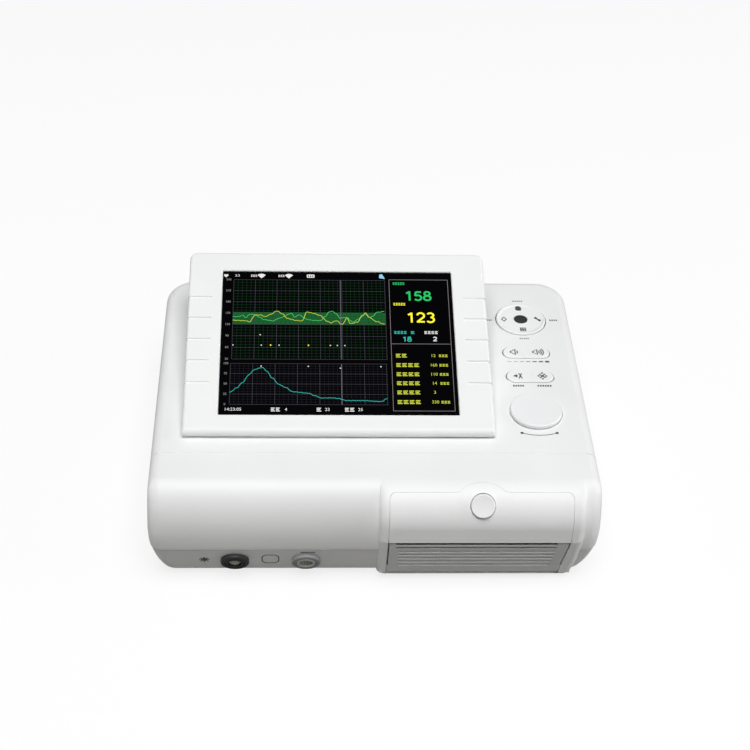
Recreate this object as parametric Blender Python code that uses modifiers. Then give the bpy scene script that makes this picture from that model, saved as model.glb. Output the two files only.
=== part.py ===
"""A cardiotocograph: a desktop monitor with a screen that tilts up from its deck, a column of
keys beside the screen, two probe sockets low on the front, and a strip printer behind a door
that swings down. Every piece is its own object. Sizes are in metres, +Z is up, +Y is the back,
and the origin lies on the table under the middle of the case."""

import math

import bmesh
import bpy
from mathutils import Matrix, Vector

# Clearances and cutter overruns
GAP = 0.0003
SEAM_GAP = 0.0005
KEY_GAP = 0.0004
ROCK_GAP = 0.0006
OVERRUN = 0.004
BLEND_STEP = 0.00002

# Case: overall sizes, heights and shell
BODY_WIDTH = 0.298
BODY_DEPTH = 0.243
DECK_HEIGHT = 0.0835
FOOT_HEIGHT = 0.0045
BASE_RISE = 0.0295
COVER_SEAM_SETBACK = 0.0474
WALL = 0.0025
FLOOR_WALL = 0.0025
BACK_CORNER_RADIUS = 0.022
FRONT_CORNER_RADIUS = 0.008
DECK_EDGE_RADIUS = 0.0074
WALL_DRAFT = 0.001
FLANK_DROP = 0.034
FLANK_TUCK = 0.015
NOSE_DEPTH = 0.017
NOSE_DROP = 0.036
BAND_LEAN = math.radians(19)
SOLE_RADIUS = 0.004

# Printer bulge at the front right
BULGE_STEP = 0.005
BULGE_INSET = 0.011
BULGE_LEFT_MARGIN = 0.0066
BULGE_RIGHT_MARGIN = 0.0094
BULGE_LENGTH = 0.030
BULGE_NOSE_DEPTH = 0.018
BULGE_NOSE_DROP = 0.030
BULGE_CORNER_RADIUS = 0.006
BULGE_BACK_RADIUS = 0.001
BULGE_TUCK = 0.006

# Printer door and its latch button
DOOR_SIDE_SPACE = 0.004
DOOR_LEAN = math.radians(15)
DOOR_WALL = 0.0022
SLOT_DROP = 0.0363
SLOT_HEIGHT = 0.003
SLOT_LEFT_MARGIN = 0.005
SLOT_RIGHT_MARGIN = 0.0085
DOOR_LINE_SETBACK = 0.0107
HUMP_RISE = 0.0093
HUMP_HALF_WIDTH = 0.0153
DOOR_CORNER_RADIUS = 0.004
DOOR_AXIS_HEIGHT = 0.011
DOOR_BARREL_RADIUS = 0.003
DOOR_PIN_RADIUS = 0.0015
DOOR_PIN_LENGTH = 0.010
DOOR_BOSS_LENGTH = 0.0037
DOOR_BOSS_FRONT = 0.002
DOOR_BOSS_BACK = 0.005
DOOR_BOSS_RISE = 0.005
RIB_COUNT = 5
RIB_PITCH = 0.0054
RIB_FIRST_DROP = 0.0131
RIB_GROOVE_WIDTH = 0.0013
RIB_GROOVE_DEPTH = 0.0008
RIB_LEFT_MARGIN = 0.0072
RIB_RIGHT_MARGIN = 0.0096
LATCH_PLACE_SHARE = 0.5033
LATCH_DROP = 0.0085
LATCH_LEAN = math.radians(30)
LATCH_RADIUS = 0.00845
LATCH_PROUD = 0.0016
LATCH_LENGTH = 0.0062
LATCH_TRAVEL = 0.0025
LATCH_EDGE = 0.0008
LATCH_SEAT_RADIUS = 0.006
LATCH_SEAT_LENGTH = 0.006

# Inner frame of the door
STILE_THICKNESS = 0.002
STILE_TOP_DROP = 0.0085
STILE_BACK = 0.0162
STILE_STEPS = 9
RAIL_HEIGHT = 0.008
RAIL_DEPTH = 0.0037
RAIL_TOP_DROP = 0.0105

# Strip printer: chassis, paper, print head, roller and gears
PAPER_WIDTH = 0.112
PAPER_LENGTH = 0.090
PAPER_STACK = 0.021
PAPER_CORNER_RADIUS = 0.0008
CHASSIS_WALL = 0.0014
CHASSIS_FLOOR = 0.002
CHASSIS_FLOOR_HEIGHT = 0.011
CHASSIS_TOP_DROP = 0.0225
CHASSIS_FRONT = 0.0205
CHASSIS_LENGTH = 0.099
CHASSIS_SIDE_PLAY = 0.0005
PLATEN_RADIUS = 0.0065
PLATEN_SETBACK = 0.0107
PLATEN_DROP = 0.035
PLATEN_SHAFT_RADIUS = 0.002
PLATEN_END_PLAY = 0.0006
HEAD_DEPTH = 0.007
HEAD_HEIGHT = 0.010
GEAR_MODULE = 0.0008
GEAR_WIDTH = 0.003
GEAR_PLAY = 0.0004
GEAR_BACKLASH_SHARE = 0.84
ADDENDUM_SHARE = 0.85
DEDENDUM_SHARE = 1.25
PRESSURE_ANGLE = math.radians(20)
FLANK_POINTS = 2
MESH_CLEARANCE = 0.0001
PLATEN_TEETH = 18
IDLER_TEETH = 30
PINION_TEETH = 12
IDLER_AXLE_RADIUS = 0.0017
PINION_DIRECTION = math.radians(-50)
PINION_SHAFT_RADIUS = 0.0012
MOTOR_RADIUS = 0.010
MOTOR_LENGTH = 0.012
MOTOR_FACE_RADIUS = 0.004
MOTOR_FACE_LENGTH = 0.0012
BRACKET_PLATE = 0.0015
BRACKET_REACH = 0.009
BRACKET_STEP = 0.003
BRACKET_FOOT = 0.016

# Folding screen
SCREEN_INSET = 0.021
KEY_COLUMN_WIDTH = 0.068
SCREEN_BACK_SPACE = 0.0303
SCREEN_TILT = math.radians(16.1)
SCREEN_AXIS_SETBACK = 0.0647
RIM_THICKNESS = 0.008
RIM_WALL = 0.0022
RIM_CORNER_RADIUS = 0.004
RIM_EDGE_RADIUS = 0.0016
RIM_SIDE_EDGE = 0.0009
WINDOW_SIDE_MARGIN = 0.0235
WINDOW_END_MARGIN = 0.01525
WINDOW_SHIFT = 0.0011
WINDOW_RECESS = 0.0008
WINDOW_THICKNESS = 0.0012
WINDOW_BEVEL = 0.0008
GROOVE_COUNT = 5
GROOVE_PITCH = 0.018
GROOVE_LENGTH = 0.0165
GROOVE_WIDTH = 0.0011
GROOVE_DEPTH = 0.0006
GROOVE_FOOT = 0.0016
DISPLAY_SIDE_LAP = 0.005
DISPLAY_END_LAP = 0.00225
DISPLAY_THICKNESS = 0.006
PAN_INSET = 0.0055
PAN_FRONT = 0.009
PAN_BACK = 0.006
PAN_DEPTH = 0.012
PAN_WALL = 0.002
PAN_CORNER_RADIUS = 0.006
FLANGE_THICKNESS = 0.002
RECESS_CLEARANCE = 0.0012
RECESS_WALL = 0.0025
RECESS_RADIUS = 0.006

# Screen hinges
HINGE_INSET = 0.030
HINGE_WIDTH = 0.012
HINGE_POCKET_PLAY = 0.0006
KNUCKLE_RADIUS = 0.0026
KNUCKLE_CLEARANCE = 0.0004
HINGE_PIN_RADIUS = 0.0012
HINGE_PIN_REACH = 0.004
NECK_THICKNESS = 0.0026
NECK_LENGTH = 0.0086
NECK_ANGLE = math.radians(-33)
HINGE_POST_THICKNESS = 0.0025
HINGE_FOOT_LENGTH = 0.010
HINGE_FOOT_THICKNESS = 0.002
HINGE_NOTCH_PLAY = 0.0015
HINGE_NOTCH_LENGTH = 0.014
DECK_NOTCH_DEPTH = 0.0018

# Column of keys
COLUMN_INSET = 0.0372
NAV_PLACE_SHARE = 0.25716
NAV_RADIUS = 0.018
NAV_PROUD = 0.0010
NAV_THICKNESS = 0.0034
NAV_DISH = 0.0005
NAV_EDGE = 0.0007
NAV_TILT = math.radians(3)
OK_RADIUS = 0.0052
OK_PROUD = 0.0006
OK_LENGTH = 0.0062
OK_EDGE = 0.0006
OK_TRAVEL = 0.0008
GIMBAL_OUTER_RADIUS = 0.009
GIMBAL_INNER_RADIUS = 0.0064
GIMBAL_THICKNESS = 0.0022
PIVOT_POST_RADIUS = 0.0011
ROCKER_LENGTH = 0.0342
ROCKER_WIDTH = 0.0126
ROCKER_PROUD = 0.0008
ROCKER_THICKNESS = 0.0032
ROCKER_EDGE = 0.0006
VOLUME_PLACE_SHARE = 0.45501
EVENT_PLACE_SHARE = 0.59202
ROCKER_POST_WIDTH = 0.008
ROCKER_POST_LENGTH = 0.002
KNOB_PLACE_SHARE = 0.78425
KNOB_RADIUS = 0.0178
KNOB_PROUD = 0.0032
KNOB_EDGE = 0.0013
KNOB_WELL_DEPTH = 0.0012
KNOB_STANDOFF = 0.0011
KNOB_BORE_DEPTH = 0.002
COLLAR_RADIUS = 0.0046
COLLAR_LENGTH = 0.0048
ENCODER_SHAFT_RADIUS = 0.0021
ENCODER_BODY = 0.014
ENCODER_HEIGHT = 0.0034
KEY_BOARD_WIDTH = 0.0395
KEY_BOARD_DROP = 0.0065
KEY_BOARD_MARGIN = 0.022
BOARD_THICKNESS = 0.0016
KEY_BOSS_RADIUS = 0.0025
KEY_BOSS_MARGIN = 0.0035

# Probe sockets and lamp on the front band
SOCKET_HEIGHT = 0.0200
PROBE_PLACE_SHARE = 0.37351
TOCO_PLACE_SHARE = 0.68675
SOCKET_RING_RADIUS = 0.0095
SOCKET_RING_THICKNESS = 0.0022
SOCKET_CORE_RADIUS = 0.0063
SOCKET_BORE_RADIUS = 0.0056
SOCKET_BORE_DEPTH = 0.0065
SOCKET_LENGTH = 0.014
SOCKET_PROUD = 0.0026
SOCKET_EDGE = 0.0005
LAMP_PLACE_SHARE = 0.23841
LAMP_RADIUS = 0.002
LAMP_LENGTH = 0.005
LAMP_PROUD = 0.0005

# Boards, battery and speaker
BOSS_RADIUS = 0.0035
MAIN_BOARD_HEIGHT = 0.027
MAIN_BOARD_INSET = 0.013
MAIN_BOARD_SPACE = 0.0129
MAIN_BOARD_FRONT = 0.0335
MAIN_BOARD_BACK = 0.0735
BOARD_BOSS_MARGIN = 0.008
CHIP_SIZE = 0.024
CHIP_HEIGHT = 0.003
CONNECTOR_MARGIN = 0.022
CONNECTOR_SPACE = 0.008
CONNECTOR_WIDTH = 0.006
CONNECTOR_HEIGHT = 0.008
POWER_BOARD_WIDTH = 0.112
POWER_BOARD_SPACE = 0.014
POWER_BOARD_HEIGHT = 0.0125
POWER_BOARD_INSET = 0.025
POWER_BOARD_BACK = 0.0235
TRANSFORMER_SIZE = 0.032
TRANSFORMER_HEIGHT = 0.024
CAPACITOR_RADIUS = 0.009
CAPACITOR_HEIGHT = 0.026
BATTERY_HEIGHT = 0.016
BATTERY_INSET = 0.034
BATTERY_SPACE = 0.037
BATTERY_FRONT = 0.094
BATTERY_BACK = 0.089
BATTERY_EDGE = 0.002
BATTERY_DOOR_MARGIN = 0.0027
BATTERY_DOOR_THICKNESS = 0.002
BATTERY_DOOR_RADIUS = 0.003
SPEAKER_RADIUS = 0.018
SPEAKER_HEIGHT = 0.010
SPEAKER_CONE_RADIUS = 0.013
SPEAKER_MAGNET_RADIUS = 0.009
SPEAKER_INSET = 0.062
SPEAKER_BACK = 0.0375
GRILLE_SLOTS = 5
GRILLE_PITCH = 0.0055
GRILLE_SLOT_WIDTH = 0.0022
GRILLE_SLOT_LENGTH = 0.026

# Feet
FOOT_RADIUS = 0.007
FOOT_RECESS = 0.0012
FOOT_PLAY = 0.0002
FOOT_EDGE = 0.0008
FOOT_INSET = 0.039
FOOT_FRONT = 0.0395
FOOT_BACK = 0.0215

# Sockets and switch in the back wall, and the vents above them
REAR_HEIGHT = 0.022
INLET_INSET = 0.053
INLET_WIDTH = 0.0275
INLET_HEIGHT = 0.0195
INLET_DEPTH = 0.017
INLET_CAVITY_MARGIN = 0.0018
INLET_CAVITY_DEPTH = 0.0135
BLADE_WIDTH = 0.002
BLADE_HEIGHT = 0.004
BLADE_SPREAD = 0.007
BLADE_RISE = 0.0035
SWITCH_INSET = 0.087
SWITCH_WIDTH = 0.021
SWITCH_HEIGHT = 0.015
SWITCH_DEPTH = 0.0145
SWITCH_WALL = 0.0022
SWITCH_POCKET_DEPTH = 0.0085
ROCKER_SWITCH_DEPTH = 0.0052
SWITCH_SETBACK = 0.0012
SWITCH_THROW = math.radians(8)
PORT_INSET = 0.049
PORT_WIDTH = 0.0155
PORT_HEIGHT = 0.0135
PORT_DEPTH = 0.016
PORT_WALL_SIDE = 0.0019
PORT_CAVITY_DEPTH = 0.012
REAR_SETBACK = 0.0003
VENT_COUNT = 9
VENT_PITCH = 0.007
VENT_WIDTH = 0.0028
VENT_HEIGHT = 0.016
VENT_DROP = 0.0175

# Mesh fineness
CORNER_STEPS = 4
ROUND_STEPS = 5
WALL_STEPS = 3
SOLE_STEPS = 3
BAND_STEPS = 3
ARC_STEPS = 10
FINE_SIDES = 36
ROUND_SIDES = 24
SMALL_SIDES = 12
SMOOTH_ANGLE = math.radians(35)

# Places worked out from the sizes above
LEFT_X = -BODY_WIDTH / 2
RIGHT_X = BODY_WIDTH / 2
FRONT_Y = -BODY_DEPTH / 2
BACK_Y = BODY_DEPTH / 2
NOSE_Y = FRONT_Y + BULGE_STEP
PARTING_HEIGHT = FOOT_HEIGHT + BASE_RISE
WIDEST_HEIGHT = DECK_HEIGHT - FLANK_DROP
SLOT_TOP = DECK_HEIGHT - SLOT_DROP
COVER_SEAM_Y = FRONT_Y + COVER_SEAM_SETBACK
FLOOR_TOP = FOOT_HEIGHT + FLOOR_WALL
DECK_UNDERSIDE = DECK_HEIGHT - WALL

BULGE_RIGHT = RIGHT_X - BULGE_INSET
BULGE_BACK = FRONT_Y + BULGE_LENGTH
DOOR_WIDTH = PAPER_WIDTH + 2 * DOOR_SIDE_SPACE
DOOR_RIGHT = BULGE_RIGHT - BULGE_RIGHT_MARGIN
DOOR_LEFT = DOOR_RIGHT - DOOR_WIDTH
BULGE_LEFT = DOOR_LEFT - BULGE_LEFT_MARGIN
DOOR_LINE_Y = FRONT_Y + DOOR_LINE_SETBACK
LATCH_X = DOOR_LEFT + DOOR_WIDTH * LATCH_PLACE_SHARE
CHASSIS_HEIGHT = DECK_HEIGHT - CHASSIS_TOP_DROP - CHASSIS_FLOOR_HEIGHT
VENT_RISE = DECK_HEIGHT - VENT_DROP - VENT_HEIGHT

SCREEN_LEFT = LEFT_X + SCREEN_INSET
SCREEN_WIDTH = BODY_WIDTH - SCREEN_INSET - KEY_COLUMN_WIDTH
SCREEN_X = SCREEN_LEFT + SCREEN_WIDTH / 2
SCREEN_ROUND = RIM_THICKNESS / 2
SCREEN_LENGTH = BODY_DEPTH - SCREEN_AXIS_SETBACK + SCREEN_ROUND - SCREEN_BACK_SPACE
WINDOW_WIDTH = SCREEN_WIDTH - 2 * WINDOW_SIDE_MARGIN
WINDOW_HEIGHT = SCREEN_LENGTH - 2 * WINDOW_END_MARGIN
DISPLAY_WIDTH = WINDOW_WIDTH + 2 * DISPLAY_SIDE_LAP
DISPLAY_HEIGHT = WINDOW_HEIGHT + 2 * DISPLAY_END_LAP
SCREEN_AXIS = Vector((SCREEN_X, FRONT_Y + SCREEN_AXIS_SETBACK, DECK_HEIGHT + GAP + SCREEN_ROUND))
COLUMN_X = RIGHT_X - COLUMN_INSET
KEY_BOARD_TOP = DECK_HEIGHT - KEY_BOARD_DROP

FINISHES = {
    "case": ((0.86, 0.87, 0.87), 0.42, 0.0),
    "door": ((0.85, 0.86, 0.86), 0.42, 0.0),
    "key": ((0.87, 0.88, 0.88), 0.40, 0.0),
    "dark": ((0.03, 0.03, 0.035), 0.55, 0.0),
    "rubber": ((0.06, 0.06, 0.06), 0.85, 0.0),
    "grey": ((0.42, 0.43, 0.44), 0.50, 0.0),
    "pale": ((0.72, 0.71, 0.66), 0.45, 0.0),
    "steel": ((0.62, 0.62, 0.63), 0.32, 1.0),
    "window": ((0.01, 0.01, 0.012), 0.08, 0.0),
    "board": ((0.03, 0.20, 0.09), 0.55, 0.0),
    "paper": ((0.90, 0.88, 0.84), 0.85, 0.0),
    "lamp": ((0.08, 0.10, 0.08), 0.20, 0.0),
    "gear": ((0.80, 0.79, 0.74), 0.50, 0.0),
    "battery": ((0.16, 0.22, 0.36), 0.50, 0.0),
}


# Scene and object helpers

def clear_scene():
    """Removes what the file opened with."""
    for obj in list(bpy.data.objects):
        bpy.data.objects.remove(obj)


def new_collection(name):
    """Makes a collection in the scene."""
    collection = bpy.data.collections.new(name)
    bpy.context.scene.collection.children.link(collection)
    return collection


def finish(name, kind):
    """Makes one piece's own material from the table of finishes."""
    colour, roughness, metallic = FINISHES[kind]
    material = bpy.data.materials.new(name + "_finish")
    material.use_nodes = True
    shader = material.node_tree.nodes["Principled BSDF"]
    shader.inputs["Base Color"].default_value = (*colour, 1.0)
    shader.inputs["Roughness"].default_value = roughness
    shader.inputs["Metallic"].default_value = metallic
    material.diffuse_color = (*colour, 1.0)
    return material


class Shop:
    """Keeps the collections, and makes, cuts and joins pieces."""

    def __init__(self, name):
        self.parts = new_collection(name)
        self.cutters = new_collection("cutters")

    def place(self, name, mesh, where, kind, parent):
        """Links a mesh as a part, or as a cutter where it has no finish."""
        obj = bpy.data.objects.new(name, mesh)
        obj.matrix_local = where
        obj.parent = parent
        if kind:
            self.parts.objects.link(obj)
            mesh.materials.append(finish(name, kind))
        else:
            self.cutters.objects.link(obj)
            obj.hide_render = True
            obj.display_type = "WIRE"
        return obj

    def block(self, name, low, high, kind=None, parent=None):
        """A box between two corners, with its origin at its middle."""
        low, high = Vector(low), Vector(high)
        mesh = bmesh.new()
        bmesh.ops.create_cube(mesh, size=1.0)
        bmesh.ops.scale(mesh, vec=high - low, verts=mesh.verts)
        return self.place(name, to_mesh(mesh, name), Matrix.Translation((low + high) / 2), kind, parent)

    def rod(self, name, radius, start, end, kind=None, parent=None, sides=ROUND_SIDES, top_radius=None):
        """A round bar from one point to another, with its origin at its middle."""
        start, end = Vector(start), Vector(end)
        run = end - start
        mesh = bmesh.new()
        top = radius if top_radius is None else top_radius
        bmesh.ops.create_cone(
            mesh, cap_ends=True, segments=sides, radius1=radius, radius2=top, depth=run.length
        )
        turn = run.to_track_quat("Z", "Y").to_matrix().to_4x4()
        where = Matrix.Translation((start + end) / 2) @ turn
        obj = self.place(name, to_mesh(mesh, name), where, kind, parent)
        soften(obj)
        return obj

    def plate(self, name, outline, low, high, axis="Z", kind=None, parent=None, origin=(0, 0, 0)):
        """A flat outline with thickness. Along Z the outline is in x and y, along X in y and z."""
        curve = bpy.data.curves.new(name, "CURVE")
        curve.dimensions = "2D"
        curve.fill_mode = "BOTH"
        curve.extrude = (high - low) / 2
        spline = curve.splines.new("POLY")
        spline.points.add(len(outline) - 1)
        for point, (u, v) in zip(spline.points, outline):
            point.co = (u, v, 0, 1)
        spline.use_cyclic_u = True
        shift = Matrix.Translation((0, 0, (low + high) / 2))
        turn = Matrix.Identity(4) if axis == "Z" else Matrix(
            ((0, 0, 1, 0), (1, 0, 0, 0), (0, 1, 0, 0), (0, 0, 0, 1))
        )
        draft = bpy.data.objects.new(name + "_outline", curve)
        self.cutters.objects.link(draft)
        bpy.context.view_layer.update()
        mesh = bpy.data.meshes.new_from_object(draft.evaluated_get(bpy.context.evaluated_depsgraph_get()))
        bpy.data.objects.remove(draft)
        solid = bmesh.new()
        solid.from_mesh(mesh)
        bmesh.ops.remove_doubles(solid, verts=solid.verts, dist=GAP / 30)
        place = Matrix.Translation(-Vector(origin)) @ turn @ shift
        bmesh.ops.transform(solid, matrix=place, verts=solid.verts)
        bmesh.ops.recalc_face_normals(solid, faces=solid.faces)
        return self.place(name, to_mesh(solid, name), Matrix.Translation(origin), kind, parent)

    def loft(self, name, rings, kind=None):
        """A closed solid through a stack of rings that have the same number of points."""
        solid = bmesh.new()
        loops = [[solid.verts.new(point) for point in ring] for ring in rings]
        count = len(rings[0])
        for lower, upper in zip(loops, loops[1:]):
            for i in range(count):
                j = (i + 1) % count
                solid.faces.new((lower[i], lower[j], upper[j], upper[i]))
        solid.faces.new(reversed(loops[0]))
        solid.faces.new(loops[-1])
        bmesh.ops.recalc_face_normals(solid, faces=solid.faces)
        return self.place(name, to_mesh(solid, name), Matrix.Identity(4), kind, None)

    def turned(self, name, profile, where, kind=None, parent=None, sides=FINE_SIDES):
        """A turned piece: a profile of radius and height, top to bottom, swept about its own Z."""
        mesh = bmesh.new()
        points = [mesh.verts.new((radius, 0, height)) for radius, height in profile]
        for a, b in zip(points, points[1:]):
            mesh.edges.new((a, b))
        if profile[0][0] > 0 and profile[-1][0] > 0:
            mesh.edges.new((points[-1], points[0]))
        obj = self.place(name, to_mesh(mesh, name), where, kind, parent)
        screw = obj.modifiers.new("turn", "SCREW")
        screw.steps = screw.render_steps = sides
        screw.use_merge_vertices = True
        screw.merge_threshold = GAP / 30
        return obj

    def cut(self, obj, *cutters):
        """Takes the cutters out of a piece."""
        return self.combine(obj, "DIFFERENCE", cutters)

    def join(self, obj, *additions):
        """Adds solids to a piece."""
        return self.combine(obj, "UNION", additions)

    def keep(self, obj, *bounds):
        """Keeps only what lies inside the bounds."""
        return self.combine(obj, "INTERSECT", bounds)

    def combine(self, obj, operation, others):
        """Adds one Boolean per solid."""
        for other in others:
            modifier = obj.modifiers.new(operation.lower(), "BOOLEAN")
            modifier.operation = operation
            modifier.solver = "EXACT"
            modifier.object = other
        return obj

    def pivot(self, name, where, parent=None, turn=0.0):
        """An empty on a joint's axis, which its pieces are parented to."""
        empty = bpy.data.objects.new(name, None)
        empty.empty_display_size = WALL
        empty.location = where
        empty.rotation_euler = (turn, 0, 0)
        empty.parent = parent
        self.parts.objects.link(empty)
        return empty


def to_mesh(solid, name):
    """Turns a bmesh into a mesh and frees it."""
    mesh = bpy.data.meshes.new(name)
    solid.to_mesh(mesh)
    solid.free()
    return mesh


def soften(obj):
    """Shades a round piece smooth, with its rims kept sharp."""
    obj.data.shade_smooth()
    obj.data.set_sharp_from_angle(angle=SMOOTH_ANGLE)


def bevel(obj, width, segments=2, angle=SMOOTH_ANGLE):
    """Rounds the edges of a piece that are sharper than the angle."""
    modifier = obj.modifiers.new("edges", "BEVEL")
    modifier.width = width
    modifier.segments = segments
    modifier.limit_method = "ANGLE"
    modifier.angle_limit = angle
    return obj


def arc(centre, radius, start, end, steps):
    """Points along an arc, both ends included."""
    points = []
    for i in range(steps + 1):
        angle = start + (end - start) * i / steps
        points.append((centre[0] + radius * math.cos(angle), centre[1] + radius * math.sin(angle)))
    return points


def rounded_outline(left, right, front, back, front_radius, back_radius=None, steps=CORNER_STEPS):
    """A rectangle with round corners, counterclockwise from the back right."""
    rear = front_radius if back_radius is None else back_radius
    quarter = math.pi / 2
    return (
        arc((right - rear, back - rear), rear, 0, quarter, steps)
        + arc((left + rear, back - rear), rear, quarter, 2 * quarter, steps)
        + arc((left + front_radius, front + front_radius), front_radius, 2 * quarter, 3 * quarter, steps)
        + arc((right - front_radius, front + front_radius), front_radius, 3 * quarter, 4 * quarter, steps)
    )


# The case's outer form

def rounding(share):
    """How far a quarter round has turned in at this share of its height."""
    share = min(max(share, 0.0), 1.0)
    return 1 - math.sqrt(1 - share * share)


def body_section(height, inset=0.0):
    """The outline of the case at a height, drawn in by the inset."""
    edge = DECK_EDGE_RADIUS * rounding((height - DECK_HEIGHT + DECK_EDGE_RADIUS) / DECK_EDGE_RADIUS)
    draft = WALL_DRAFT * max(0, height - WIDEST_HEIGHT) / FLANK_DROP
    tuck = FLANK_TUCK * rounding((WIDEST_HEIGHT - height) / (WIDEST_HEIGHT - FOOT_HEIGHT))
    nose = NOSE_DEPTH * rounding((height - DECK_HEIGHT + NOSE_DROP) / NOSE_DROP)
    band = max(0, PARTING_HEIGHT - height) * math.tan(BAND_LEAN)
    sole = SOLE_RADIUS * rounding((FOOT_HEIGHT + SOLE_RADIUS - height) / SOLE_RADIUS)
    side = edge + draft + tuck + inset
    return rounded_outline(
        LEFT_X + side,
        RIGHT_X - side,
        NOSE_Y + nose + band + sole + inset,
        BACK_Y - edge - draft - sole - inset,
        max(FRONT_CORNER_RADIUS - edge - inset, WALL),
        max(BACK_CORNER_RADIUS - edge - inset, WALL),
    )


def bulge_front(height):
    """Where the printer bulge's front lies at a height."""
    nose = BULGE_NOSE_DEPTH * rounding((height - DECK_HEIGHT + BULGE_NOSE_DROP) / BULGE_NOSE_DROP)
    lean = max(0, SLOT_TOP - height) * math.tan(DOOR_LEAN)
    sole = SOLE_RADIUS * rounding((FOOT_HEIGHT + SOLE_RADIUS - height) / SOLE_RADIUS)
    return FRONT_Y + nose + lean + sole


def bulge_section(height, inset=0.0, back=BULGE_BACK):
    """The outline of the printer bulge at a height, drawn in by the inset."""
    tuck = BULGE_TUCK * rounding((WIDEST_HEIGHT - height) / (WIDEST_HEIGHT - FOOT_HEIGHT))
    return rounded_outline(
        BULGE_LEFT + inset,
        BULGE_RIGHT - tuck - inset,
        bulge_front(height) + inset,
        back,
        max(BULGE_CORNER_RADIUS - inset, BULGE_BACK_RADIUS),
        BULGE_BACK_RADIUS,
    )


def spread(low, high, steps):
    """Evenly spaced heights, both ends included."""
    return [low + (high - low) * i / steps for i in range(steps + 1)]


def upper_levels():
    """Heights of the upper case's sections, closer where its edge turns in."""
    turn_in = DECK_HEIGHT - DECK_EDGE_RADIUS
    walls = spread(PARTING_HEIGHT, WIDEST_HEIGHT, 1) + spread(WIDEST_HEIGHT, turn_in, WALL_STEPS)[1:]
    turns = [math.pi / 2 * i / ROUND_STEPS for i in range(1, ROUND_STEPS + 1)]
    return walls + [turn_in + DECK_EDGE_RADIUS * math.sin(turn) for turn in turns]


def base_levels():
    """Heights of the base's sections, closer where its sole turns in."""
    turns = [math.pi / 2 * i / SOLE_STEPS for i in range(SOLE_STEPS)]
    rounds = [FOOT_HEIGHT + SOLE_RADIUS * (1 - math.cos(turn)) for turn in turns]
    return rounds + spread(FOOT_HEIGHT + SOLE_RADIUS, PARTING_HEIGHT, BAND_STEPS)


def rings(section, levels, inset=0.0, lift=0.0):
    """Sections as rings of points. A lift raises the lowest ring, or lowers the highest."""
    low, high = levels[0], levels[-1]
    result = []
    for level in levels:
        share = (high - level) / (high - low) if lift > 0 else (level - low) / (high - low)
        result.append([(x, y, level + lift * share) for x, y in section(level, inset)])
    return result


def upper_solid(shop, name, inset=0.0):
    """The upper case as a solid. An inset one is its hollow, which runs out below."""
    levels = upper_levels()
    stack = rings(body_section, levels, inset, -inset)
    if inset:
        stack.insert(0, [(x, y, PARTING_HEIGHT - OVERRUN) for x, y, _ in stack[0]])
    else:
        stack[0] = [(x, y, PARTING_HEIGHT + SEAM_GAP / 2) for x, y, _ in stack[0]]
    return shop.loft(name, stack)


def bulge_solid(shop, name, inset=0.0, kind=None, wall_top=None):
    """The printer bulge as a solid. Its top lies a hair under the deck, so that the two join."""
    levels = base_levels()[:-1] + upper_levels()
    levels = sorted(set(levels + [SLOT_TOP]))
    back = BULGE_BACK + (OVERRUN if inset > 0 else -inset)
    stack = [[(x, y, level) for x, y in bulge_section(level, inset, back)] for level in levels]
    rise = inset if wall_top is None else wall_top
    stack[0] = [(x, y, FOOT_HEIGHT + inset) for x, y, _ in stack[0]]
    stack[-1] = [(x, y, DECK_HEIGHT - BLEND_STEP - rise) for x, y, _ in stack[-1]]
    stack = [ring for ring in stack if stack[0][0][2] <= ring[0][2] <= stack[-1][0][2]]
    solid = shop.loft(name, stack, kind)
    return solid


# Case: covers, base and feet

def door_outline(clearance):
    """The printer door's top edge in plan: a straight line with a round hump behind the latch."""
    left, right = DOOR_LEFT - clearance, DOOR_RIGHT + clearance
    line = DOOR_LINE_Y + clearance
    radius = (HUMP_HALF_WIDTH**2 + HUMP_RISE**2) / (2 * HUMP_RISE)
    centre = (LATCH_X, line + HUMP_RISE - radius)
    reach = math.asin(HUMP_HALF_WIDTH / radius)
    corner = DOOR_CORNER_RADIUS
    front = FRONT_Y - OVERRUN
    return (
        [(right, front)]
        + arc((right - corner, line - corner), corner, 0, math.pi / 2, CORNER_STEPS)
        + arc(centre, radius, math.pi / 2 - reach, math.pi / 2 + reach, ARC_STEPS)
        + arc((left + corner, line - corner), corner, math.pi / 2, math.pi, CORNER_STEPS)
        + [(left, front)]
    )


def door_axis():
    """The printer door's hinge axis, set so that its barrel touches the door's leaning face."""
    face = bulge_front(DOOR_AXIS_HEIGHT)
    return Vector((0, face + DOOR_BARREL_RADIUS / math.cos(DOOR_LEAN), DOOR_AXIS_HEIGHT))


def latch_place():
    """The middle of the latch button on the bulge's round nose, and the way it points."""
    height = DECK_HEIGHT - LATCH_DROP
    return (
        Vector((LATCH_X, bulge_front(height), height)),
        Vector((0, -math.cos(LATCH_LEAN), math.sin(LATCH_LEAN))),
    )


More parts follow.
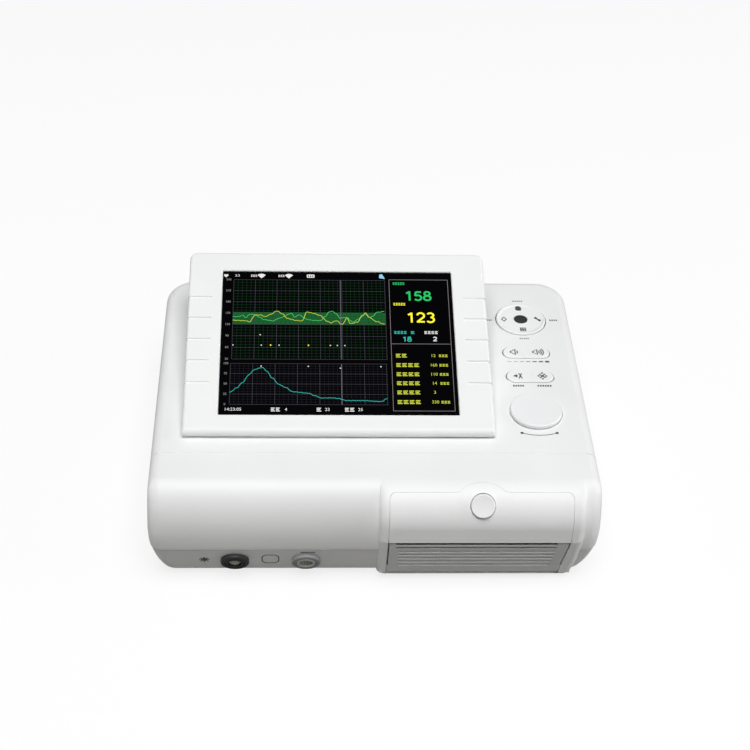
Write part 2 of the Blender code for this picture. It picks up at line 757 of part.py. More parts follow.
def build_front_cover(shop):
    """The front of the upper case with its round nose, and the printer bulge with the door's opening."""
    cover = upper_solid(shop, "front_cover_form")
    cover.name = "front_cover"
    make_part(shop, cover, "case")
    seam = COVER_SEAM_Y - SEAM_GAP / 2
    front_half = shop.block(
        "front_half",
        (LEFT_X - OVERRUN, FRONT_Y - OVERRUN, 0),
        (RIGHT_X + OVERRUN, seam, DECK_HEIGHT + OVERRUN),
    )
    shop.keep(cover, front_half)
    shop.join(cover, bulge_solid(shop, "bulge_form"))
    shop.cut(cover, upper_solid(shop, "front_cover_hollow", WALL), bulge_solid(shop, "bulge_hollow", WALL))
    door_low = DOOR_AXIS_HEIGHT - DOOR_BARREL_RADIUS - KEY_GAP
    upper_opening = shop.plate("door_opening_above", door_outline(GAP), SLOT_TOP, DECK_HEIGHT + OVERRUN)
    lower_opening = shop.block(
        "door_opening_below",
        (DOOR_LEFT - GAP, FRONT_Y - OVERRUN, door_low),
        (DOOR_RIGHT + GAP, BULGE_BACK, SLOT_TOP + SLOT_HEIGHT),
    )
    shop.cut(cover, upper_opening, lower_opening)
    axis = door_axis()
    for side, edge, wall in (("left", DOOR_LEFT - GAP, -1), ("right", DOOR_RIGHT + GAP, 1)):
        inner = edge + wall * GAP
        outer = inner + wall * DOOR_BOSS_LENGTH
        boss = shop.block(
            "door_boss_" + side,
            (min(inner, outer), axis.y - DOOR_BOSS_FRONT, axis.z - DOOR_BARREL_RADIUS),
            (max(inner, outer), axis.y + DOOR_BOSS_BACK, axis.z + DOOR_BOSS_RISE),
        )
        shop.join(cover, boss)
        bore = shop.rod(
            "door_bore_" + side,
            DOOR_PIN_RADIUS + GAP,
            (inner - wall * OVERRUN, axis.y, axis.z),
            (outer - wall * GAP, axis.y, axis.z),
            sides=SMALL_SIDES,
        )
        shop.cut(cover, bore)
    return cover


def make_part(shop, obj, kind):
    """Turns a cutter into a part of its own."""
    shop.cutters.objects.unlink(obj)
    shop.parts.objects.link(obj)
    obj.hide_render = False
    obj.display_type = "TEXTURED"
    obj.data.materials.append(finish(obj.name, kind))
    return obj


def recess_outline(grow=0.0):
    """The well in the deck that the back of the screen folds into."""
    left = SCREEN_LEFT + PAN_INSET - RECESS_CLEARANCE - grow
    right = SCREEN_LEFT + SCREEN_WIDTH - PAN_INSET + RECESS_CLEARANCE + grow
    front = SCREEN_AXIS.y - SCREEN_ROUND + PAN_FRONT - RECESS_CLEARANCE - grow
    back = SCREEN_AXIS.y - SCREEN_ROUND + SCREEN_LENGTH - PAN_BACK + RECESS_CLEARANCE + grow
    return rounded_outline(left, right, front, back, RECESS_RADIUS + grow)


def recess_floor():
    """The height of the well's floor, just under the folded screen."""
    return SCREEN_AXIS.z + SCREEN_ROUND - RIM_THICKNESS - PAN_DEPTH - RECESS_CLEARANCE + GAP


def hinge_places():
    """The middle of each screen hinge across the case."""
    return {
        "left": SCREEN_LEFT + HINGE_INSET,
        "right": SCREEN_LEFT + SCREEN_WIDTH - HINGE_INSET,
    }


def column_y(share):
    """A key's place at a share of the way from the back of the case to the covers' seam."""
    return BACK_Y - (BACK_Y - COVER_SEAM_Y) * share


def key_board_span():
    """The key board's edges: left, right, front and back."""
    return (
        COLUMN_X - KEY_BOARD_WIDTH / 2,
        COLUMN_X + KEY_BOARD_WIDTH / 2,
        column_y(KNOB_PLACE_SHARE) - KNOB_RADIUS,
        column_y(NAV_PLACE_SHARE) + KEY_BOARD_MARGIN,
    )


def capsule(centre_x, centre_y, length, width):
    """The outline of a bar with round ends."""
    half_length, half_width = length / 2, width / 2
    return rounded_outline(
        centre_x - half_length,
        centre_x + half_length,
        centre_y - half_width,
        centre_y + half_width,
        half_width,
    )


def build_top_cover(shop):
    """The deck with its screen well, key openings and vents."""
    cover = upper_solid(shop, "top_cover_form")
    cover.name = "top_cover"
    make_part(shop, cover, "case")
    seam = COVER_SEAM_Y + SEAM_GAP / 2
    rear_half = shop.block(
        "rear_half",
        (LEFT_X - OVERRUN, seam, 0),
        (RIGHT_X + OVERRUN, BACK_Y + OVERRUN, DECK_HEIGHT + OVERRUN),
    )
    shop.keep(cover, rear_half)
    shop.cut(cover, upper_solid(shop, "top_cover_hollow", WALL))
    floor = recess_floor()
    tub = shop.plate("screen_tub", recess_outline(RECESS_WALL), floor - RECESS_WALL, DECK_HEIGHT - WALL / 2)
    shop.join(cover, tub)
    left, right, front, back = key_board_span()
    margin = KEY_BOSS_MARGIN
    for x in (left + margin, right - margin):
        for y in (front + margin, (front + back) / 2 - margin, back - margin):
            boss = shop.rod(
                "key_boss",
                KEY_BOSS_RADIUS,
                (x, y, KEY_BOARD_TOP + GAP),
                (x, y, DECK_HEIGHT - WALL / 2),
                sides=SMALL_SIDES,
            )
            shop.join(cover, boss)
    shop.cut(cover, shop.plate("screen_well", recess_outline(), floor, DECK_HEIGHT + OVERRUN))
    for side, x in hinge_places().items():
        half = HINGE_WIDTH / 2 + HINGE_POCKET_PLAY
        notch = shop.block(
            "deck_notch_" + side,
            (x - half, SCREEN_AXIS.y, DECK_HEIGHT - DECK_NOTCH_DEPTH),
            (x + half, SCREEN_AXIS.y + PAN_FRONT, DECK_HEIGHT + OVERRUN),
        )
        shop.cut(cover, notch)
    above, below = DECK_HEIGHT + OVERRUN, DECK_UNDERSIDE - OVERRUN
    nav_y, knob_y = column_y(NAV_PLACE_SHARE), column_y(KNOB_PLACE_SHARE)
    for name, radius, y, low, sides in (
        ("nav_opening", NAV_RADIUS, nav_y, below, FINE_SIDES),
        ("knob_well", KNOB_RADIUS, knob_y, DECK_HEIGHT - KNOB_WELL_DEPTH, FINE_SIDES),
        ("collar_opening", COLLAR_RADIUS, knob_y, below, ROUND_SIDES),
    ):
        opening = shop.rod(name, radius + KEY_GAP, (COLUMN_X, y, low), (COLUMN_X, y, above), sides=sides)
        shop.cut(cover, opening)
    for name, share in (("volume", VOLUME_PLACE_SHARE), ("event", EVENT_PLACE_SHARE)):
        outline = capsule(
            COLUMN_X, column_y(share), ROCKER_LENGTH + 2 * KEY_GAP, ROCKER_WIDTH + 2 * KEY_GAP
        )
        shop.cut(cover, shop.plate(name + "_opening", outline, below, above))
    first = -(VENT_COUNT - 1) / 2
    for i in range(VENT_COUNT):
        x = (first + i) * VENT_PITCH
        vent = shop.block(
            "vent",
            (x - VENT_WIDTH / 2, BACK_Y - WALL - OVERRUN, VENT_RISE),
            (x + VENT_WIDTH / 2, BACK_Y + OVERRUN, VENT_RISE + VENT_HEIGHT),
        )
        shop.cut(cover, vent)
    return cover


def board_bosses(left, right, front, back, margin):
    """The places of the bosses under a board's corners."""
    return [(x, y) for x in (left + margin, right - margin) for y in (front + margin, back - margin)]


def main_board_span():
    """The main board's edges: left, right, front and back."""
    right = chassis_span()[0] - MAIN_BOARD_SPACE
    return LEFT_X + MAIN_BOARD_INSET, right, FRONT_Y + MAIN_BOARD_FRONT, BACK_Y - MAIN_BOARD_BACK


def power_board_span():
    """The power board's edges: left, right, front and back."""
    right = RIGHT_X - POWER_BOARD_INSET
    front = chassis_span()[3] + POWER_BOARD_SPACE
    return right - POWER_BOARD_WIDTH, right, front, BACK_Y - POWER_BOARD_BACK


def chassis_span():
    """The printer chassis's edges: left, right, front and back."""
    left = DOOR_LEFT + GAP
    right = left + 2 * CHASSIS_WALL + 2 * CHASSIS_SIDE_PLAY + PAPER_WIDTH
    front = FRONT_Y + CHASSIS_FRONT
    return left, right, front, front + CHASSIS_LENGTH


def battery_span():
    """The battery pack's edges: left, right, front and back."""
    right = power_board_span()[0] - BATTERY_SPACE
    return LEFT_X + BATTERY_INSET, right, FRONT_Y + BATTERY_FRONT, BACK_Y - BATTERY_BACK


def battery_door_outline(grow=0.0):
    """The battery door's outline in plan."""
    left, right, front, back = battery_span()
    margin = BATTERY_DOOR_MARGIN + grow
    return rounded_outline(
        left - margin, right + margin, front - margin, back + margin, BATTERY_DOOR_RADIUS + grow
    )


def foot_places():
    """The middle of each foot."""
    return {
        "foot_front_left": (LEFT_X + FOOT_INSET, FRONT_Y + FOOT_FRONT),
        "foot_front_right": (RIGHT_X - FOOT_INSET, FRONT_Y + FOOT_FRONT),
        "foot_back_left": (LEFT_X + FOOT_INSET, BACK_Y - FOOT_BACK),
        "foot_back_right": (RIGHT_X - FOOT_INSET, BACK_Y - FOOT_BACK),
    }


def socket_plane(share):
    """A matrix on the leaning front band, at a share of its free width, whose Z points straight out."""
    x = LEFT_X + (BULGE_LEFT - LEFT_X) * share
    y = NOSE_Y + (PARTING_HEIGHT - SOCKET_HEIGHT) * math.tan(BAND_LEAN)
    where = Matrix.Translation((x, y, SOCKET_HEIGHT))
    return where @ Matrix.Rotation(math.pi / 2 + BAND_LEAN, 4, "X")


def on_plane(plane, depth):
    """A point on a socket plane's own axis, in front of the face or behind it."""
    return plane @ Vector((0, 0, depth))


def rear_places():
    """The middle of each opening in the back wall, and its size."""
    return {
        "power_inlet": (RIGHT_X - INLET_INSET, INLET_WIDTH, INLET_HEIGHT),
        "power_switch": (RIGHT_X - SWITCH_INSET, SWITCH_WIDTH, SWITCH_HEIGHT),
        "data_port": (LEFT_X + PORT_INSET, PORT_WIDTH, PORT_HEIGHT),
    }


def build_base_housing(shop):
    """The lower case: leaning front band, tucked flanks, floor, bosses and every opening."""
    levels = base_levels()
    stack = rings(body_section, levels)
    stack[-1] = [(x, y, PARTING_HEIGHT - SEAM_GAP / 2) for x, y, _ in stack[-1]]
    base = shop.loft("base_housing", stack, "case")
    hollow = rings(body_section, levels, WALL, FLOOR_WALL)
    hollow.append([(x, y, PARTING_HEIGHT + OVERRUN) for x, y, _ in hollow[-1]])
    shop.cut(base, shop.loft("base_hollow", hollow))
    shop.cut(base, bulge_solid(shop, "bulge_room", -GAP, wall_top=0.0))
    spans = (
        (main_board_span(), BOARD_BOSS_MARGIN, MAIN_BOARD_HEIGHT),
        (power_board_span(), BOARD_BOSS_MARGIN, POWER_BOARD_HEIGHT),
    )
    for span, margin, top in spans:
        for x, y in board_bosses(*span, margin):
            start, end = (x, y, FOOT_HEIGHT + FLOOR_WALL / 2), (x, y, top - GAP)
            shop.join(base, shop.rod("board_boss", BOSS_RADIUS, start, end, sides=SMALL_SIDES))
    left, right, _, back = chassis_span()
    for x in (left + BOARD_BOSS_MARGIN, right - BOARD_BOSS_MARGIN):
        for y in (BULGE_BACK + BOARD_BOSS_MARGIN, back - BOARD_BOSS_MARGIN):
            start, end = (x, y, FOOT_HEIGHT + FLOOR_WALL / 2), (x, y, CHASSIS_FLOOR_HEIGHT - GAP)
            shop.join(base, shop.rod("chassis_boss", BOSS_RADIUS, start, end, sides=SMALL_SIDES))
    shop.cut(base, shop.plate("battery_opening", battery_door_outline(GAP), 0, FLOOR_TOP + OVERRUN))
    for name, (x, y) in foot_places().items():
        top = FOOT_HEIGHT + FOOT_RECESS
        shop.cut(base, shop.rod(name + "_seat", FOOT_RADIUS + FOOT_PLAY, (x, y, 0), (x, y, top)))
    for name, share, radius in (
        ("probe_hole", PROBE_PLACE_SHARE, SOCKET_CORE_RADIUS),
        ("toco_hole", TOCO_PLACE_SHARE, SOCKET_CORE_RADIUS),
        ("lamp_hole", LAMP_PLACE_SHARE, LAMP_RADIUS),
    ):
        plane = socket_plane(share)
        hole = shop.rod(name, radius + GAP, on_plane(plane, -OVERRUN), on_plane(plane, OVERRUN))
        shop.cut(base, hole)
    for name, (x, width, height) in rear_places().items():
        half_width, half_height = width / 2 + GAP, height / 2 + GAP
        opening = shop.block(
            name + "_opening",
            (x - half_width, BACK_Y - WALL - OVERRUN, REAR_HEIGHT - half_height),
            (x + half_width, BACK_Y + OVERRUN, REAR_HEIGHT + half_height),
        )
        shop.cut(base, opening)
    speaker_x, speaker_y = LEFT_X + SPEAKER_INSET, BACK_Y - SPEAKER_BACK
    for i in range(GRILLE_SLOTS):
        x = speaker_x + (i - (GRILLE_SLOTS - 1) / 2) * GRILLE_PITCH
        slot = capsule(0, 0, GRILLE_SLOT_LENGTH, GRILLE_SLOT_WIDTH)
        outline = [(x - v, speaker_y + u) for u, v in slot]
        shop.cut(base, shop.plate("grille_slot", outline, 0, FLOOR_TOP + OVERRUN))
    return base


def build_feet(shop):
    """Four rubber feet seated in the base."""
    for name, (x, y) in foot_places().items():
        top = FOOT_HEIGHT + FOOT_RECESS - GAP
        foot = shop.rod(name, FOOT_RADIUS, (x, y, 0), (x, y, top), "rubber")
        bevel(foot, FOOT_EDGE, 1)


def build_battery(shop):
    """The battery pack and the door under it."""
    left, right, front, back = battery_span()
    low = FOOT_HEIGHT + GAP
    shop.plate("battery_door", battery_door_outline(), low, low + BATTERY_DOOR_THICKNESS, kind="case")
    low += BATTERY_DOOR_THICKNESS + GAP
    pack = shop.block("battery_pack", (left, front, low), (right, back, low + BATTERY_HEIGHT), "battery")
    bevel(pack, BATTERY_EDGE, 2)


def build_boards(shop):
    """The main board, the power board and the speaker."""
    left, right, front, back = main_board_span()
    low = MAIN_BOARD_HEIGHT
    top = low + BOARD_THICKNESS
    board = shop.block("main_board", (left, front, low), (right, back, top), "board")
    centre_x, centre_y = (left + right) / 2, (front + back) / 2
    half = CHIP_SIZE / 2
    strip = (right - left - CONNECTOR_SPACE) / 2 - CONNECTOR_MARGIN
    sunk = top - BOARD_THICKNESS / 2
    for side in (-1, 1):
        x = centre_x + side * CHIP_SIZE
        chip = shop.block(
            "processor", (x - half, centre_y - half, sunk), (x + half, centre_y + half, top + CHIP_HEIGHT)
        )
        x = centre_x + side * (CONNECTOR_SPACE + strip) / 2
        plug = shop.block(
            "plug_strip",
            (x - strip / 2, back - 2 * CONNECTOR_WIDTH, sunk),
            (x + strip / 2, back - CONNECTOR_WIDTH, top + CONNECTOR_HEIGHT),
        )
        shop.join(board, chip, plug)
    left, right, front, back = power_board_span()
    low = POWER_BOARD_HEIGHT
    top = low + BOARD_THICKNESS
    sunk = top - BOARD_THICKNESS / 2
    supply = shop.block("power_board", (left, front, low), (right, back, top), "board")
    centre_x, centre_y = (left + right) / 2, (front + back) / 2
    half = TRANSFORMER_SIZE / 2
    transformer = shop.block(
        "transformer",
        (centre_x - half, centre_y - half, sunk),
        (centre_x + half, centre_y + half, top + TRANSFORMER_HEIGHT),
    )
    shop.join(supply, transformer)
    for side in (-1, 1):
        x = centre_x + side * (half + 2 * CAPACITOR_RADIUS)
        start, end = (x, centre_y, sunk), (x, centre_y, top + CAPACITOR_HEIGHT)
        can = shop.rod("capacitor", CAPACITOR_RADIUS, start, end, sides=SMALL_SIDES)
        shop.join(supply, can)
    x, y = LEFT_X + SPEAKER_INSET, BACK_Y - SPEAKER_BACK
    low = FLOOR_TOP + GAP
    step = SPEAKER_HEIGHT / 2
    profile = [
        (0, SPEAKER_HEIGHT),
        (SPEAKER_MAGNET_RADIUS, SPEAKER_HEIGHT),
        (SPEAKER_MAGNET_RADIUS, step),
        (SPEAKER_RADIUS, step / 2),
        (SPEAKER_RADIUS, 0),
        (SPEAKER_CONE_RADIUS, 0),
        (0, step / 2),
    ]
    shop.turned("speaker", profile, Matrix.Translation((x, y, low)), "dark", sides=ROUND_SIDES)


# Front sockets and lamp

def build_sockets(shop):
    """Two round probe sockets with their nuts, and the power lamp, square to the leaning band."""
    for name, share, ring_kind in (
        ("probe_socket", PROBE_PLACE_SHARE, "dark"),
        ("toco_socket", TOCO_PLACE_SHARE, "grey"),
    ):
        plane = socket_plane(share)
        core = shop.rod(
            name + "_core",
            SOCKET_CORE_RADIUS,
            on_plane(plane, SOCKET_PROUD - SOCKET_LENGTH),
            on_plane(plane, SOCKET_PROUD),
            "pale",
        )
        bore = shop.rod(
            name + "_bore",
            SOCKET_BORE_RADIUS,
            on_plane(plane, SOCKET_PROUD - SOCKET_BORE_DEPTH),
            on_plane(plane, SOCKET_PROUD + OVERRUN),
        )
        shop.cut(core, bore)
        ring = shop.rod(
            name + "_nut",
            SOCKET_RING_RADIUS,
            on_plane(plane, GAP),
            on_plane(plane, GAP + SOCKET_RING_THICKNESS),
            ring_kind,
            sides=FINE_SIDES,
        )
        bevel(ring, SOCKET_EDGE, 1)
        shop.cut(
            ring,
            shop.rod(
                name + "_nut_bore",
                SOCKET_CORE_RADIUS + GAP,
                on_plane(plane, -OVERRUN),
                on_plane(plane, OVERRUN),
                sides=FINE_SIDES,
            ),
        )
    plane = socket_plane(LAMP_PLACE_SHARE)
    start, end = on_plane(plane, LAMP_PROUD - LAMP_LENGTH), on_plane(plane, LAMP_PROUD)
    shop.rod("power_lamp", LAMP_RADIUS, start, end, "lamp", sides=SMALL_SIDES)


# Back wall: mains inlet, switch and data port

def build_rear(shop):
    """The mains inlet, the mains switch with its rocker, and the data port."""
    places = rear_places()
    face = BACK_Y - REAR_SETBACK
    x, width, height = places["power_inlet"]
    inlet = shop.block(
        "power_inlet",
        (x - width / 2, face - INLET_DEPTH, REAR_HEIGHT - height / 2),
        (x + width / 2, face, REAR_HEIGHT + height / 2),
        "dark",
    )
    half_width, half_height = width / 2 - INLET_CAVITY_MARGIN, height / 2 - INLET_CAVITY_MARGIN
    cavity = shop.block(
        "inlet_cavity",
        (x - half_width, face - INLET_CAVITY_DEPTH, REAR_HEIGHT - half_height),
        (x + half_width, face + OVERRUN, REAR_HEIGHT + half_height),
    )
    shop.cut(inlet, cavity)
    for step, rise in ((-1, 0), (0, 1), (1, 0)):
        blade_x = x + step * BLADE_SPREAD
        blade_z = REAR_HEIGHT + BLADE_RISE / 2 + rise * BLADE_RISE / 2
        blade = shop.block(
            "inlet_blade",
            (blade_x - BLADE_WIDTH / 2, face - INLET_CAVITY_DEPTH - BLADE_WIDTH, blade_z - BLADE_HEIGHT / 2),
            (blade_x + BLADE_WIDTH / 2, face - BLADE_WIDTH, blade_z + BLADE_HEIGHT / 2),
        )
        shop.join(inlet, blade)

    x, width, height = places["power_switch"]
    housing = shop.block(
        "switch_housing",
        (x - width / 2, face - SWITCH_DEPTH, REAR_HEIGHT - height / 2),
        (x + width / 2, face, REAR_HEIGHT + height / 2),
        "dark",
    )
    half_width, half_height = width / 2 - SWITCH_WALL, height / 2 - SWITCH_WALL
    pocket = shop.block(
        "switch_pocket",
        (x - half_width, face - SWITCH_POCKET_DEPTH, REAR_HEIGHT - half_height),
        (x + half_width, face + OVERRUN, REAR_HEIGHT + half_height),
    )
    shop.cut(housing, pocket)
    axis_y = face - SWITCH_SETBACK - ROCKER_SWITCH_DEPTH / 2
    axis = shop.pivot("switch_axis", (x, axis_y, REAR_HEIGHT), turn=SWITCH_THROW)
    half_width, half_height = half_width - ROCK_GAP, half_height - ROCK_GAP
    half_depth = ROCKER_SWITCH_DEPTH / 2
    outline = [(-half_depth, -half_height), (half_depth, -half_height), (half_depth / 2, 0)]
    outline += [(half_depth, half_height), (-half_depth, half_height)]
    shop.plate("switch_rocker", outline, -half_width, half_width, "X", "grey", axis)

    x, width, height = places["data_port"]
    port = shop.block(
        "data_port",
        (x - width / 2, face - PORT_DEPTH, REAR_HEIGHT - height / 2),
        (x + width / 2, face, REAR_HEIGHT + height / 2),
        "steel",
    )
    half_width, half_height = width / 2 - PORT_WALL_SIDE, height / 2 - PORT_WALL_SIDE
    cavity = shop.block(
        "port_cavity",
        (x - half_width, face - PORT_CAVITY_DEPTH, REAR_HEIGHT - half_height),
        (x + half_width, face + OVERRUN, REAR_HEIGHT + half_height),
    )
    shop.cut(port, cavity)


# Folding screen, modelled flat about its hinge axis

def panel_y(along):
    """A place along the screen, from its front edge, about the hinge axis."""
    return along - SCREEN_ROUND


def panel_z(above):
    """A height over the screen's face, about the hinge axis."""
    return above + SCREEN_ROUND


def window_centre():
    """The middle of the window along the screen."""
    return panel_y(SCREEN_LENGTH / 2 - WINDOW_SHIFT)


def rim_profile():
    """The screen rim's side view: a half round front edge about the hinge axis, and a square back."""
    radius = SCREEN_ROUND
    front = arc((0, 0), radius, math.pi / 2, 3 * math.pi / 2, ARC_STEPS)
    back = panel_y(SCREEN_LENGTH)
    edge = RIM_EDGE_RADIUS
    quarter = arc((back - edge, radius - edge), edge, 0, math.pi / 2, SOLE_STEPS)
    return front + [(back, -radius)] + quarter


def build_screen(shop, axis):
    """The screen: bezel, window, display, back pan, and the two hinge pins that turn with it."""
    half = SCREEN_WIDTH / 2
    bezel = shop.plate("screen_bezel", rim_profile(), -half, half, "X", "case", axis)
    bevel(bezel, RIM_SIDE_EDGE, 2, math.radians(60))
    inner = half - RIM_WALL
    hollow = shop.block(
        "bezel_hollow",
        (-inner, panel_y(RIM_THICKNESS), panel_z(-RIM_THICKNESS) - OVERRUN),
        (inner, panel_y(SCREEN_LENGTH - RIM_WALL), panel_z(-RIM_WALL)),
        parent=axis,
    )
    centre = window_centre()
    opening = shop.block(
        "window_opening",
        (-WINDOW_WIDTH / 2, centre - WINDOW_HEIGHT / 2, panel_z(-RIM_THICKNESS)),
        (WINDOW_WIDTH / 2, centre + WINDOW_HEIGHT / 2, panel_z(OVERRUN)),
        parent=axis,
    )
    shop.cut(bezel, hollow, opening)
    middle = panel_y(SCREEN_LENGTH / 2)
    for i in range(GROOVE_COUNT):
        y = middle + (i - (GROOVE_COUNT - 1) / 2) * GROOVE_PITCH
        for side in (-1, 1):
            outer = side * (half + OVERRUN)
            end = side * (half - GROOVE_LENGTH)
            groove = shop.block(
                "side_groove",
                (min(outer, end), y - GROOVE_WIDTH / 2, panel_z(-GROOVE_DEPTH)),
                (max(outer, end), y + GROOVE_WIDTH / 2, panel_z(OVERRUN)),
                parent=axis,
            )
            end = side * (half - GROOVE_DEPTH)
            edge_cut = shop.block(
                "edge_groove",
                (min(outer, end), y - GROOVE_WIDTH / 2, panel_z(GROOVE_FOOT - RIM_THICKNESS)),
                (max(outer, end), y + GROOVE_WIDTH / 2, panel_z(OVERRUN)),
                parent=axis,
            )
            shop.join(groove, edge_cut)
            shop.cut(bezel, groove)

    glass_low = panel_z(-WINDOW_RECESS - WINDOW_THICKNESS)
    window = shop.block(
        "screen_window",
        (-WINDOW_WIDTH / 2 + GAP, centre - WINDOW_HEIGHT / 2 + GAP, glass_low),
        (WINDOW_WIDTH / 2 - GAP, centre + WINDOW_HEIGHT / 2 - GAP, glass_low + WINDOW_THICKNESS),
        "window",
        axis,
    )
    display_top = panel_z(-RIM_WALL) - GAP
    display = shop.block(
        "display_module",
        (-DISPLAY_WIDTH / 2, centre - DISPLAY_HEIGHT / 2, display_top - DISPLAY_THICKNESS),
        (DISPLAY_WIDTH / 2, centre + DISPLAY_HEIGHT / 2, display_top),
        "steel",
        axis,
    )

    flange_top = panel_z(-RIM_THICKNESS) + FLANGE_THICKNESS
    inner -= GAP
    back = shop.block(
        "screen_back",
        (-inner, panel_y(PAN_FRONT), panel_z(-RIM_THICKNESS)),
        (inner, panel_y(SCREEN_LENGTH - RIM_WALL) - GAP, flange_top),
        "case",
        axis,
    )
    pan_half = half - PAN_INSET
    pan_low = panel_z(-RIM_THICKNESS - PAN_DEPTH)
    pan_outline = rounded_outline(
        -pan_half, pan_half, panel_y(PAN_FRONT), panel_y(SCREEN_LENGTH - PAN_BACK), PAN_CORNER_RADIUS
    )
    pan = shop.plate("pan_form", pan_outline, pan_low, flange_top - FLANGE_THICKNESS / 2, parent=axis)
    shop.join(back, pan)
    pan_inner = pan_half - PAN_WALL
    pan_hollow = rounded_outline(
        -pan_inner,
        pan_inner,
        panel_y(PAN_FRONT + PAN_WALL),
        panel_y(SCREEN_LENGTH - PAN_BACK - PAN_WALL),
        PAN_CORNER_RADIUS - PAN_WALL,
    )
    room = shop.plate("pan_hollow", pan_hollow, pan_low + PAN_WALL, flange_top + OVERRUN, parent=axis)
    shop.cut(back, room)

    pin_half = HINGE_WIDTH / 2 + HINGE_POCKET_PLAY
    for side, x in hinge_places().items():
        x -= SCREEN_X
        pocket = shop.rod(
            "knuckle_pocket_" + side,
            KNUCKLE_RADIUS + KNUCKLE_CLEARANCE,
            (x - pin_half, 0, 0),
            (x + pin_half, 0, 0),
            parent=axis,
            sides=ROUND_SIDES,
        )
        mouth = shop.block(
            "knuckle_mouth_" + side,
            (x - pin_half, -KNUCKLE_RADIUS, panel_z(-RIM_THICKNESS) - OVERRUN),
            (x + pin_half, panel_y(PAN_FRONT + HINGE_NOTCH_LENGTH), 0),
            parent=axis,
        )
        reach = pin_half + HINGE_PIN_REACH
        bore = shop.rod(
            "hinge_pin_bore_" + side,
            HINGE_PIN_RADIUS + GAP,
            (x - reach, 0, 0),
            (x + reach, 0, 0),
            parent=axis,
            sides=SMALL_SIDES,
        )
        shop.cut(bezel, pocket, mouth, bore)
        notch = shop.block(
            "pan_notch_" + side,
            (x - pin_half - HINGE_NOTCH_PLAY, panel_y(0), pan_low - OVERRUN),
            (x + pin_half + HINGE_NOTCH_PLAY, panel_y(PAN_FRONT + HINGE_NOTCH_LENGTH), flange_top + OVERRUN),
            parent=axis,
        )
        shop.cut(back, notch)
        shop.rod(
            "hinge_pin_" + side,
            HINGE_PIN_RADIUS,
            (x - reach + GAP, 0, 0),
            (x + reach - GAP, 0, 0),
            "steel",
            axis,
            SMALL_SIDES,
        )
    return bezel, window, display, back


def build_hinge_brackets(shop):
    """A steel bracket on the well's floor for each screen hinge, with a knuckle on the axis."""
    for side, x in hinge_places().items():
        low, high = x - HINGE_WIDTH / 2, x + HINGE_WIDTH / 2
        centre = Vector((x, SCREEN_AXIS.y, SCREEN_AXIS.z))
        bracket = shop.rod(
            "hinge_bracket_" + side,
            KNUCKLE_RADIUS,
            (low, centre.y, centre.z),
            (high, centre.y, centre.z),
            "steel",
        )
        along = Vector((math.cos(NECK_ANGLE), math.sin(NECK_ANGLE)))
        across = Vector((-along.y, along.x)) * NECK_THICKNESS / 2
        end = along * NECK_LENGTH
        neck = [across, -across, end - across, end + across]
        neck_outline = [(centre.y + p.x, centre.z + p.y) for p in neck]
        floor = recess_floor() + GAP
        post_y = centre.y + end.x - HINGE_POST_THICKNESS / 2
        post = shop.block(
            "hinge_post_" + side,
            (low, post_y, floor),
            (high, post_y + HINGE_POST_THICKNESS, centre.z + end.y),
        )
        foot = shop.block(
            "hinge_foot_" + side,
            (low, post_y, floor),
            (high, post_y + HINGE_FOOT_LENGTH, floor + HINGE_FOOT_THICKNESS),
        )
        shop.join(bracket, shop.plate("hinge_neck_" + side, neck_outline, low, high, "X"), post, foot)
        bore = shop.rod(
            "knuckle_bore_" + side,
            HINGE_PIN_RADIUS + GAP,
            (low - OVERRUN, centre.y, centre.z),
            (high + OVERRUN, centre.y, centre.z),
            sides=SMALL_SIDES,
        )
        shop.cut(bracket, bore)


# Column of keys

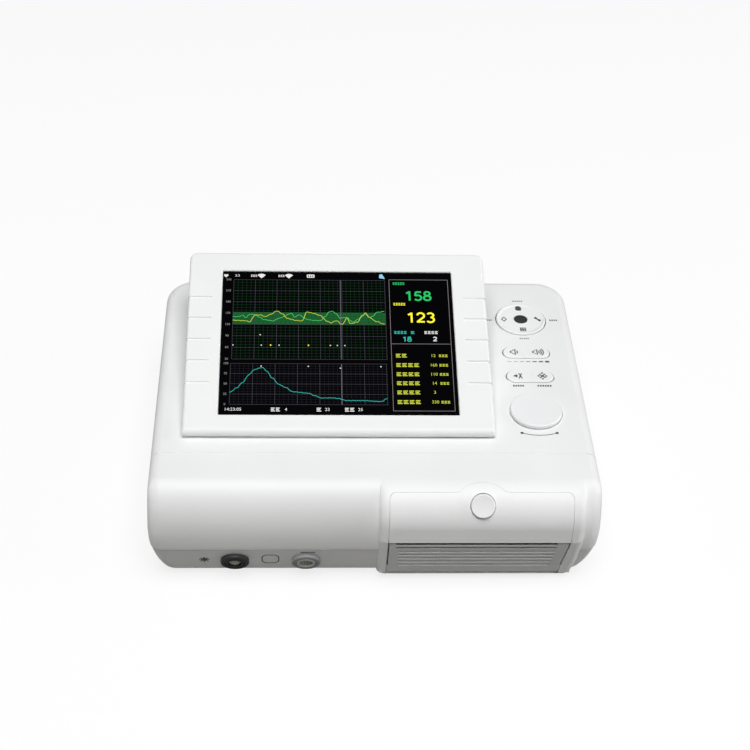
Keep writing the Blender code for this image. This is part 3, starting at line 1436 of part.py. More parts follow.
def build_keys(shop):
    """The key board, the four-way pad with its middle key, two rockers and the turning knob."""
    left, right, front, back = key_board_span()
    board = shop.block(
        "key_board", (left, front, KEY_BOARD_TOP - BOARD_THICKNESS), (right, back, KEY_BOARD_TOP), "board"
    )
    sunk = KEY_BOARD_TOP - BOARD_THICKNESS / 2

    nav_y = column_y(NAV_PLACE_SHARE)
    pad_low = DECK_HEIGHT + NAV_PROUD - NAV_THICKNESS
    gimbal_top = pad_low - ROCK_GAP
    gimbal_low = gimbal_top - GIMBAL_THICKNESS
    ring_middle = (GIMBAL_OUTER_RADIUS + GIMBAL_INNER_RADIUS) / 2
    for side in (-1, 1):
        x = COLUMN_X + side * ring_middle
        start, end = (x, nav_y, sunk), (x, nav_y, gimbal_low - ROCK_GAP)
        post = shop.rod("gimbal_post", PIVOT_POST_RADIUS, start, end, sides=SMALL_SIDES)
        shop.join(board, post)
    tilt_axis = shop.pivot("nav_tilt_axis", (COLUMN_X, nav_y, (gimbal_low + gimbal_top) / 2))
    half = GIMBAL_THICKNESS / 2
    gimbal_profile = [
        (GIMBAL_INNER_RADIUS, half),
        (GIMBAL_OUTER_RADIUS, half),
        (GIMBAL_OUTER_RADIUS, -half),
        (GIMBAL_INNER_RADIUS, -half),
    ]
    shop.turned("nav_gimbal", gimbal_profile, Matrix.Identity(4), "dark", tilt_axis, ROUND_SIDES)
    pad_axis = shop.pivot("nav_pad_axis", (0, 0, 0), tilt_axis)
    low = half + ROCK_GAP
    high = low + NAV_THICKNESS
    pad_profile = [
        (OK_RADIUS + KEY_GAP, high - NAV_DISH),
        ((OK_RADIUS + NAV_RADIUS) / 2, high - NAV_DISH),
        (NAV_RADIUS - 2 * NAV_EDGE, high),
        (NAV_RADIUS - NAV_EDGE / 3, high - NAV_EDGE / 3),
        (NAV_RADIUS, high - NAV_EDGE),
        (NAV_RADIUS, low),
        (OK_RADIUS + KEY_GAP, low),
    ]
    shop.turned("nav_pad", pad_profile, Matrix.Identity(4), "key", pad_axis)
    ok_top = high - NAV_DISH + OK_PROUD
    ok_profile = [
        (0, ok_top),
        (OK_RADIUS - OK_EDGE, ok_top - OK_EDGE / 3),
        (OK_RADIUS, ok_top - OK_EDGE),
        (OK_RADIUS, ok_top - OK_LENGTH),
        (0, ok_top - OK_LENGTH),
    ]
    shop.turned("ok_key", ok_profile, Matrix.Identity(4), "dark", pad_axis, ROUND_SIDES)

    for name, share in (("volume", VOLUME_PLACE_SHARE), ("event", EVENT_PLACE_SHARE)):
        y = column_y(share)
        low = DECK_HEIGHT + ROCKER_PROUD - ROCKER_THICKNESS
        post = shop.block(
            name + "_post",
            (COLUMN_X - ROCKER_POST_LENGTH / 2, y - ROCKER_POST_WIDTH / 2, sunk),
            (COLUMN_X + ROCKER_POST_LENGTH / 2, y + ROCKER_POST_WIDTH / 2, low - KEY_GAP),
        )
        shop.join(board, post)
        axis = shop.pivot(name + "_axis", (COLUMN_X, y, low))
        outline = capsule(0, 0, ROCKER_LENGTH, ROCKER_WIDTH)
        cap = shop.plate(name + "_rocker", outline, 0, ROCKER_THICKNESS, "Z", "key", axis)
        bevel(cap, ROCKER_EDGE, 2, math.radians(60))

    knob_y = column_y(KNOB_PLACE_SHARE)
    well = DECK_HEIGHT - KNOB_WELL_DEPTH
    half_body = ENCODER_BODY / 2
    body_low = KEY_BOARD_TOP + GAP
    encoder = shop.block(
        "encoder_body",
        (COLUMN_X - half_body, knob_y - half_body, body_low),
        (COLUMN_X + half_body, knob_y + half_body, body_low + ENCODER_HEIGHT),
        "dark",
    )
    collar_low = well + KNOB_STANDOFF - GAP - COLLAR_LENGTH
    guide = shop.rod(
        "encoder_guide",
        COLLAR_RADIUS + GAP,
        (COLUMN_X, knob_y, collar_low - KNOB_STANDOFF),
        (COLUMN_X, knob_y, DECK_HEIGHT),
    )
    shop.cut(encoder, guide)
    press_axis = shop.pivot("knob_press_axis", (COLUMN_X, knob_y, collar_low))
    bore = ENCODER_SHAFT_RADIUS + GAP
    collar_profile = [
        (bore, COLLAR_LENGTH),
        (COLLAR_RADIUS, COLLAR_LENGTH),
        (COLLAR_RADIUS, 0),
        (bore, 0),
    ]
    shop.turned("encoder_collar", collar_profile, Matrix.Identity(4), "steel", press_axis, ROUND_SIDES)
    knob_axis = shop.pivot("knob_axis", (0, 0, COLLAR_LENGTH + GAP), press_axis)
    top = KNOB_WELL_DEPTH - KNOB_STANDOFF + KNOB_PROUD
    knob_profile = [
        (0, top),
        (KNOB_RADIUS - 2 * KNOB_EDGE, top),
        (KNOB_RADIUS - KNOB_EDGE / 2, top - KNOB_EDGE / 4),
        (KNOB_RADIUS, top - KNOB_EDGE),
        (KNOB_RADIUS, 0),
        (bore, 0),
        (bore, KNOB_BORE_DEPTH),
        (0, KNOB_BORE_DEPTH),
    ]
    shop.turned("control_knob", knob_profile, Matrix.Identity(4), "key", knob_axis)
    shop.rod(
        "encoder_shaft",
        ENCODER_SHAFT_RADIUS,
        (0, 0, -COLLAR_LENGTH),
        (0, 0, KNOB_BORE_DEPTH - GAP),
        "steel",
        knob_axis,
        SMALL_SIDES,
    )


# Printer door and what rides on it

def platen_axis():
    """The roller's axis, behind the paper slot."""
    return Vector((0, FRONT_Y + PLATEN_SETBACK, DECK_HEIGHT - PLATEN_DROP))


def build_door(shop):
    """The door: curved cover, ribbed front with its barrel, inner frame, pins and latch button."""
    axis = door_axis()
    hinge = shop.pivot("door_axis", axis)
    home = Matrix.Translation(-axis)

    cover = bulge_solid(shop, "door_cover_form")
    cover.name = "door_cover"
    make_part(shop, cover, "door")
    cover.parent = hinge
    cover.matrix_local = home
    above = shop.plate("door_cover_bounds", door_outline(0), SLOT_TOP, DECK_HEIGHT + OVERRUN)
    inner = bulge_solid(shop, "door_hollow", DOOR_WALL)
    shop.keep(cover, above)
    shop.cut(cover, inner)

    place, out = latch_place()
    reach = out * 2 * OVERRUN
    hole = shop.rod("latch_hole", LATCH_RADIUS + GAP, place - reach, place + reach, sides=FINE_SIDES)
    shop.cut(cover, hole)

    front = bulge_solid(shop, "door_front_form")
    front.name = "door_front"
    make_part(shop, front, "door")
    front.parent = hinge
    front.matrix_local = home
    below = shop.block(
        "door_front_bounds",
        (DOOR_LEFT, FRONT_Y - OVERRUN, DOOR_AXIS_HEIGHT),
        (DOOR_RIGHT, BULGE_BACK, SLOT_TOP - KEY_GAP),
    )
    shop.keep(front, below)
    shop.cut(front, inner)
    barrel = shop.rod(
        "door_barrel",
        DOOR_BARREL_RADIUS,
        (DOOR_LEFT + GAP, axis.y, axis.z),
        (DOOR_RIGHT - GAP, axis.y, axis.z),
        sides=SMALL_SIDES + SMALL_SIDES // 2,
    )
    shop.join(front, barrel)
    slot = shop.block(
        "paper_slot",
        (DOOR_LEFT + SLOT_LEFT_MARGIN, FRONT_Y - OVERRUN, SLOT_TOP - SLOT_HEIGHT),
        (DOOR_RIGHT - SLOT_RIGHT_MARGIN, BULGE_BACK, SLOT_TOP + OVERRUN),
    )
    shop.cut(front, slot)
    for i in range(RIB_COUNT):
        height = SLOT_TOP - RIB_FIRST_DROP - i * RIB_PITCH
        face = bulge_front(height)
        groove = shop.block(
            "rib_groove",
            (DOOR_LEFT + RIB_LEFT_MARGIN, face - OVERRUN, height - RIB_GROOVE_WIDTH / 2),
            (DOOR_RIGHT - RIB_RIGHT_MARGIN, face + RIB_GROOVE_DEPTH, height + RIB_GROOVE_WIDTH / 2),
        )
        shop.cut(front, groove)

    for side, edge, way in (("left", DOOR_LEFT, 1), ("right", DOOR_RIGHT, -1)):
        outer = edge - way * (DOOR_BOSS_LENGTH - GAP)
        inner_end = outer + way * DOOR_PIN_LENGTH
        bore = shop.rod(
            "barrel_bore_" + side,
            DOOR_PIN_RADIUS + GAP,
            (edge - way * OVERRUN, axis.y, axis.z),
            (inner_end + way * GAP, axis.y, axis.z),
            sides=SMALL_SIDES,
        )
        shop.cut(front, bore)
        shop.rod(
            "door_pin_" + side,
            DOOR_PIN_RADIUS,
            Vector((outer, 0, 0)),
            Vector((inner_end, 0, 0)),
            "steel",
            hinge,
            SMALL_SIDES,
        )

    build_door_frame(shop, hinge, home)
    button_axis = shop.pivot("latch_axis", place - axis, hinge)
    button = shop.rod(
        "latch_button",
        LATCH_RADIUS,
        out * (LATCH_PROUD - LATCH_LENGTH),
        out * LATCH_PROUD,
        "door",
        button_axis,
        FINE_SIDES,
    )
    bevel(button, LATCH_EDGE, 2)
    return hinge


def build_door_frame(shop, hinge, home):
    """Two stiles behind the door's shells, joined by a rail, which carry the roller and the latch seat."""
    low = DOOR_AXIS_HEIGHT + DOOR_BARREL_RADIUS + GAP
    high = DECK_HEIGHT - STILE_TOP_DROP
    back = FRONT_Y + STILE_BACK
    heights = spread(low, high, STILE_STEPS)
    skin = DOOR_WALL / math.cos(DOOR_LEAN) + GAP + KEY_GAP
    faces = [(bulge_front(height) + skin, height) for height in heights]
    outline = faces + [(back, high), (back, low)]
    left, right, _, _ = chassis_span()
    inner_left = left + CHASSIS_WALL + CHASSIS_SIDE_PLAY / 2
    inner_right = right - CHASSIS_WALL - CHASSIS_SIDE_PLAY / 2
    frame = shop.plate(
        "door_frame", outline, inner_left - STILE_THICKNESS, inner_left, "X", "grey", hinge, (0, 0, 0)
    )
    frame.matrix_local = home
    right_stile = shop.plate("right_stile", outline, inner_right, inner_right + STILE_THICKNESS, "X")
    rail_top = high - RAIL_TOP_DROP
    rail = shop.block(
        "door_rail",
        (inner_left - STILE_THICKNESS / 2, back - RAIL_DEPTH, rail_top - RAIL_HEIGHT),
        (inner_right + STILE_THICKNESS / 2, back - GAP, rail_top),
    )
    place, out = latch_place()
    reach = LATCH_LENGTH - LATCH_PROUD + LATCH_TRAVEL + KEY_GAP
    seat_low = place - out * (reach + LATCH_SEAT_LENGTH)
    seat = shop.rod("latch_seat", LATCH_SEAT_RADIUS, seat_low, place - out * reach)
    web = shop.block(
        "latch_web",
        (LATCH_X - LATCH_SEAT_RADIUS / 2, back - RAIL_DEPTH, rail_top - RAIL_HEIGHT / 2),
        (LATCH_X + LATCH_SEAT_RADIUS / 2, back - GAP, seat_low.z + LATCH_SEAT_RADIUS / 2),
    )
    roller = platen_axis()
    bore = shop.rod(
        "platen_bore",
        PLATEN_SHAFT_RADIUS + GAP,
        (inner_left - STILE_THICKNESS - OVERRUN, roller.y, roller.z),
        (inner_right + STILE_THICKNESS + OVERRUN, roller.y, roller.z),
        sides=SMALL_SIDES,
    )
    shop.join(frame, right_stile, rail, web, seat)
    shop.cut(frame, bore)


# Printer gears, roller, paper and chassis

def gear_outline(teeth, start):
    """An involute gear's outline about the origin, with one tooth centred on the start angle."""
    pitch = GEAR_MODULE * teeth / 2
    base = pitch * math.cos(PRESSURE_ANGLE)
    tip = pitch + ADDENDUM_SHARE * GEAR_MODULE
    root = pitch - DEDENDUM_SHARE * GEAR_MODULE
    pitch_roll = math.tan(PRESSURE_ANGLE) - PRESSURE_ANGLE
    half_tooth = math.pi / (2 * teeth) * GEAR_BACKLASH_SHARE
    low = max(base, root)
    flank = [(root, half_tooth + pitch_roll)] if base > root else []
    for i in range(FLANK_POINTS + 1):
        radius = low + (tip - low) * i / FLANK_POINTS
        turn = math.acos(min(1, base / radius))
        flank.append((radius, half_tooth + pitch_roll - (math.tan(turn) - turn)))
    points = []
    for tooth in range(teeth):
        middle = start + 2 * math.pi * tooth / teeth
        points += [(radius, middle - angle) for radius, angle in flank]
        points += [(radius, middle + angle) for radius, angle in reversed(flank)]
    return [(radius * math.cos(angle), radius * math.sin(angle)) for radius, angle in points]


def meshing_start(teeth, partner_teeth, partner_start, direction):
    """The start angle at which a gear's teeth fall between its partner's, seen along the direction."""
    step = 2 * math.pi
    phase = ((direction - partner_start) * partner_teeth / step) % 1
    return direction + math.pi - (0.5 - phase) * step / teeth


def gear_distance(first, second):
    """The distance between two meshed gears' axes."""
    return GEAR_MODULE * (first + second) / 2 + MESH_CLEARANCE


def gear_train():
    """Each gear's place in y and z, its tooth count and its start angle."""
    roller = platen_axis()
    arm = roller - door_axis()
    away = math.atan2(-arm.y, arm.z)
    idler = Vector((0, roller.y, roller.z)) + gear_distance(PLATEN_TEETH, IDLER_TEETH) * Vector(
        (0, math.cos(away), math.sin(away))
    )
    pinion = idler + gear_distance(IDLER_TEETH, PINION_TEETH) * Vector(
        (0, math.cos(PINION_DIRECTION), math.sin(PINION_DIRECTION))
    )
    idler_start = meshing_start(IDLER_TEETH, PLATEN_TEETH, 0, away)
    pinion_start = meshing_start(PINION_TEETH, IDLER_TEETH, idler_start, PINION_DIRECTION)
    return {
        "platen": (roller, PLATEN_TEETH, 0),
        "idler": (idler, IDLER_TEETH, idler_start),
        "pinion": (pinion, PINION_TEETH, pinion_start),
    }


def gear_layer():
    """The slice across the case that the gears turn in."""
    _, right, _, _ = chassis_span()
    low = right + GEAR_PLAY
    return low, low + GEAR_WIDTH


def build_printer(shop, hinge):
    """The roller on the door, and the chassis, paper, print head, gears and motor in the case."""
    left, right, front, back = chassis_span()
    low = CHASSIS_FLOOR_HEIGHT
    chassis = shop.block("printer_chassis", (left, front, low), (right, back, low + CHASSIS_HEIGHT), "grey")
    hollow = shop.block(
        "chassis_hollow",
        (left + CHASSIS_WALL, front - OVERRUN, low + CHASSIS_FLOOR),
        (right - CHASSIS_WALL, back - CHASSIS_WALL, low + CHASSIS_HEIGHT + OVERRUN),
    )
    shop.cut(chassis, hollow)
    train = gear_train()
    gear_low, gear_high = gear_layer()
    idler, idler_teeth, idler_start = train["idler"]
    axle = shop.rod(
        "idler_axle",
        IDLER_AXLE_RADIUS,
        (right - CHASSIS_WALL / 2, idler.y, idler.z),
        (gear_high, idler.y, idler.z),
        sides=SMALL_SIDES,
    )
    shop.join(chassis, axle)

    paper_low = low + CHASSIS_FLOOR + GAP
    play = CHASSIS_WALL + CHASSIS_SIDE_PLAY
    pack = shop.block(
        "paper_pack",
        (left + play, back - CHASSIS_WALL - GAP - PAPER_LENGTH, paper_low),
        (right - play, back - CHASSIS_WALL - GAP, paper_low + PAPER_STACK),
        "paper",
    )
    bevel(pack, PAPER_CORNER_RADIUS, 1)

    roller, platen_teeth, platen_start = train["platen"]
    head_front = roller.y + PLATEN_RADIUS + GAP
    shop.block(
        "print_head",
        (left + CHASSIS_WALL + GAP, head_front, roller.z - HEAD_HEIGHT / 2),
        (right - CHASSIS_WALL - GAP, head_front + HEAD_DEPTH, roller.z + HEAD_HEIGHT / 2),
        "steel",
    )

    spin = shop.pivot("platen_axis", roller - door_axis(), hinge)
    inner_left = left + CHASSIS_WALL + CHASSIS_SIDE_PLAY / 2
    inner_right = right - CHASSIS_WALL - CHASSIS_SIDE_PLAY / 2
    rubber = shop.rod(
        "platen_roller",
        PLATEN_RADIUS,
        (inner_left + PLATEN_END_PLAY, 0, 0),
        (inner_right - PLATEN_END_PLAY, 0, 0),
        "rubber",
        spin,
    )
    shaft_start = inner_left - STILE_THICKNESS
    shop.cut(
        rubber,
        shop.rod(
            "platen_core",
            PLATEN_SHAFT_RADIUS + GAP,
            (shaft_start, 0, 0),
            (gear_high + OVERRUN, 0, 0),
            parent=spin,
            sides=SMALL_SIDES,
        ),
    )
    start, end = (shaft_start, 0, 0), (gear_high, 0, 0)
    shop.rod("platen_shaft", PLATEN_SHAFT_RADIUS, start, end, "steel", spin, SMALL_SIDES)
    build_gear(shop, "platen_gear", platen_teeth, platen_start, spin, PLATEN_SHAFT_RADIUS + GAP)

    idler_spin = shop.pivot("idler_axis", idler)
    build_gear(shop, "idler_gear", idler_teeth, idler_start, idler_spin, IDLER_AXLE_RADIUS + GAP)

    pinion, pinion_teeth, pinion_start = train["pinion"]
    plate_low = gear_high + GEAR_PLAY
    motor_low = plate_low + BRACKET_PLATE + GAP
    motor_spin = shop.pivot("motor_axis", pinion)
    gear = build_gear(shop, "motor_pinion", pinion_teeth, pinion_start, motor_spin, 0)
    shaft = shop.rod(
        "pinion_shaft",
        PINION_SHAFT_RADIUS,
        ((gear_low + gear_high) / 2, 0, 0),
        (motor_low + MOTOR_LENGTH / 2, 0, 0),
        parent=motor_spin,
        sides=SMALL_SIDES,
    )
    shop.join(gear, shaft)
    floor = FLOOR_TOP + GAP
    step = pinion.y + BRACKET_STEP
    foot_back = step + BRACKET_FOOT
    outline = [
        (step, floor),
        (foot_back, floor),
        (foot_back, pinion.z + BRACKET_REACH),
        (pinion.y - BRACKET_REACH, pinion.z + BRACKET_REACH),
        (pinion.y - BRACKET_REACH, pinion.z - BRACKET_REACH),
        (step, pinion.z - BRACKET_REACH),
    ]
    bracket = shop.plate("motor_bracket", outline, plate_low, plate_low + BRACKET_PLATE, "X", "steel")
    shop.cut(
        bracket,
        shop.rod(
            "pinion_hole",
            MOTOR_FACE_RADIUS + GAP,
            (plate_low - OVERRUN, pinion.y, pinion.z),
            (plate_low + OVERRUN, pinion.y, pinion.z),
            sides=ROUND_SIDES,
        ),
    )
    motor = shop.rod(
        "feed_motor",
        MOTOR_RADIUS,
        (motor_low, pinion.y, pinion.z),
        (motor_low + MOTOR_LENGTH, pinion.y, pinion.z),
        "steel",
    )
    face = shop.rod(
        "motor_face",
        MOTOR_FACE_RADIUS,
        (motor_low - MOTOR_FACE_LENGTH, pinion.y, pinion.z),
        (motor_low + MOTOR_FACE_LENGTH, pinion.y, pinion.z),
        sides=ROUND_SIDES,
    )
    shop.join(motor, face)
    shop.cut(
        motor,
        shop.rod(
            "motor_bore",
            PINION_SHAFT_RADIUS + GAP,
            (motor_low - OVERRUN, pinion.y, pinion.z),
            (motor_low + MOTOR_LENGTH / 2 + GAP, pinion.y, pinion.z),
            sides=SMALL_SIDES,
        ),
    )


def build_gear(shop, name, teeth, start, spin, bore):
    """A gear in the gear layer, about its spin axis, with a bore where it has one."""
    low, high = gear_layer()
    gear = shop.plate(name, gear_outline(teeth, start), low, high, "X", "gear", spin)
    if bore:
        start, end = (low - OVERRUN, 0, 0), (high + OVERRUN, 0, 0)
        hole = shop.rod(name + "_bore", bore, start, end, parent=spin, sides=SMALL_SIDES)
        shop.cut(gear, hole)
    return gear


def build():
    """Builds every piece in its place."""
    clear_scene()
    shop = Shop("cardiotocograph")
    build_base_housing(shop)
    build_front_cover(shop)
    build_top_cover(shop)
    build_feet(shop)
    build_battery(shop)
    build_boards(shop)
    build_sockets(shop)
    build_rear(shop)
    build_screen(shop, shop.pivot("screen_tilt_axis", SCREEN_AXIS, turn=SCREEN_TILT))
    build_hinge_brackets(shop)
    build_keys(shop)
    hinge = build_door(shop)
    build_printer(shop, hinge)
    bpy.context.view_layer.update()


build()
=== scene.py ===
"""Dresses a cardiotocograph: a white desktop monitor with a tilting screen, a column of keys and a
strip printer behind a ribbed door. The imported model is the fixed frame, and each sub-assembly is a
class that models its visible pieces and gives them their finishes. Lengths are in metres."""

import logging
import math
from collections.abc import Callable, Sequence
from dataclasses import dataclass, field
from enum import Enum

import bmesh
import bpy
from mathutils import Matrix, Vector


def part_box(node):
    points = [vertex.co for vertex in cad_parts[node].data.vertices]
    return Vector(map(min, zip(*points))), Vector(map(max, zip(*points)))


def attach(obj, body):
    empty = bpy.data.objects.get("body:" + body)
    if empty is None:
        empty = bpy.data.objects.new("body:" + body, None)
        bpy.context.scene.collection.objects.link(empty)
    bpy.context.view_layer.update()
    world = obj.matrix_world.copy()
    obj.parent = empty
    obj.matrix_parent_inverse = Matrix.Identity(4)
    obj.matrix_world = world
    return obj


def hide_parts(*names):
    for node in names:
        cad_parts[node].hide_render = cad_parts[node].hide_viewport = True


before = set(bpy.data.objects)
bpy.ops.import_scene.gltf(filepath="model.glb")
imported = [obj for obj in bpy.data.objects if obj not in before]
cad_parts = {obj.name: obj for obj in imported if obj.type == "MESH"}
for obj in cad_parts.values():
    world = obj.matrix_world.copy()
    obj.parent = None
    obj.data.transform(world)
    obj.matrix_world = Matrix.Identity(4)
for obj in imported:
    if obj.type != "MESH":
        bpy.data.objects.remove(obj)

log = logging.getLogger("cardiotocograph")

Point = tuple[float, float, float]
Flat = tuple[float, float]
Colour = tuple[float, float, float]

FULL_TURN = 2 * math.pi
QUARTER_TURN = math.pi / 2
OVERRUN = 0.004
GAP = 0.0003


# Node groups and finishes

class Effect(Enum):
    """The surface effects that several finishes share, each a node group."""

    GRAIN = "moulded_grain"
    TONE = "broad_tone"
    WEAR = "edge_wear"
    BRUSH = "brushed_lines"


def new_group(effect: Effect, inputs: dict[str, float], outputs: Sequence[str]) -> bpy.types.NodeTree:
    """Starts a node group with number inputs and number outputs.

    Args:
        effect: The effect whose name the group takes.
        inputs: Each input's name and default.
        outputs: The outputs' names.

    Returns:
        The node group, with its input and output nodes.
    """
    group = bpy.data.node_groups.new(effect.value, "ShaderNodeTree")
    for name, value in inputs.items():
        socket = group.interface.new_socket(name, in_out="INPUT", socket_type="NodeSocketFloat")
        socket.default_value = value
    for name in outputs:
        group.interface.new_socket(name, in_out="OUTPUT", socket_type="NodeSocketFloat")
    group.nodes.new("NodeGroupInput").name = "in"
    group.nodes.new("NodeGroupOutput").name = "out"
    return group


def add_node(tree: bpy.types.NodeTree, kind: str, **values: object) -> bpy.types.Node:
    """Adds a node and sets its properties or, where it has none of that name, its inputs.

    Args:
        tree: The tree that gets the node.
        kind: The node's Blender type.
        **values: Properties and inputs. An underscore in an input's name stands for a space.

    Returns:
        The new node.
    """
    node = tree.nodes.new(kind)
    for name, value in values.items():
        if hasattr(node, name):
            setattr(node, name, value)
        else:
            node.inputs[name.replace("_", " ")].default_value = value
    return node


def build_grain() -> bpy.types.NodeTree:
    """Fine moulded grain: a height for bump, and flecks that change the roughness.

    Returns:
        The node group.
    """
    group = new_group(Effect.GRAIN, {"Scale": 1800.0}, ("Height", "Fleck"))
    link, nodes = group.links.new, group.nodes
    place = add_node(group, "ShaderNodeTexCoord")
    fine = add_node(group, "ShaderNodeTexNoise", Detail=3.0, Roughness=0.62)
    cells = add_node(group, "ShaderNodeTexVoronoi", feature="SMOOTH_F1")
    blend = add_node(group, "ShaderNodeMix", data_type="FLOAT")
    blend.inputs[0].default_value = 0.4
    for texture in (fine, cells):
        link(place.outputs["Object"], texture.inputs["Vector"])
        link(nodes["in"].outputs["Scale"], texture.inputs["Scale"])
    link(fine.outputs["Fac"], blend.inputs[2])
    link(cells.outputs["Distance"], blend.inputs[3])
    link(blend.outputs[0], nodes["out"].inputs["Height"])
    link(fine.outputs["Fac"], nodes["out"].inputs["Fleck"])
    return group


def build_tone() -> bpy.types.NodeTree:
    """Broad, faint changes of tone, as in a large moulding or a handled surface.

    Returns:
        The node group.
    """
    group = new_group(Effect.TONE, {"Scale": 16.0}, ("Tone",))
    link, nodes = group.links.new, group.nodes
    place = add_node(group, "ShaderNodeTexCoord")
    cloud = add_node(group, "ShaderNodeTexNoise", Detail=2.0, Roughness=0.5)
    limits = add_node(group, "ShaderNodeMapRange", From_Min=0.3, From_Max=0.7)
    link(place.outputs["Object"], cloud.inputs["Vector"])
    link(nodes["in"].outputs["Scale"], cloud.inputs["Scale"])
    link(cloud.outputs["Fac"], limits.inputs["Value"])
    link(limits.outputs["Result"], nodes["out"].inputs["Tone"])
    return group


def build_wear() -> bpy.types.NodeTree:
    """Wear on raised edges, broken up by noise.

    Returns:
        The node group.
    """
    group = new_group(Effect.WEAR, {"Scale": 260.0, "Amount": 1.0}, ("Mask",))
    link, nodes = group.links.new, group.nodes
    place = add_node(group, "ShaderNodeTexCoord")
    shape = add_node(group, "ShaderNodeNewGeometry")
    edges = add_node(group, "ShaderNodeMapRange", From_Min=0.52, From_Max=0.62)
    noise = add_node(group, "ShaderNodeTexNoise", Detail=2.0)
    broken = add_node(group, "ShaderNodeMath", operation="MULTIPLY")
    scaled = add_node(group, "ShaderNodeMath", operation="MULTIPLY")
    link(shape.outputs["Pointiness"], edges.inputs["Value"])
    link(place.outputs["Object"], noise.inputs["Vector"])
    link(nodes["in"].outputs["Scale"], noise.inputs["Scale"])
    link(edges.outputs["Result"], broken.inputs[0])
    link(noise.outputs["Fac"], broken.inputs[1])
    link(broken.outputs[0], scaled.inputs[0])
    link(nodes["in"].outputs["Amount"], scaled.inputs[1])
    link(scaled.outputs[0], nodes["out"].inputs["Mask"])
    return group


def build_brush() -> bpy.types.NodeTree:
    """Fine lines along X, as on rolled, ground or turned metal and on stacked paper.

    Returns:
        The node group.
    """
    group = new_group(Effect.BRUSH, {"Scale": 1500.0}, ("Lines",))
    link, nodes = group.links.new, group.nodes
    place = add_node(group, "ShaderNodeTexCoord")
    stretch = add_node(group, "ShaderNodeMapping")
    stretch.inputs["Scale"].default_value = (0.012, 1.0, 1.0)
    noise = add_node(group, "ShaderNodeTexNoise", Detail=2.0, Roughness=0.7)
    link(place.outputs["Object"], stretch.inputs["Vector"])
    link(stretch.outputs["Vector"], noise.inputs["Vector"])
    link(nodes["in"].outputs["Scale"], noise.inputs["Scale"])
    link(noise.outputs["Fac"], nodes["out"].inputs["Lines"])
    return group


EFFECTS: dict[Effect, bpy.types.NodeTree] = {
    Effect.GRAIN: build_grain(),
    Effect.TONE: build_tone(),
    Effect.WEAR: build_wear(),
    Effect.BRUSH: build_brush(),
}


def shade(colour: Colour, factor: float) -> Colour:
    """Returns a colour made darker or lighter by a factor."""
    return tuple(min(1.0, channel * factor) for channel in colour)


class Recipe:
    """Puts one node material together round its Principled shader."""

    def __init__(self, name: str, roughness: float, metallic: float = 0.0, specular: float = 0.5) -> None:
        """Starts the material with its plain values.

        Args:
            name: The material's name.
            roughness: Its middle roughness.
            metallic: 1 for bare metal.
            specular: How strongly it reflects at its front.
        """
        self.material = bpy.data.materials.new(name)
        self.material.use_nodes = True
        self.tree = self.material.node_tree
        self.shader = self.tree.nodes["Principled BSDF"]
        self.set("Roughness", roughness)
        self.set("Metallic", metallic)
        self.set("Specular IOR Level", specular)

    def set(self, socket: str, value: object) -> None:
        """Sets a value on the shader's own socket."""
        self.shader.inputs[socket].default_value = value

    def effect(self, effect: Effect, **values: float) -> bpy.types.Node:
        """Places a shared effect with this material's own values.

        Args:
            effect: Which effect.
            **values: Its inputs.

        Returns:
            The group node.
        """
        node = self.tree.nodes.new("ShaderNodeGroup")
        node.node_tree = EFFECTS[effect]
        for name, value in values.items():
            node.inputs[name].default_value = value
        return node

    def mix(self, mask: bpy.types.NodeSocket, low: object, high: object) -> bpy.types.NodeSocket:
        """Mixes two colours, or a socket's colour and a colour, by a mask.

        Args:
            mask: The socket that gives the share of the second one.
            low: A colour, or a socket that gives one.
            high: A colour, or a socket that gives one.

        Returns:
            The mixed colour's socket.
        """
        node = add_node(self.tree, "ShaderNodeMix", data_type="RGBA")
        self.tree.links.new(mask, node.inputs[0])
        for socket, value in ((node.inputs[6], low), (node.inputs[7], high)):
            if isinstance(value, bpy.types.NodeSocket):
                self.tree.links.new(value, socket)
            else:
                socket.default_value = (*value, 1.0)
        return node.outputs[2]

    def spread(self, source: bpy.types.NodeSocket, low: float, high: float) -> bpy.types.NodeSocket:
        """Maps a share from 0 to 1 to a span of values.

        Args:
            source: The socket that gives the share.
            low: The value at 0.
            high: The value at 1.

        Returns:
            The socket with the value.
        """
        node = add_node(self.tree, "ShaderNodeMapRange", To_Min=low, To_Max=high)
        self.tree.links.new(source, node.inputs["Value"])
        return node.outputs["Result"]

    def feed(self, source: bpy.types.NodeSocket, socket: str) -> None:
        """Links a socket to one of the shader's inputs."""
        self.tree.links.new(source, self.shader.inputs[socket])

    def bump(self, height: bpy.types.NodeSocket, strength: float, distance: float) -> None:
        """Gives the surface its relief.

        Args:
            height: The socket with the height.
            strength: The share of the full effect.
            distance: The relief's depth in metres.
        """
        node = add_node(self.tree, "ShaderNodeBump", Strength=strength, Distance=distance)
        self.tree.links.new(height, node.inputs["Height"])
        self.feed(node.outputs["Normal"], "Normal")


@dataclass(frozen=True)
class Plastic:
    """A moulded plastic or rubber with grain, faint tone and brighter worn edges."""

    name: str
    colour: Colour
    roughness: float
    grain: float = 1800.0
    depth: float = 0.00003
    wear: float = 0.25
    tone: float = 0.965
    specular: float = 0.3
    slot: str | None = None

    def material(self) -> bpy.types.Material:
        """Returns the finish as a material."""
        recipe = Recipe(self.name, self.roughness, specular=self.specular)
        tone = recipe.effect(Effect.TONE)
        body = recipe.mix(tone.outputs["Tone"], shade(self.colour, self.tone), self.colour)
        wear = recipe.effect(Effect.WEAR, Amount=self.wear)
        recipe.feed(recipe.mix(wear.outputs["Mask"], body, shade(self.colour, 1.35)), "Base Color")
        grain = recipe.effect(Effect.GRAIN, Scale=self.grain)
        spread = recipe.spread(grain.outputs["Fleck"], self.roughness - 0.05, self.roughness + 0.07)
        recipe.feed(spread, "Roughness")
        recipe.bump(grain.outputs["Height"], 0.35, self.depth)
        return recipe.material


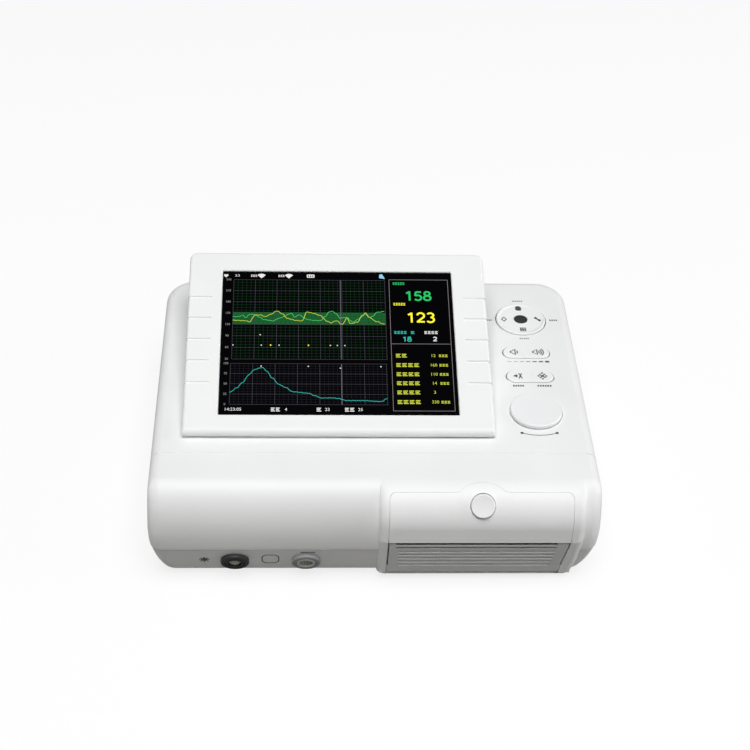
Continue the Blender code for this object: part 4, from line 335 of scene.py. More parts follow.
@dataclass(frozen=True)
class Metal:
    """Bare metal with fine lines and duller patches."""

    name: str
    colour: Colour
    roughness: float
    lines: float = 1500.0
    slot: str | None = None

    def material(self) -> bpy.types.Material:
        """Returns the finish as a material."""
        recipe = Recipe(self.name, self.roughness, metallic=1.0)
        lines = recipe.effect(Effect.BRUSH, Scale=self.lines)
        tone = recipe.effect(Effect.TONE, Scale=60.0)
        body = recipe.mix(lines.outputs["Lines"], shade(self.colour, 0.86), self.colour)
        recipe.feed(recipe.mix(tone.outputs["Tone"], body, shade(self.colour, 0.93)), "Base Color")
        spread = recipe.spread(lines.outputs["Lines"], self.roughness - 0.08, self.roughness + 0.12)
        recipe.feed(spread, "Roughness")
        recipe.bump(lines.outputs["Lines"], 0.25, 0.00001)
        return recipe.material


@dataclass(frozen=True)
class Paper:
    """Chart paper in a fanfold pack: fibres on its faces and the lines of its sheets along its sides."""

    name: str
    colour: Colour
    roughness: float = 0.85
    sheets: float = 5200.0
    slot: str | None = None

    def material(self) -> bpy.types.Material:
        """Returns the finish as a material."""
        recipe = Recipe(self.name, self.roughness, specular=0.2)
        fibres = recipe.effect(Effect.GRAIN, Scale=900.0)
        sheets = recipe.effect(Effect.BRUSH, Scale=self.sheets)
        body = recipe.mix(fibres.outputs["Fleck"], shade(self.colour, 0.97), self.colour)
        edges = recipe.spread(sheets.outputs["Lines"], 0.0, 0.7)
        recipe.feed(recipe.mix(edges, body, shade(self.colour, 0.84)), "Base Color")
        recipe.bump(sheets.outputs["Lines"], 0.4, 0.00004)
        return recipe.material


@dataclass(frozen=True)
class Board:
    """A circuit board's lacquer over copper tracks, which show through as lighter lines."""

    name: str
    colour: Colour
    roughness: float = 0.38
    slot: str | None = None

    def material(self) -> bpy.types.Material:
        """Returns the finish as a material."""
        recipe = Recipe(self.name, self.roughness)
        place = add_node(recipe.tree, "ShaderNodeTexCoord")
        tracks = add_node(recipe.tree, "ShaderNodeTexBrick", Scale=130.0, Mortar_Size=0.07, offset=0.37)
        tracks.inputs["Color1"].default_value = (*self.colour, 1.0)
        tracks.inputs["Color2"].default_value = (*shade(self.colour, 0.86), 1.0)
        tracks.inputs["Mortar"].default_value = (*shade(self.colour, 1.9), 1.0)
        recipe.tree.links.new(place.outputs["Object"], tracks.inputs["Vector"])
        tone = recipe.effect(Effect.TONE, Scale=40.0)
        body = recipe.mix(tone.outputs["Tone"], tracks.outputs["Color"], shade(self.colour, 0.8))
        recipe.feed(body, "Base Color")
        recipe.bump(tracks.outputs["Fac"], 0.3, 0.00003)
        return recipe.material


@dataclass(frozen=True)
class Glow:
    """A colour of the lit screen, with the faint rows of its pixels."""

    name: str
    colour: Colour
    strength: float = 1.0
    slot: str | None = None

    def material(self) -> bpy.types.Material:
        """Returns the finish as a material."""
        recipe = Recipe(self.name, 0.35, specular=0.1)
        pixels = recipe.effect(Effect.BRUSH, Scale=9000.0)
        lit = recipe.mix(pixels.outputs["Lines"], shade(self.colour, 0.9), self.colour)
        recipe.feed(lit, "Emission Color")
        recipe.feed(recipe.mix(pixels.outputs["Lines"], shade(self.colour, 0.25), shade(self.colour, 0.3)), "Base Color")
        recipe.set("Emission Strength", self.strength)
        return recipe.material


@dataclass(frozen=True)
class Lens:
    """A small tinted lamp lens that is lit from inside."""

    name: str
    colour: Colour
    roughness: float = 0.18
    slot: str | None = None

    def material(self) -> bpy.types.Material:
        """Returns the finish as a material."""
        recipe = Recipe(self.name, self.roughness)
        recipe.set("Coat Weight", 0.5)
        tone = recipe.effect(Effect.TONE, Scale=900.0)
        recipe.feed(recipe.mix(tone.outputs["Tone"], shade(self.colour, 0.6), self.colour), "Base Color")
        grain = recipe.effect(Effect.GRAIN, Scale=2500.0)
        recipe.bump(grain.outputs["Height"], 0.15, 0.00001)
        return recipe.material


WHITE_CASE = Plastic("white_case_plastic", (0.86, 0.865, 0.865), 0.46, slot="case_plastic")
WHITE_DOOR = Plastic("white_door_plastic", (0.855, 0.86, 0.86), 0.46, slot="case_plastic")
WHITE_KEY = Plastic("white_key_plastic", (0.87, 0.875, 0.88), 0.42, grain=2400.0, slot="key_plastic")
DARK = Plastic("dark_plastic", (0.032, 0.032, 0.036), 0.5, wear=0.6, tone=0.8, slot="dark_plastic")
DARK_KEY = Plastic(
    "dark_key_rubber", (0.045, 0.047, 0.046), 0.55, grain=900.0, depth=0.0002, tone=0.6, slot="dark_plastic"
)
GREY = Plastic("grey_plastic", (0.30, 0.31, 0.31), 0.5, wear=0.35, tone=0.9, slot="grey_plastic")
RIB_GREY = Plastic("door_front_plastic", (0.65, 0.66, 0.65), 0.5, slot="case_plastic")
PALE = Plastic("pale_core_plastic", (0.64, 0.63, 0.59), 0.45, tone=0.92, slot="pale_plastic")
FOOT_RUBBER = Plastic("foot_rubber", (0.05, 0.05, 0.05), 0.85, grain=700.0, depth=0.0001, slot="foot_rubber")
ROLLER_RUBBER = Plastic("roller_rubber", (0.07, 0.07, 0.075), 0.7, grain=1200.0, slot="roller_rubber")
BATTERY = Plastic("battery_wrap", (0.13, 0.20, 0.38), 0.32, grain=300.0, tone=0.9, slot="battery_wrap")
GEAR = Plastic("gear_plastic", (0.78, 0.77, 0.71), 0.4, wear=0.3, slot="gear_plastic")
PANEL = Plastic(
    "dark_screen_panel", (0.0012, 0.0012, 0.0018), 0.3, grain=6000.0, depth=0.000002, wear=0.0, tone=0.8,
    specular=0.03, slot="screen_glass"
)
STEEL = Metal("rolled_steel", (0.60, 0.61, 0.62), 0.32, slot="steel")
HEAD_METAL = Metal("print_head_metal", (0.50, 0.49, 0.47), 0.38, slot="head_metal")
CONTACT = Metal("plated_contact", (0.62, 0.57, 0.47), 0.3, slot="steel")
CHART = Paper("chart_paper", (0.88, 0.85, 0.80), slot="chart_paper")
LACQUER = Board("board_lacquer", (0.02, 0.16, 0.075), slot="circuit_board")
LAMP = Lens("lamp_lens", (0.05, 0.085, 0.055), slot="lamp_lens")
INK = Plastic("printed_ink", (0.075, 0.075, 0.075), 0.6, grain=3000.0, wear=0.0)
SOFT_INK = Plastic("soft_printed_ink", (0.10, 0.10, 0.10), 0.6, grain=3000.0, wear=0.0)
PALE_INK = Plastic("faint_printed_ink", (0.26, 0.26, 0.26), 0.6, grain=3000.0, wear=0.0)

GREEN_GLOW = Glow("green_figures", (0.02, 0.48, 0.12))
YELLOW_GLOW = Glow("yellow_figures", (0.90, 0.83, 0.03))
TEAL_GLOW = Glow("teal_figures", (0.03, 0.42, 0.36))
WHITE_GLOW = Glow("white_figures", (0.70, 0.70, 0.68))
BLUE_GLOW = Glow("pale_blue_mark", (0.25, 0.52, 0.72))
BAND_GLOW = Glow("green_band", (0.007, 0.095, 0.022))
AXIS_GLOW = Glow("axis_figures_grey", (0.24, 0.24, 0.23))
SCAN_GLOW = Glow("scan_line_grey", (0.11, 0.10, 0.13))
GREEN_TRACE_GLOW = Glow("green_trace", (0.07, 0.50, 0.13))
YELLOW_TRACE_GLOW = Glow("yellow_trace", (0.52, 0.58, 0.05))
FRAME_GLOW = Glow("grey_frame", (0.22, 0.20, 0.20))
MAJOR_GLOW = Glow("grid_lines", (0.042, 0.042, 0.055))
MINOR_GREEN_GLOW = Glow("fine_green_grid", (0.006, 0.036, 0.010))
MINOR_GREY_GLOW = Glow("fine_grey_grid", (0.014, 0.013, 0.018))

Finish = Plastic | Metal | Paper | Board | Glow | Lens
MADE: dict[str, bpy.types.Material] = {}


def material_of(finish: Finish) -> bpy.types.Material:
    """Returns a finish's material, made the first time that it is asked for."""
    if finish.name not in MADE:
        MADE[finish.name] = finish.material()
    return MADE[finish.name]


# The bench: modelling by operators

def arc(centre: Flat, radius: float, start: float, end: float, steps: int) -> list[Flat]:
    """Returns points along an arc, both ends included.

    Args:
        centre: The arc's centre.
        radius: Its radius.
        start: The angle of its first point, in radians.
        end: The angle of its last point.
        steps: How many steps lie between them.

    Returns:
        The points.
    """
    angles = [start + (end - start) * i / steps for i in range(steps + 1)]
    return [(centre[0] + radius * math.cos(a), centre[1] + radius * math.sin(a)) for a in angles]


def rounded(
    left: float, right: float, front: float, back: float, front_radius: float, back_radius: float | None = None,
    steps: int = 12,
) -> list[Flat]:
    """Returns a rectangle with round corners, counterclockwise from the back right.

    Args:
        left: Its left edge.
        right: Its right edge.
        front: Its front edge.
        back: Its back edge.
        front_radius: The front corners' radius.
        back_radius: The back corners' radius, the same where it is left out.
        steps: The steps in each corner.

    Returns:
        The outline's points.
    """
    rear = front_radius if back_radius is None else back_radius
    near = front_radius
    return (
        arc((right - rear, back - rear), rear, 0.0, QUARTER_TURN, steps)
        + arc((left + rear, back - rear), rear, QUARTER_TURN, 2 * QUARTER_TURN, steps)
        + arc((left + near, front + near), near, 2 * QUARTER_TURN, 3 * QUARTER_TURN, steps)
        + arc((right - near, front + near), near, 3 * QUARTER_TURN, 4 * QUARTER_TURN, steps)
    )


def circle(radius: float, height: float, sides: int) -> list[Point]:
    """Returns a circle of points round the Z axis at a height."""
    return [
        (radius * math.cos(FULL_TURN * i / sides), radius * math.sin(FULL_TURN * i / sides), height)
        for i in range(sides)
    ]


def at_height(outline: Sequence[Flat], height: float) -> list[Point]:
    """Returns a flat outline's points at a height."""
    return [(x, y, height) for x, y in outline]


class Bench:
    """Makes and shapes one mesh object at a time with Blender's operators."""

    def clear(self) -> None:
        """Deselects everything."""
        bpy.ops.object.select_all(action="DESELECT")

    def pick(self, obj: bpy.types.Object) -> None:
        """Makes one object the only selected and the active one."""
        self.clear()
        obj.select_set(True)
        bpy.context.view_layer.objects.active = obj

    def named(self, name: str) -> bpy.types.Object:
        """Names the object that was just added, and moves its place into its mesh."""
        obj = bpy.context.active_object
        obj.name = obj.data.name = name
        bpy.ops.object.transform_apply(location=True, rotation=True, scale=True)
        return obj

    def box(self, name: str, low: Point, high: Point) -> bpy.types.Object:
        """Adds a box between two corners."""
        self.clear()
        middle = [(a + b) / 2 for a, b in zip(low, high)]
        size = [b - a for a, b in zip(low, high)]
        bpy.ops.mesh.primitive_cube_add(size=1.0, location=middle, scale=size)
        return self.named(name)

    def rod(self, name: str, radius: float, start: Point, end: Point, sides: int = 48) -> bpy.types.Object:
        """Adds a round bar from one point to another.

        Args:
            name: The bar's name.
            radius: Its radius.
            start: The middle of one end.
            end: The middle of the other end.
            sides: How many flats its round has.

        Returns:
            The bar.
        """
        self.clear()
        first, last = Vector(start), Vector(end)
        run = last - first
        turn = run.to_track_quat("Z", "Y").to_euler()
        bpy.ops.mesh.primitive_cylinder_add(
            vertices=sides, radius=radius, depth=run.length, location=(first + last) / 2, rotation=turn
        )
        return self.named(name)

    def loft(self, name: str, rings: Sequence[Sequence[Point]]) -> bpy.types.Object:
        """Extrudes a face through a stack of rings that have the same number of points.

        Args:
            name: The new object's name.
            rings: The rings, from one end to the other.

        Returns:
            A closed solid, with its faces outwards.
        """
        self.clear()
        bpy.ops.mesh.primitive_circle_add(vertices=len(rings[0]), radius=1.0, fill_type="NGON")
        obj = self.named(name)
        bpy.ops.object.mode_set(mode="EDIT")
        bpy.ops.mesh.select_mode(type="FACE")
        bpy.ops.mesh.select_all(action="SELECT")
        keys: list[tuple[float, ...]] = []
        for index, ring in enumerate(rings):
            if index:
                bpy.ops.mesh.extrude_region_move(TRANSFORM_OT_translate={"value": (0.0, 0.0, 0.0)})
            mesh = bmesh.from_edit_mesh(obj.data)
            face = next(face for face in mesh.faces if face.select)
            verts = [loop.vert for loop in face.loops]
            if keys:
                found = {tuple(vert.co): vert for vert in verts}
                verts = [found[key] for key in keys]
            for vert, point in zip(verts, ring):
                vert.co = point
            keys = [tuple(vert.co) for vert in verts]
            bmesh.update_edit_mesh(obj.data)
        bpy.ops.mesh.select_all(action="SELECT")
        bpy.ops.mesh.normals_make_consistent(inside=False)
        bpy.ops.object.mode_set(mode="OBJECT")
        return obj

    def plate(self, name: str, outline: Sequence[Flat], low: float, high: float) -> bpy.types.Object:
        """Adds a flat outline with thickness, between two heights."""
        return self.loft(name, [at_height(outline, low), at_height(outline, high)])

    def prism(self, name: str, outline: Sequence[Flat], front: float, back: float) -> bpy.types.Object:
        """Adds an upright outline of x and z with thickness, between two depths."""
        return self.loft(name, [[(x, y, z) for x, z in outline] for y in (front, back)])

    def turned(self, name: str, profile: Sequence[Flat], sides: int = 96) -> bpy.types.Object:
        """Adds a turned solid about the Z axis, from a profile of radius and height."""
        return self.loft(name, [circle(radius, height, sides) for radius, height in profile])

    def pillow(
        self, name: str, outline: Callable[[float], list[Flat]], low: float, high: float, edge: float, steps: int = 5
    ) -> bpy.types.Object:
        """Adds a plate whose upper edge is round.

        Args:
            name: The plate's name.
            outline: Gives the outline for an inset.
            low: The height of its underside.
            high: The height of its top.
            edge: The radius of its upper edge.
            steps: The steps in that round.

        Returns:
            The plate.
        """
        rings = [at_height(outline(0.0), low)]
        for i in range(steps + 1):
            turn = QUARTER_TURN * i / steps
            inset = edge * (1 - math.cos(turn))
            rings.append(at_height(outline(inset), high - edge + edge * math.sin(turn)))
        return self.loft(name, rings)

    def trim(self, obj: bpy.types.Object, point: Point, away: Point) -> bpy.types.Object:
        """Cuts off what lies on the side that a direction points to, and closes the cut.

        Args:
            obj: The object to cut.
            point: A point on the cutting plane.
            away: The direction of what goes.

        Returns:
            The object.
        """
        self.pick(obj)
        bpy.ops.object.mode_set(mode="EDIT")
        bpy.ops.mesh.select_all(action="SELECT")
        bpy.ops.mesh.bisect(
            plane_co=point, plane_no=away, use_fill=True, clear_outer=True, clear_inner=False, threshold=1e-7
        )
        bpy.ops.object.mode_set(mode="OBJECT")
        return obj

    def combine(self, obj: bpy.types.Object, operation: str, *others: bpy.types.Object) -> bpy.types.Object:
        """Cuts, joins or crosses an object with others, which it uses up.

        Args:
            obj: The object that stays.
            operation: DIFFERENCE, UNION or INTERSECT.
            *others: The objects that are used up.

        Returns:
            The object.
        """
        for other in others:
            self.pick(obj)
            bpy.ops.object.modifier_add(type="BOOLEAN")
            modifier = obj.modifiers[-1]
            modifier.operation = operation
            modifier.solver = "EXACT"
            modifier.object = other
            bpy.ops.object.modifier_apply(modifier=modifier.name)
            bpy.data.objects.remove(other)
        return obj

    def cut(self, obj: bpy.types.Object, *others: bpy.types.Object) -> bpy.types.Object:
        """Takes solids out of an object."""
        return self.combine(obj, "DIFFERENCE", *others)

    def add(self, obj: bpy.types.Object, *others: bpy.types.Object) -> bpy.types.Object:
        """Fuses solids with an object."""
        return self.combine(obj, "UNION", *others)

    def join(self, name: str, objects: Sequence[bpy.types.Object]) -> bpy.types.Object:
        """Joins separate solids into one object, without fusing them."""
        self.clear()
        for obj in objects:
            obj.select_set(True)
        bpy.context.view_layer.objects.active = objects[0]
        if len(objects) > 1:
            bpy.ops.object.join()
        joined = bpy.context.view_layer.objects.active
        joined.name = joined.data.name = name
        return joined

    def copy(self, obj: bpy.types.Object, name: str, place: Matrix) -> bpy.types.Object:
        """Copies an object with its own mesh, and moves the copy."""
        twin = bpy.data.objects.new(name, obj.data.copy())
        twin.data.name = name
        twin.data.transform(place)
        bpy.context.scene.collection.objects.link(twin)
        return twin

    def round_edges(self, obj: bpy.types.Object, width: float, segments: int = 3, angle: float = 40.0) -> None:
        """Rounds an object's sharp edges.

        Args:
            obj: The object.
            width: How far the round reaches.
            segments: Its steps.
            angle: The least angle of an edge that is rounded, in degrees.
        """
        self.pick(obj)
        bpy.ops.object.modifier_add(type="BEVEL")
        modifier = obj.modifiers[-1]
        modifier.width = width
        modifier.segments = segments
        modifier.limit_method = "ANGLE"
        modifier.angle_limit = math.radians(angle)
        bpy.ops.object.modifier_apply(modifier=modifier.name)

    def round_chosen(
        self, obj: bpy.types.Object, chosen: Callable[[Vector, Vector], bool], width: float, segments: int = 3
    ) -> None:
        """Rounds the edges whose two ends pass a test.

        Args:
            obj: The object.
            chosen: The test on an edge's two ends.
            width: How far the round reaches.
            segments: Its steps.
        """
        self.pick(obj)
        bpy.ops.object.mode_set(mode="EDIT")
        bpy.ops.mesh.select_mode(type="EDGE")
        bpy.ops.mesh.select_all(action="DESELECT")
        mesh = bmesh.from_edit_mesh(obj.data)
        for edge in mesh.edges:
            faces = edge.link_faces
            sharp = len(faces) == 2 and faces[0].normal.angle(faces[1].normal, 0.0) > math.radians(30)
            edge.select_set(sharp and chosen(edge.verts[0].co, edge.verts[1].co))
        bmesh.update_edit_mesh(obj.data)
        bpy.ops.mesh.bevel(offset=width, segments=segments, affect="EDGES", clamp_overlap=True)
        bpy.ops.object.mode_set(mode="OBJECT")

    def smooth(self, obj: bpy.types.Object, angle: float = 32.0, weighted: bool = True) -> None:
        """Shades an object smooth, with its sharp edges kept."""
        self.pick(obj)
        bpy.ops.object.shade_smooth_by_angle(angle=math.radians(angle))
        if weighted:
            bpy.ops.object.modifier_add(type="WEIGHTED_NORMAL")
            modifier = obj.modifiers[-1]
            modifier.keep_sharp = True
            bpy.ops.object.modifier_apply(modifier=modifier.name)

    def strip(self, name: str, points: Sequence[Flat], width: float, height: float, thick: float) -> bpy.types.Object:
        """Adds a thin flat strip along a line.

        Args:
            name: The strip's name.
            points: The line's points.
            width: The strip's width.
            height: The height of its underside.
            thick: Its thickness.

        Returns:
            The strip.
        """
        rings = []
        for i, (x, y) in enumerate(points):
            before, after = points[max(i - 1, 0)], points[min(i + 1, len(points) - 1)]
            run = Vector((after[0] - before[0], after[1] - before[1])).normalized() * width / 2
            corners = ((x - run.y, y + run.x), (x + run.y, y - run.x))
            (ax, ay), (bx, by) = corners
            rings.append([(ax, ay, height), (bx, by, height), (bx, by, height + thick), (ax, ay, height + thick)])
        return self.loft(name, rings)

    def text(self, name: str, words: str, size: float, middle: Flat, height: float, bold: float) -> bpy.types.Object:
        """Adds plain figures as a thin solid.

        Args:
            name: The object's name.
            words: The figures.
            size: Their height in the font's own measure.
            middle: The place of their middle.
            height: The height of their underside.
            bold: How much heavier their strokes are.

        Returns:
            The figures as a mesh.
        """
        self.clear()
        bpy.ops.object.text_add(location=(0.0, 0.0, 0.0))
        obj = bpy.context.active_object
        obj.data.body = words
        obj.data.size = size
        obj.data.align_x = "CENTER"
        obj.data.align_y = "CENTER"
        obj.data.offset = bold
        obj.data.extrude = 0.00001
        obj.data.resolution_u = 3
        bpy.ops.object.convert(target="MESH")
        obj = bpy.context.active_object
        obj.name = obj.data.name = name
        bpy.ops.object.mode_set(mode="EDIT")
        bpy.ops.mesh.select_all(action="SELECT")
        bpy.ops.mesh.remove_doubles(threshold=0.0000002)
        bpy.ops.mesh.normals_make_consistent(inside=False)
        bpy.ops.object.mode_set(mode="OBJECT")
        obj.data.transform(Matrix.Translation((middle[0], middle[1], height)))
        return obj

    def hand_over(
        self, obj: bpy.types.Object, finish: Finish, body: str, replaces: Sequence[str] = (), angle: float = 32.0,
        weighted: bool = True,
    ) -> bpy.types.Object:
        """Finishes a piece: its shading, its material, the body that it rides on and what it stands for.

        Args:
            obj: The finished shape.
            finish: Its finish.
            body: The body that carries it.
            replaces: The nodes that it stands for.
            angle: The least angle of an edge that stays sharp, in degrees.
            weighted: Whether large faces lead the shading.

        Returns:
            The piece.
        """
        self.smooth(obj, angle, weighted)
        obj.data.materials.clear()
        obj.data.materials.append(material_of(finish))
        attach(obj, body)
        if replaces:
            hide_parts(*replaces)
        log.info("%s: %d faces, %s, on %s", obj.name, len(obj.data.polygons), finish.name, body)
        return obj


# The case

def rounding(share: float) -> float:
    """Returns how far a quarter round has turned in at this share of its height."""
    share = min(max(share, 0.0), 1.0)
    return 1 - math.sqrt(1 - share * share)


@dataclass
class CaseForm:
    """The case's outer form, given by its sections at each height."""

    width: float = 0.298
    depth: float = 0.243
    deck: float = 0.0835
    foot: float = 0.0045
    parting: float = 0.034
    wall: float = 0.0025
    seam_gap: float = 0.0005
    parting_gap: float = 0.0009
    base_setback: float = 0.0004
    back_corner: float = 0.022
    front_corner: float = 0.008
    deck_edge: float = 0.0074
    draft: float = 0.001
    flank_drop: float = 0.034
    flank_tuck: float = 0.0121
    nose_depth: float = 0.0195
    nose_drop: float = 0.034
    chin: float = 0.0014
    band_lean: float = math.radians(19)
    sole: float = 0.004
    bulge_step: float = 0.005
    bulge_left: float = 0.002
    bulge_right: float = 0.138
    bulge_length: float = 0.030
    bulge_nose_depth: float = 0.0235
    bulge_nose_drop: float = 0.0255
    bulge_corner: float = 0.006
    bulge_back_corner: float = 0.001
    bulge_tuck: float = 0.006
    door_left: float = 0.0086
    door_right: float = 0.1286
    door_lean: float = math.radians(15)
    door_line: float = 0.0127
    door_corner: float = 0.004
    hump_rise: float = 0.0070
    hump_half: float = 0.0153
    slot_drop: float = 0.0363
    latch_x: float = 0.069
    front_taper: float = 0.004
    front_low: float = 0.011
    front_inset: float = 0.0007
    inset_low: float = 0.0175
    corner_steps: int = 14
    round_steps: int = 22

    @property
    def left(self) -> float:
        """The case's left side."""
        return -self.width / 2

    @property
    def right(self) -> float:
        """The case's right side."""
        return self.width / 2

    @property
    def front(self) -> float:
        """The front of the printer bulge."""
        return -self.depth / 2

    @property
    def back(self) -> float:
        """The back of the case."""
        return self.depth / 2

    @property
    def nose(self) -> float:
        """The front of the case beside the bulge."""
        return self.front + self.bulge_step

    @property
    def nose_low(self) -> float:
        """The height at which the round nose stands furthest forward."""
        return self.deck - self.nose_drop

    @property
    def widest(self) -> float:
        """The height at which the case is widest."""
        return self.deck - self.flank_drop

    @property
    def slot_top(self) -> float:
        """The height of the paper slot's upper edge."""
        return self.deck - self.slot_drop

    @property
    def bulge_back(self) -> float:
        """Where the bulge ends inside the case."""
        return self.front + self.bulge_length

    def section(self, height: float, inset: float = 0.0) -> list[Flat]:
        """Returns the case's outline at a height, drawn in by the inset."""
        edge = self.deck_edge * rounding((height - self.deck + self.deck_edge) / self.deck_edge)
        draft = self.draft * max(0.0, height - self.widest) / self.flank_drop
        tuck = self.flank_tuck * rounding((self.widest - height) / (self.widest - self.foot))
        nose = self.nose_depth * rounding((height - self.deck + self.nose_drop) / self.nose_drop)
        chin = self.chin * min(1.0, max(0.0, self.nose_low - height) / (self.nose_low - self.parting)) ** 2
        band = max(0.0, self.parting - height) * math.tan(self.band_lean)
        sole = self.sole * rounding((self.foot + self.sole - height) / self.sole)
        side = edge + draft + tuck + inset
        return rounded(
            self.left + side,
            self.right - side,
            self.nose + nose + chin + band + sole + inset,
            self.back - edge - draft - sole - inset,
            max(self.front_corner - edge - inset, self.wall),
            max(self.back_corner - edge - inset, self.wall),
            self.corner_steps,
        )

    def bulge_front(self, height: float) -> float:
        """Returns where the bulge's front lies at a height."""
        nose = self.bulge_nose_depth * rounding((height - self.deck + self.bulge_nose_drop) / self.bulge_nose_drop)
        lean = max(0.0, self.slot_top - height) * math.tan(self.door_lean)
        sole = self.sole * rounding((self.foot + self.sole - height) / self.sole)
        return self.front + nose + lean + sole

    def bulge_section(self, height: float, inset: float, back: float) -> list[Flat]:
        """Returns the bulge's outline at a height, drawn in by the inset."""
        tuck = self.bulge_tuck * rounding((self.widest - height) / (self.widest - self.foot))
        return rounded(
            self.bulge_left + inset,
            self.bulge_right - tuck - inset,
            self.bulge_front(height) + inset,
            back,
            max(self.bulge_corner - inset, self.bulge_back_corner),
            self.bulge_back_corner,
            self.corner_steps,
        )

    def upper_levels(self) -> list[float]:
        """Returns the heights of the upper case's sections, closer where its edges turn in."""
        steps = self.round_steps // 3
        levels = {self.parting + (self.nose_low - self.parting) * i / steps for i in range(steps + 1)}
        levels |= {self.widest, self.slot_top}
        for reach, steps in (
            (self.nose_drop, self.round_steps),
            (self.bulge_nose_drop, self.round_steps),
            (self.deck_edge, self.round_steps // 2),
        ):
            for i in range(steps + 1):
                levels.add(self.deck - reach + reach * math.sin(QUARTER_TURN * i / steps))
        kept: list[float] = []
        for level in sorted(levels):
            if level >= self.parting and (not kept or level - kept[-1] > self.deck_edge / 100):
                kept.append(level)
        kept[-1] = self.deck
        return kept

    def base_levels(self) -> list[float]:
        """Returns the heights of the base's sections, closer where its sole turns in."""
        steps = self.round_steps // 3
        turns = [QUARTER_TURN * i / steps for i in range(steps)]
        rounds = [self.foot + self.sole * (1 - math.cos(turn)) for turn in turns]
        low = self.foot + self.sole
        return rounds + [low + (self.parting - low) * i / steps for i in range(steps + 1)]

    def rings(self, levels: Sequence[float], inset: float, lift: float) -> list[list[Point]]:
        """Returns sections as rings. A lift raises the lowest ring, or lowers the highest.

        Args:
            levels: The sections' heights.
            inset: How far they are drawn in.
            lift: How far the end is moved.

        Returns:
            The rings.
        """
        low, high = levels[0], levels[-1]
        result = []
        for level in levels:
            share = (high - level) / (high - low) if lift > 0 else (level - low) / (high - low)
            result.append(at_height(self.section(level, inset), level + lift * share))
        return result

    def upper_rings(self, inset: float = 0.0) -> list[list[Point]]:
        """Returns the rings of the upper case, or of its hollow, which runs out below."""
        stack = self.rings(self.upper_levels(), inset, -inset)
        if inset:
            stack.insert(0, [(x, y, self.parting - OVERRUN) for x, y, _ in stack[0]])
        else:
            stack[0] = [(x, y, self.parting + self.parting_gap / 2) for x, y, _ in stack[0]]
        return stack

    def base_rings(self, inset: float = 0.0) -> list[list[Point]]:
        """Returns the rings of the base, or of its hollow, which runs out above."""
        stack = self.rings(self.base_levels(), inset or self.base_setback, inset)
        if inset:
            stack.append([(x, y, self.parting + OVERRUN) for x, y, _ in stack[-1]])
        else:
            stack[-1] = [(x, y, self.parting - self.parting_gap / 2) for x, y, _ in stack[-1]]
        return stack

    def bulge_rings(self, inset: float = 0.0, rise: float | None = None) -> list[list[Point]]:
        """Returns the rings of the printer bulge, or of its hollow.

        Args:
            inset: How far they are drawn in.
            rise: How far the top lies under the deck, the inset where it is left out.

        Returns:
            The rings.
        """
        levels = sorted(set(self.base_levels()[:-1] + self.upper_levels()))
        back = self.bulge_back + (OVERRUN if inset > 0 else -inset)
        top = self.deck - 0.00002 - (inset if rise is None else rise)
        bottom = self.foot + inset
        inner = [level for level in levels if bottom < level < top]
        stack = [at_height(self.bulge_section(levels[0], inset, back), bottom)]
        stack += [at_height(self.bulge_section(level, inset, back), level) for level in inner]
        stack.append(at_height(self.bulge_section(self.deck, inset, back), top))
        return stack

    def front_right(self, height: float) -> float:
        """Returns the right edge of the door's ribbed front, which slants inwards below the slot."""
        return self.door_right - self.front_taper * max(0.0, self.slot_top - height) / (self.slot_top - self.front_low)

    def front_outline(self, low: float, high: float, clearance: float) -> list[Flat]:
        """Returns the opening round the door's ribbed front in x and z.

        Args:
            low: Its lowest height.
            high: Its highest height.
            clearance: How far it is grown at its sides.

        Returns:
            The outline's points.
        """
        left = self.door_left - clearance
        return [
            (left, low),
            (self.front_right(low) + clearance, low),
            (self.front_right(self.slot_top) + clearance, self.slot_top),
            (self.door_right + clearance, high),
            (left, high),
        ]

    def panel_outline(self, low: float, high: float) -> list[Flat]:
        """Returns the ribbed front itself in x and z: its sides stand back above the hinge barrel."""
        step = self.inset_low + self.front_inset
        return [
            (self.door_left, low),
            (self.front_right(low), low),
            (self.front_right(self.inset_low), self.inset_low),
            (self.front_right(step) - self.front_inset, step),
            (self.front_right(high) - self.front_inset, high),
            (self.door_left + self.front_inset, high),
            (self.door_left + self.front_inset, step),
            (self.door_left, self.inset_low),
        ]

    def door_outline(self, clearance: float) -> list[Flat]:
        """Returns the printer door's top edge in plan: a straight line with a hump behind the latch."""
        left, right = self.door_left - clearance, self.door_right + clearance
        line = self.front + self.door_line + clearance
        radius = (self.hump_half**2 + self.hump_rise**2) / (2 * self.hump_rise)
        centre = (self.latch_x, line + self.hump_rise - radius)
        reach = math.asin(self.hump_half / radius)
        corner = self.door_corner
        foot_round = corner * 0.6
        start, end = QUARTER_TURN - reach, QUARTER_TURN + reach
        blend_right = (self.latch_x + self.hump_half + foot_round, line)
        blend_left = (self.latch_x - self.hump_half - foot_round, line)
        return (
            [(right, self.front - OVERRUN)]
            + arc((right - corner, line - corner), corner, 0.0, QUARTER_TURN, self.corner_steps)
            + [blend_right]
            + arc(centre, radius, start + 0.06, end - 0.06, 3 * self.corner_steps)
            + [blend_left]
            + arc((left + corner, line - corner), corner, QUARTER_TURN, 2 * QUARTER_TURN, self.corner_steps)
            + [(left, self.front - OVERRUN)]
        )


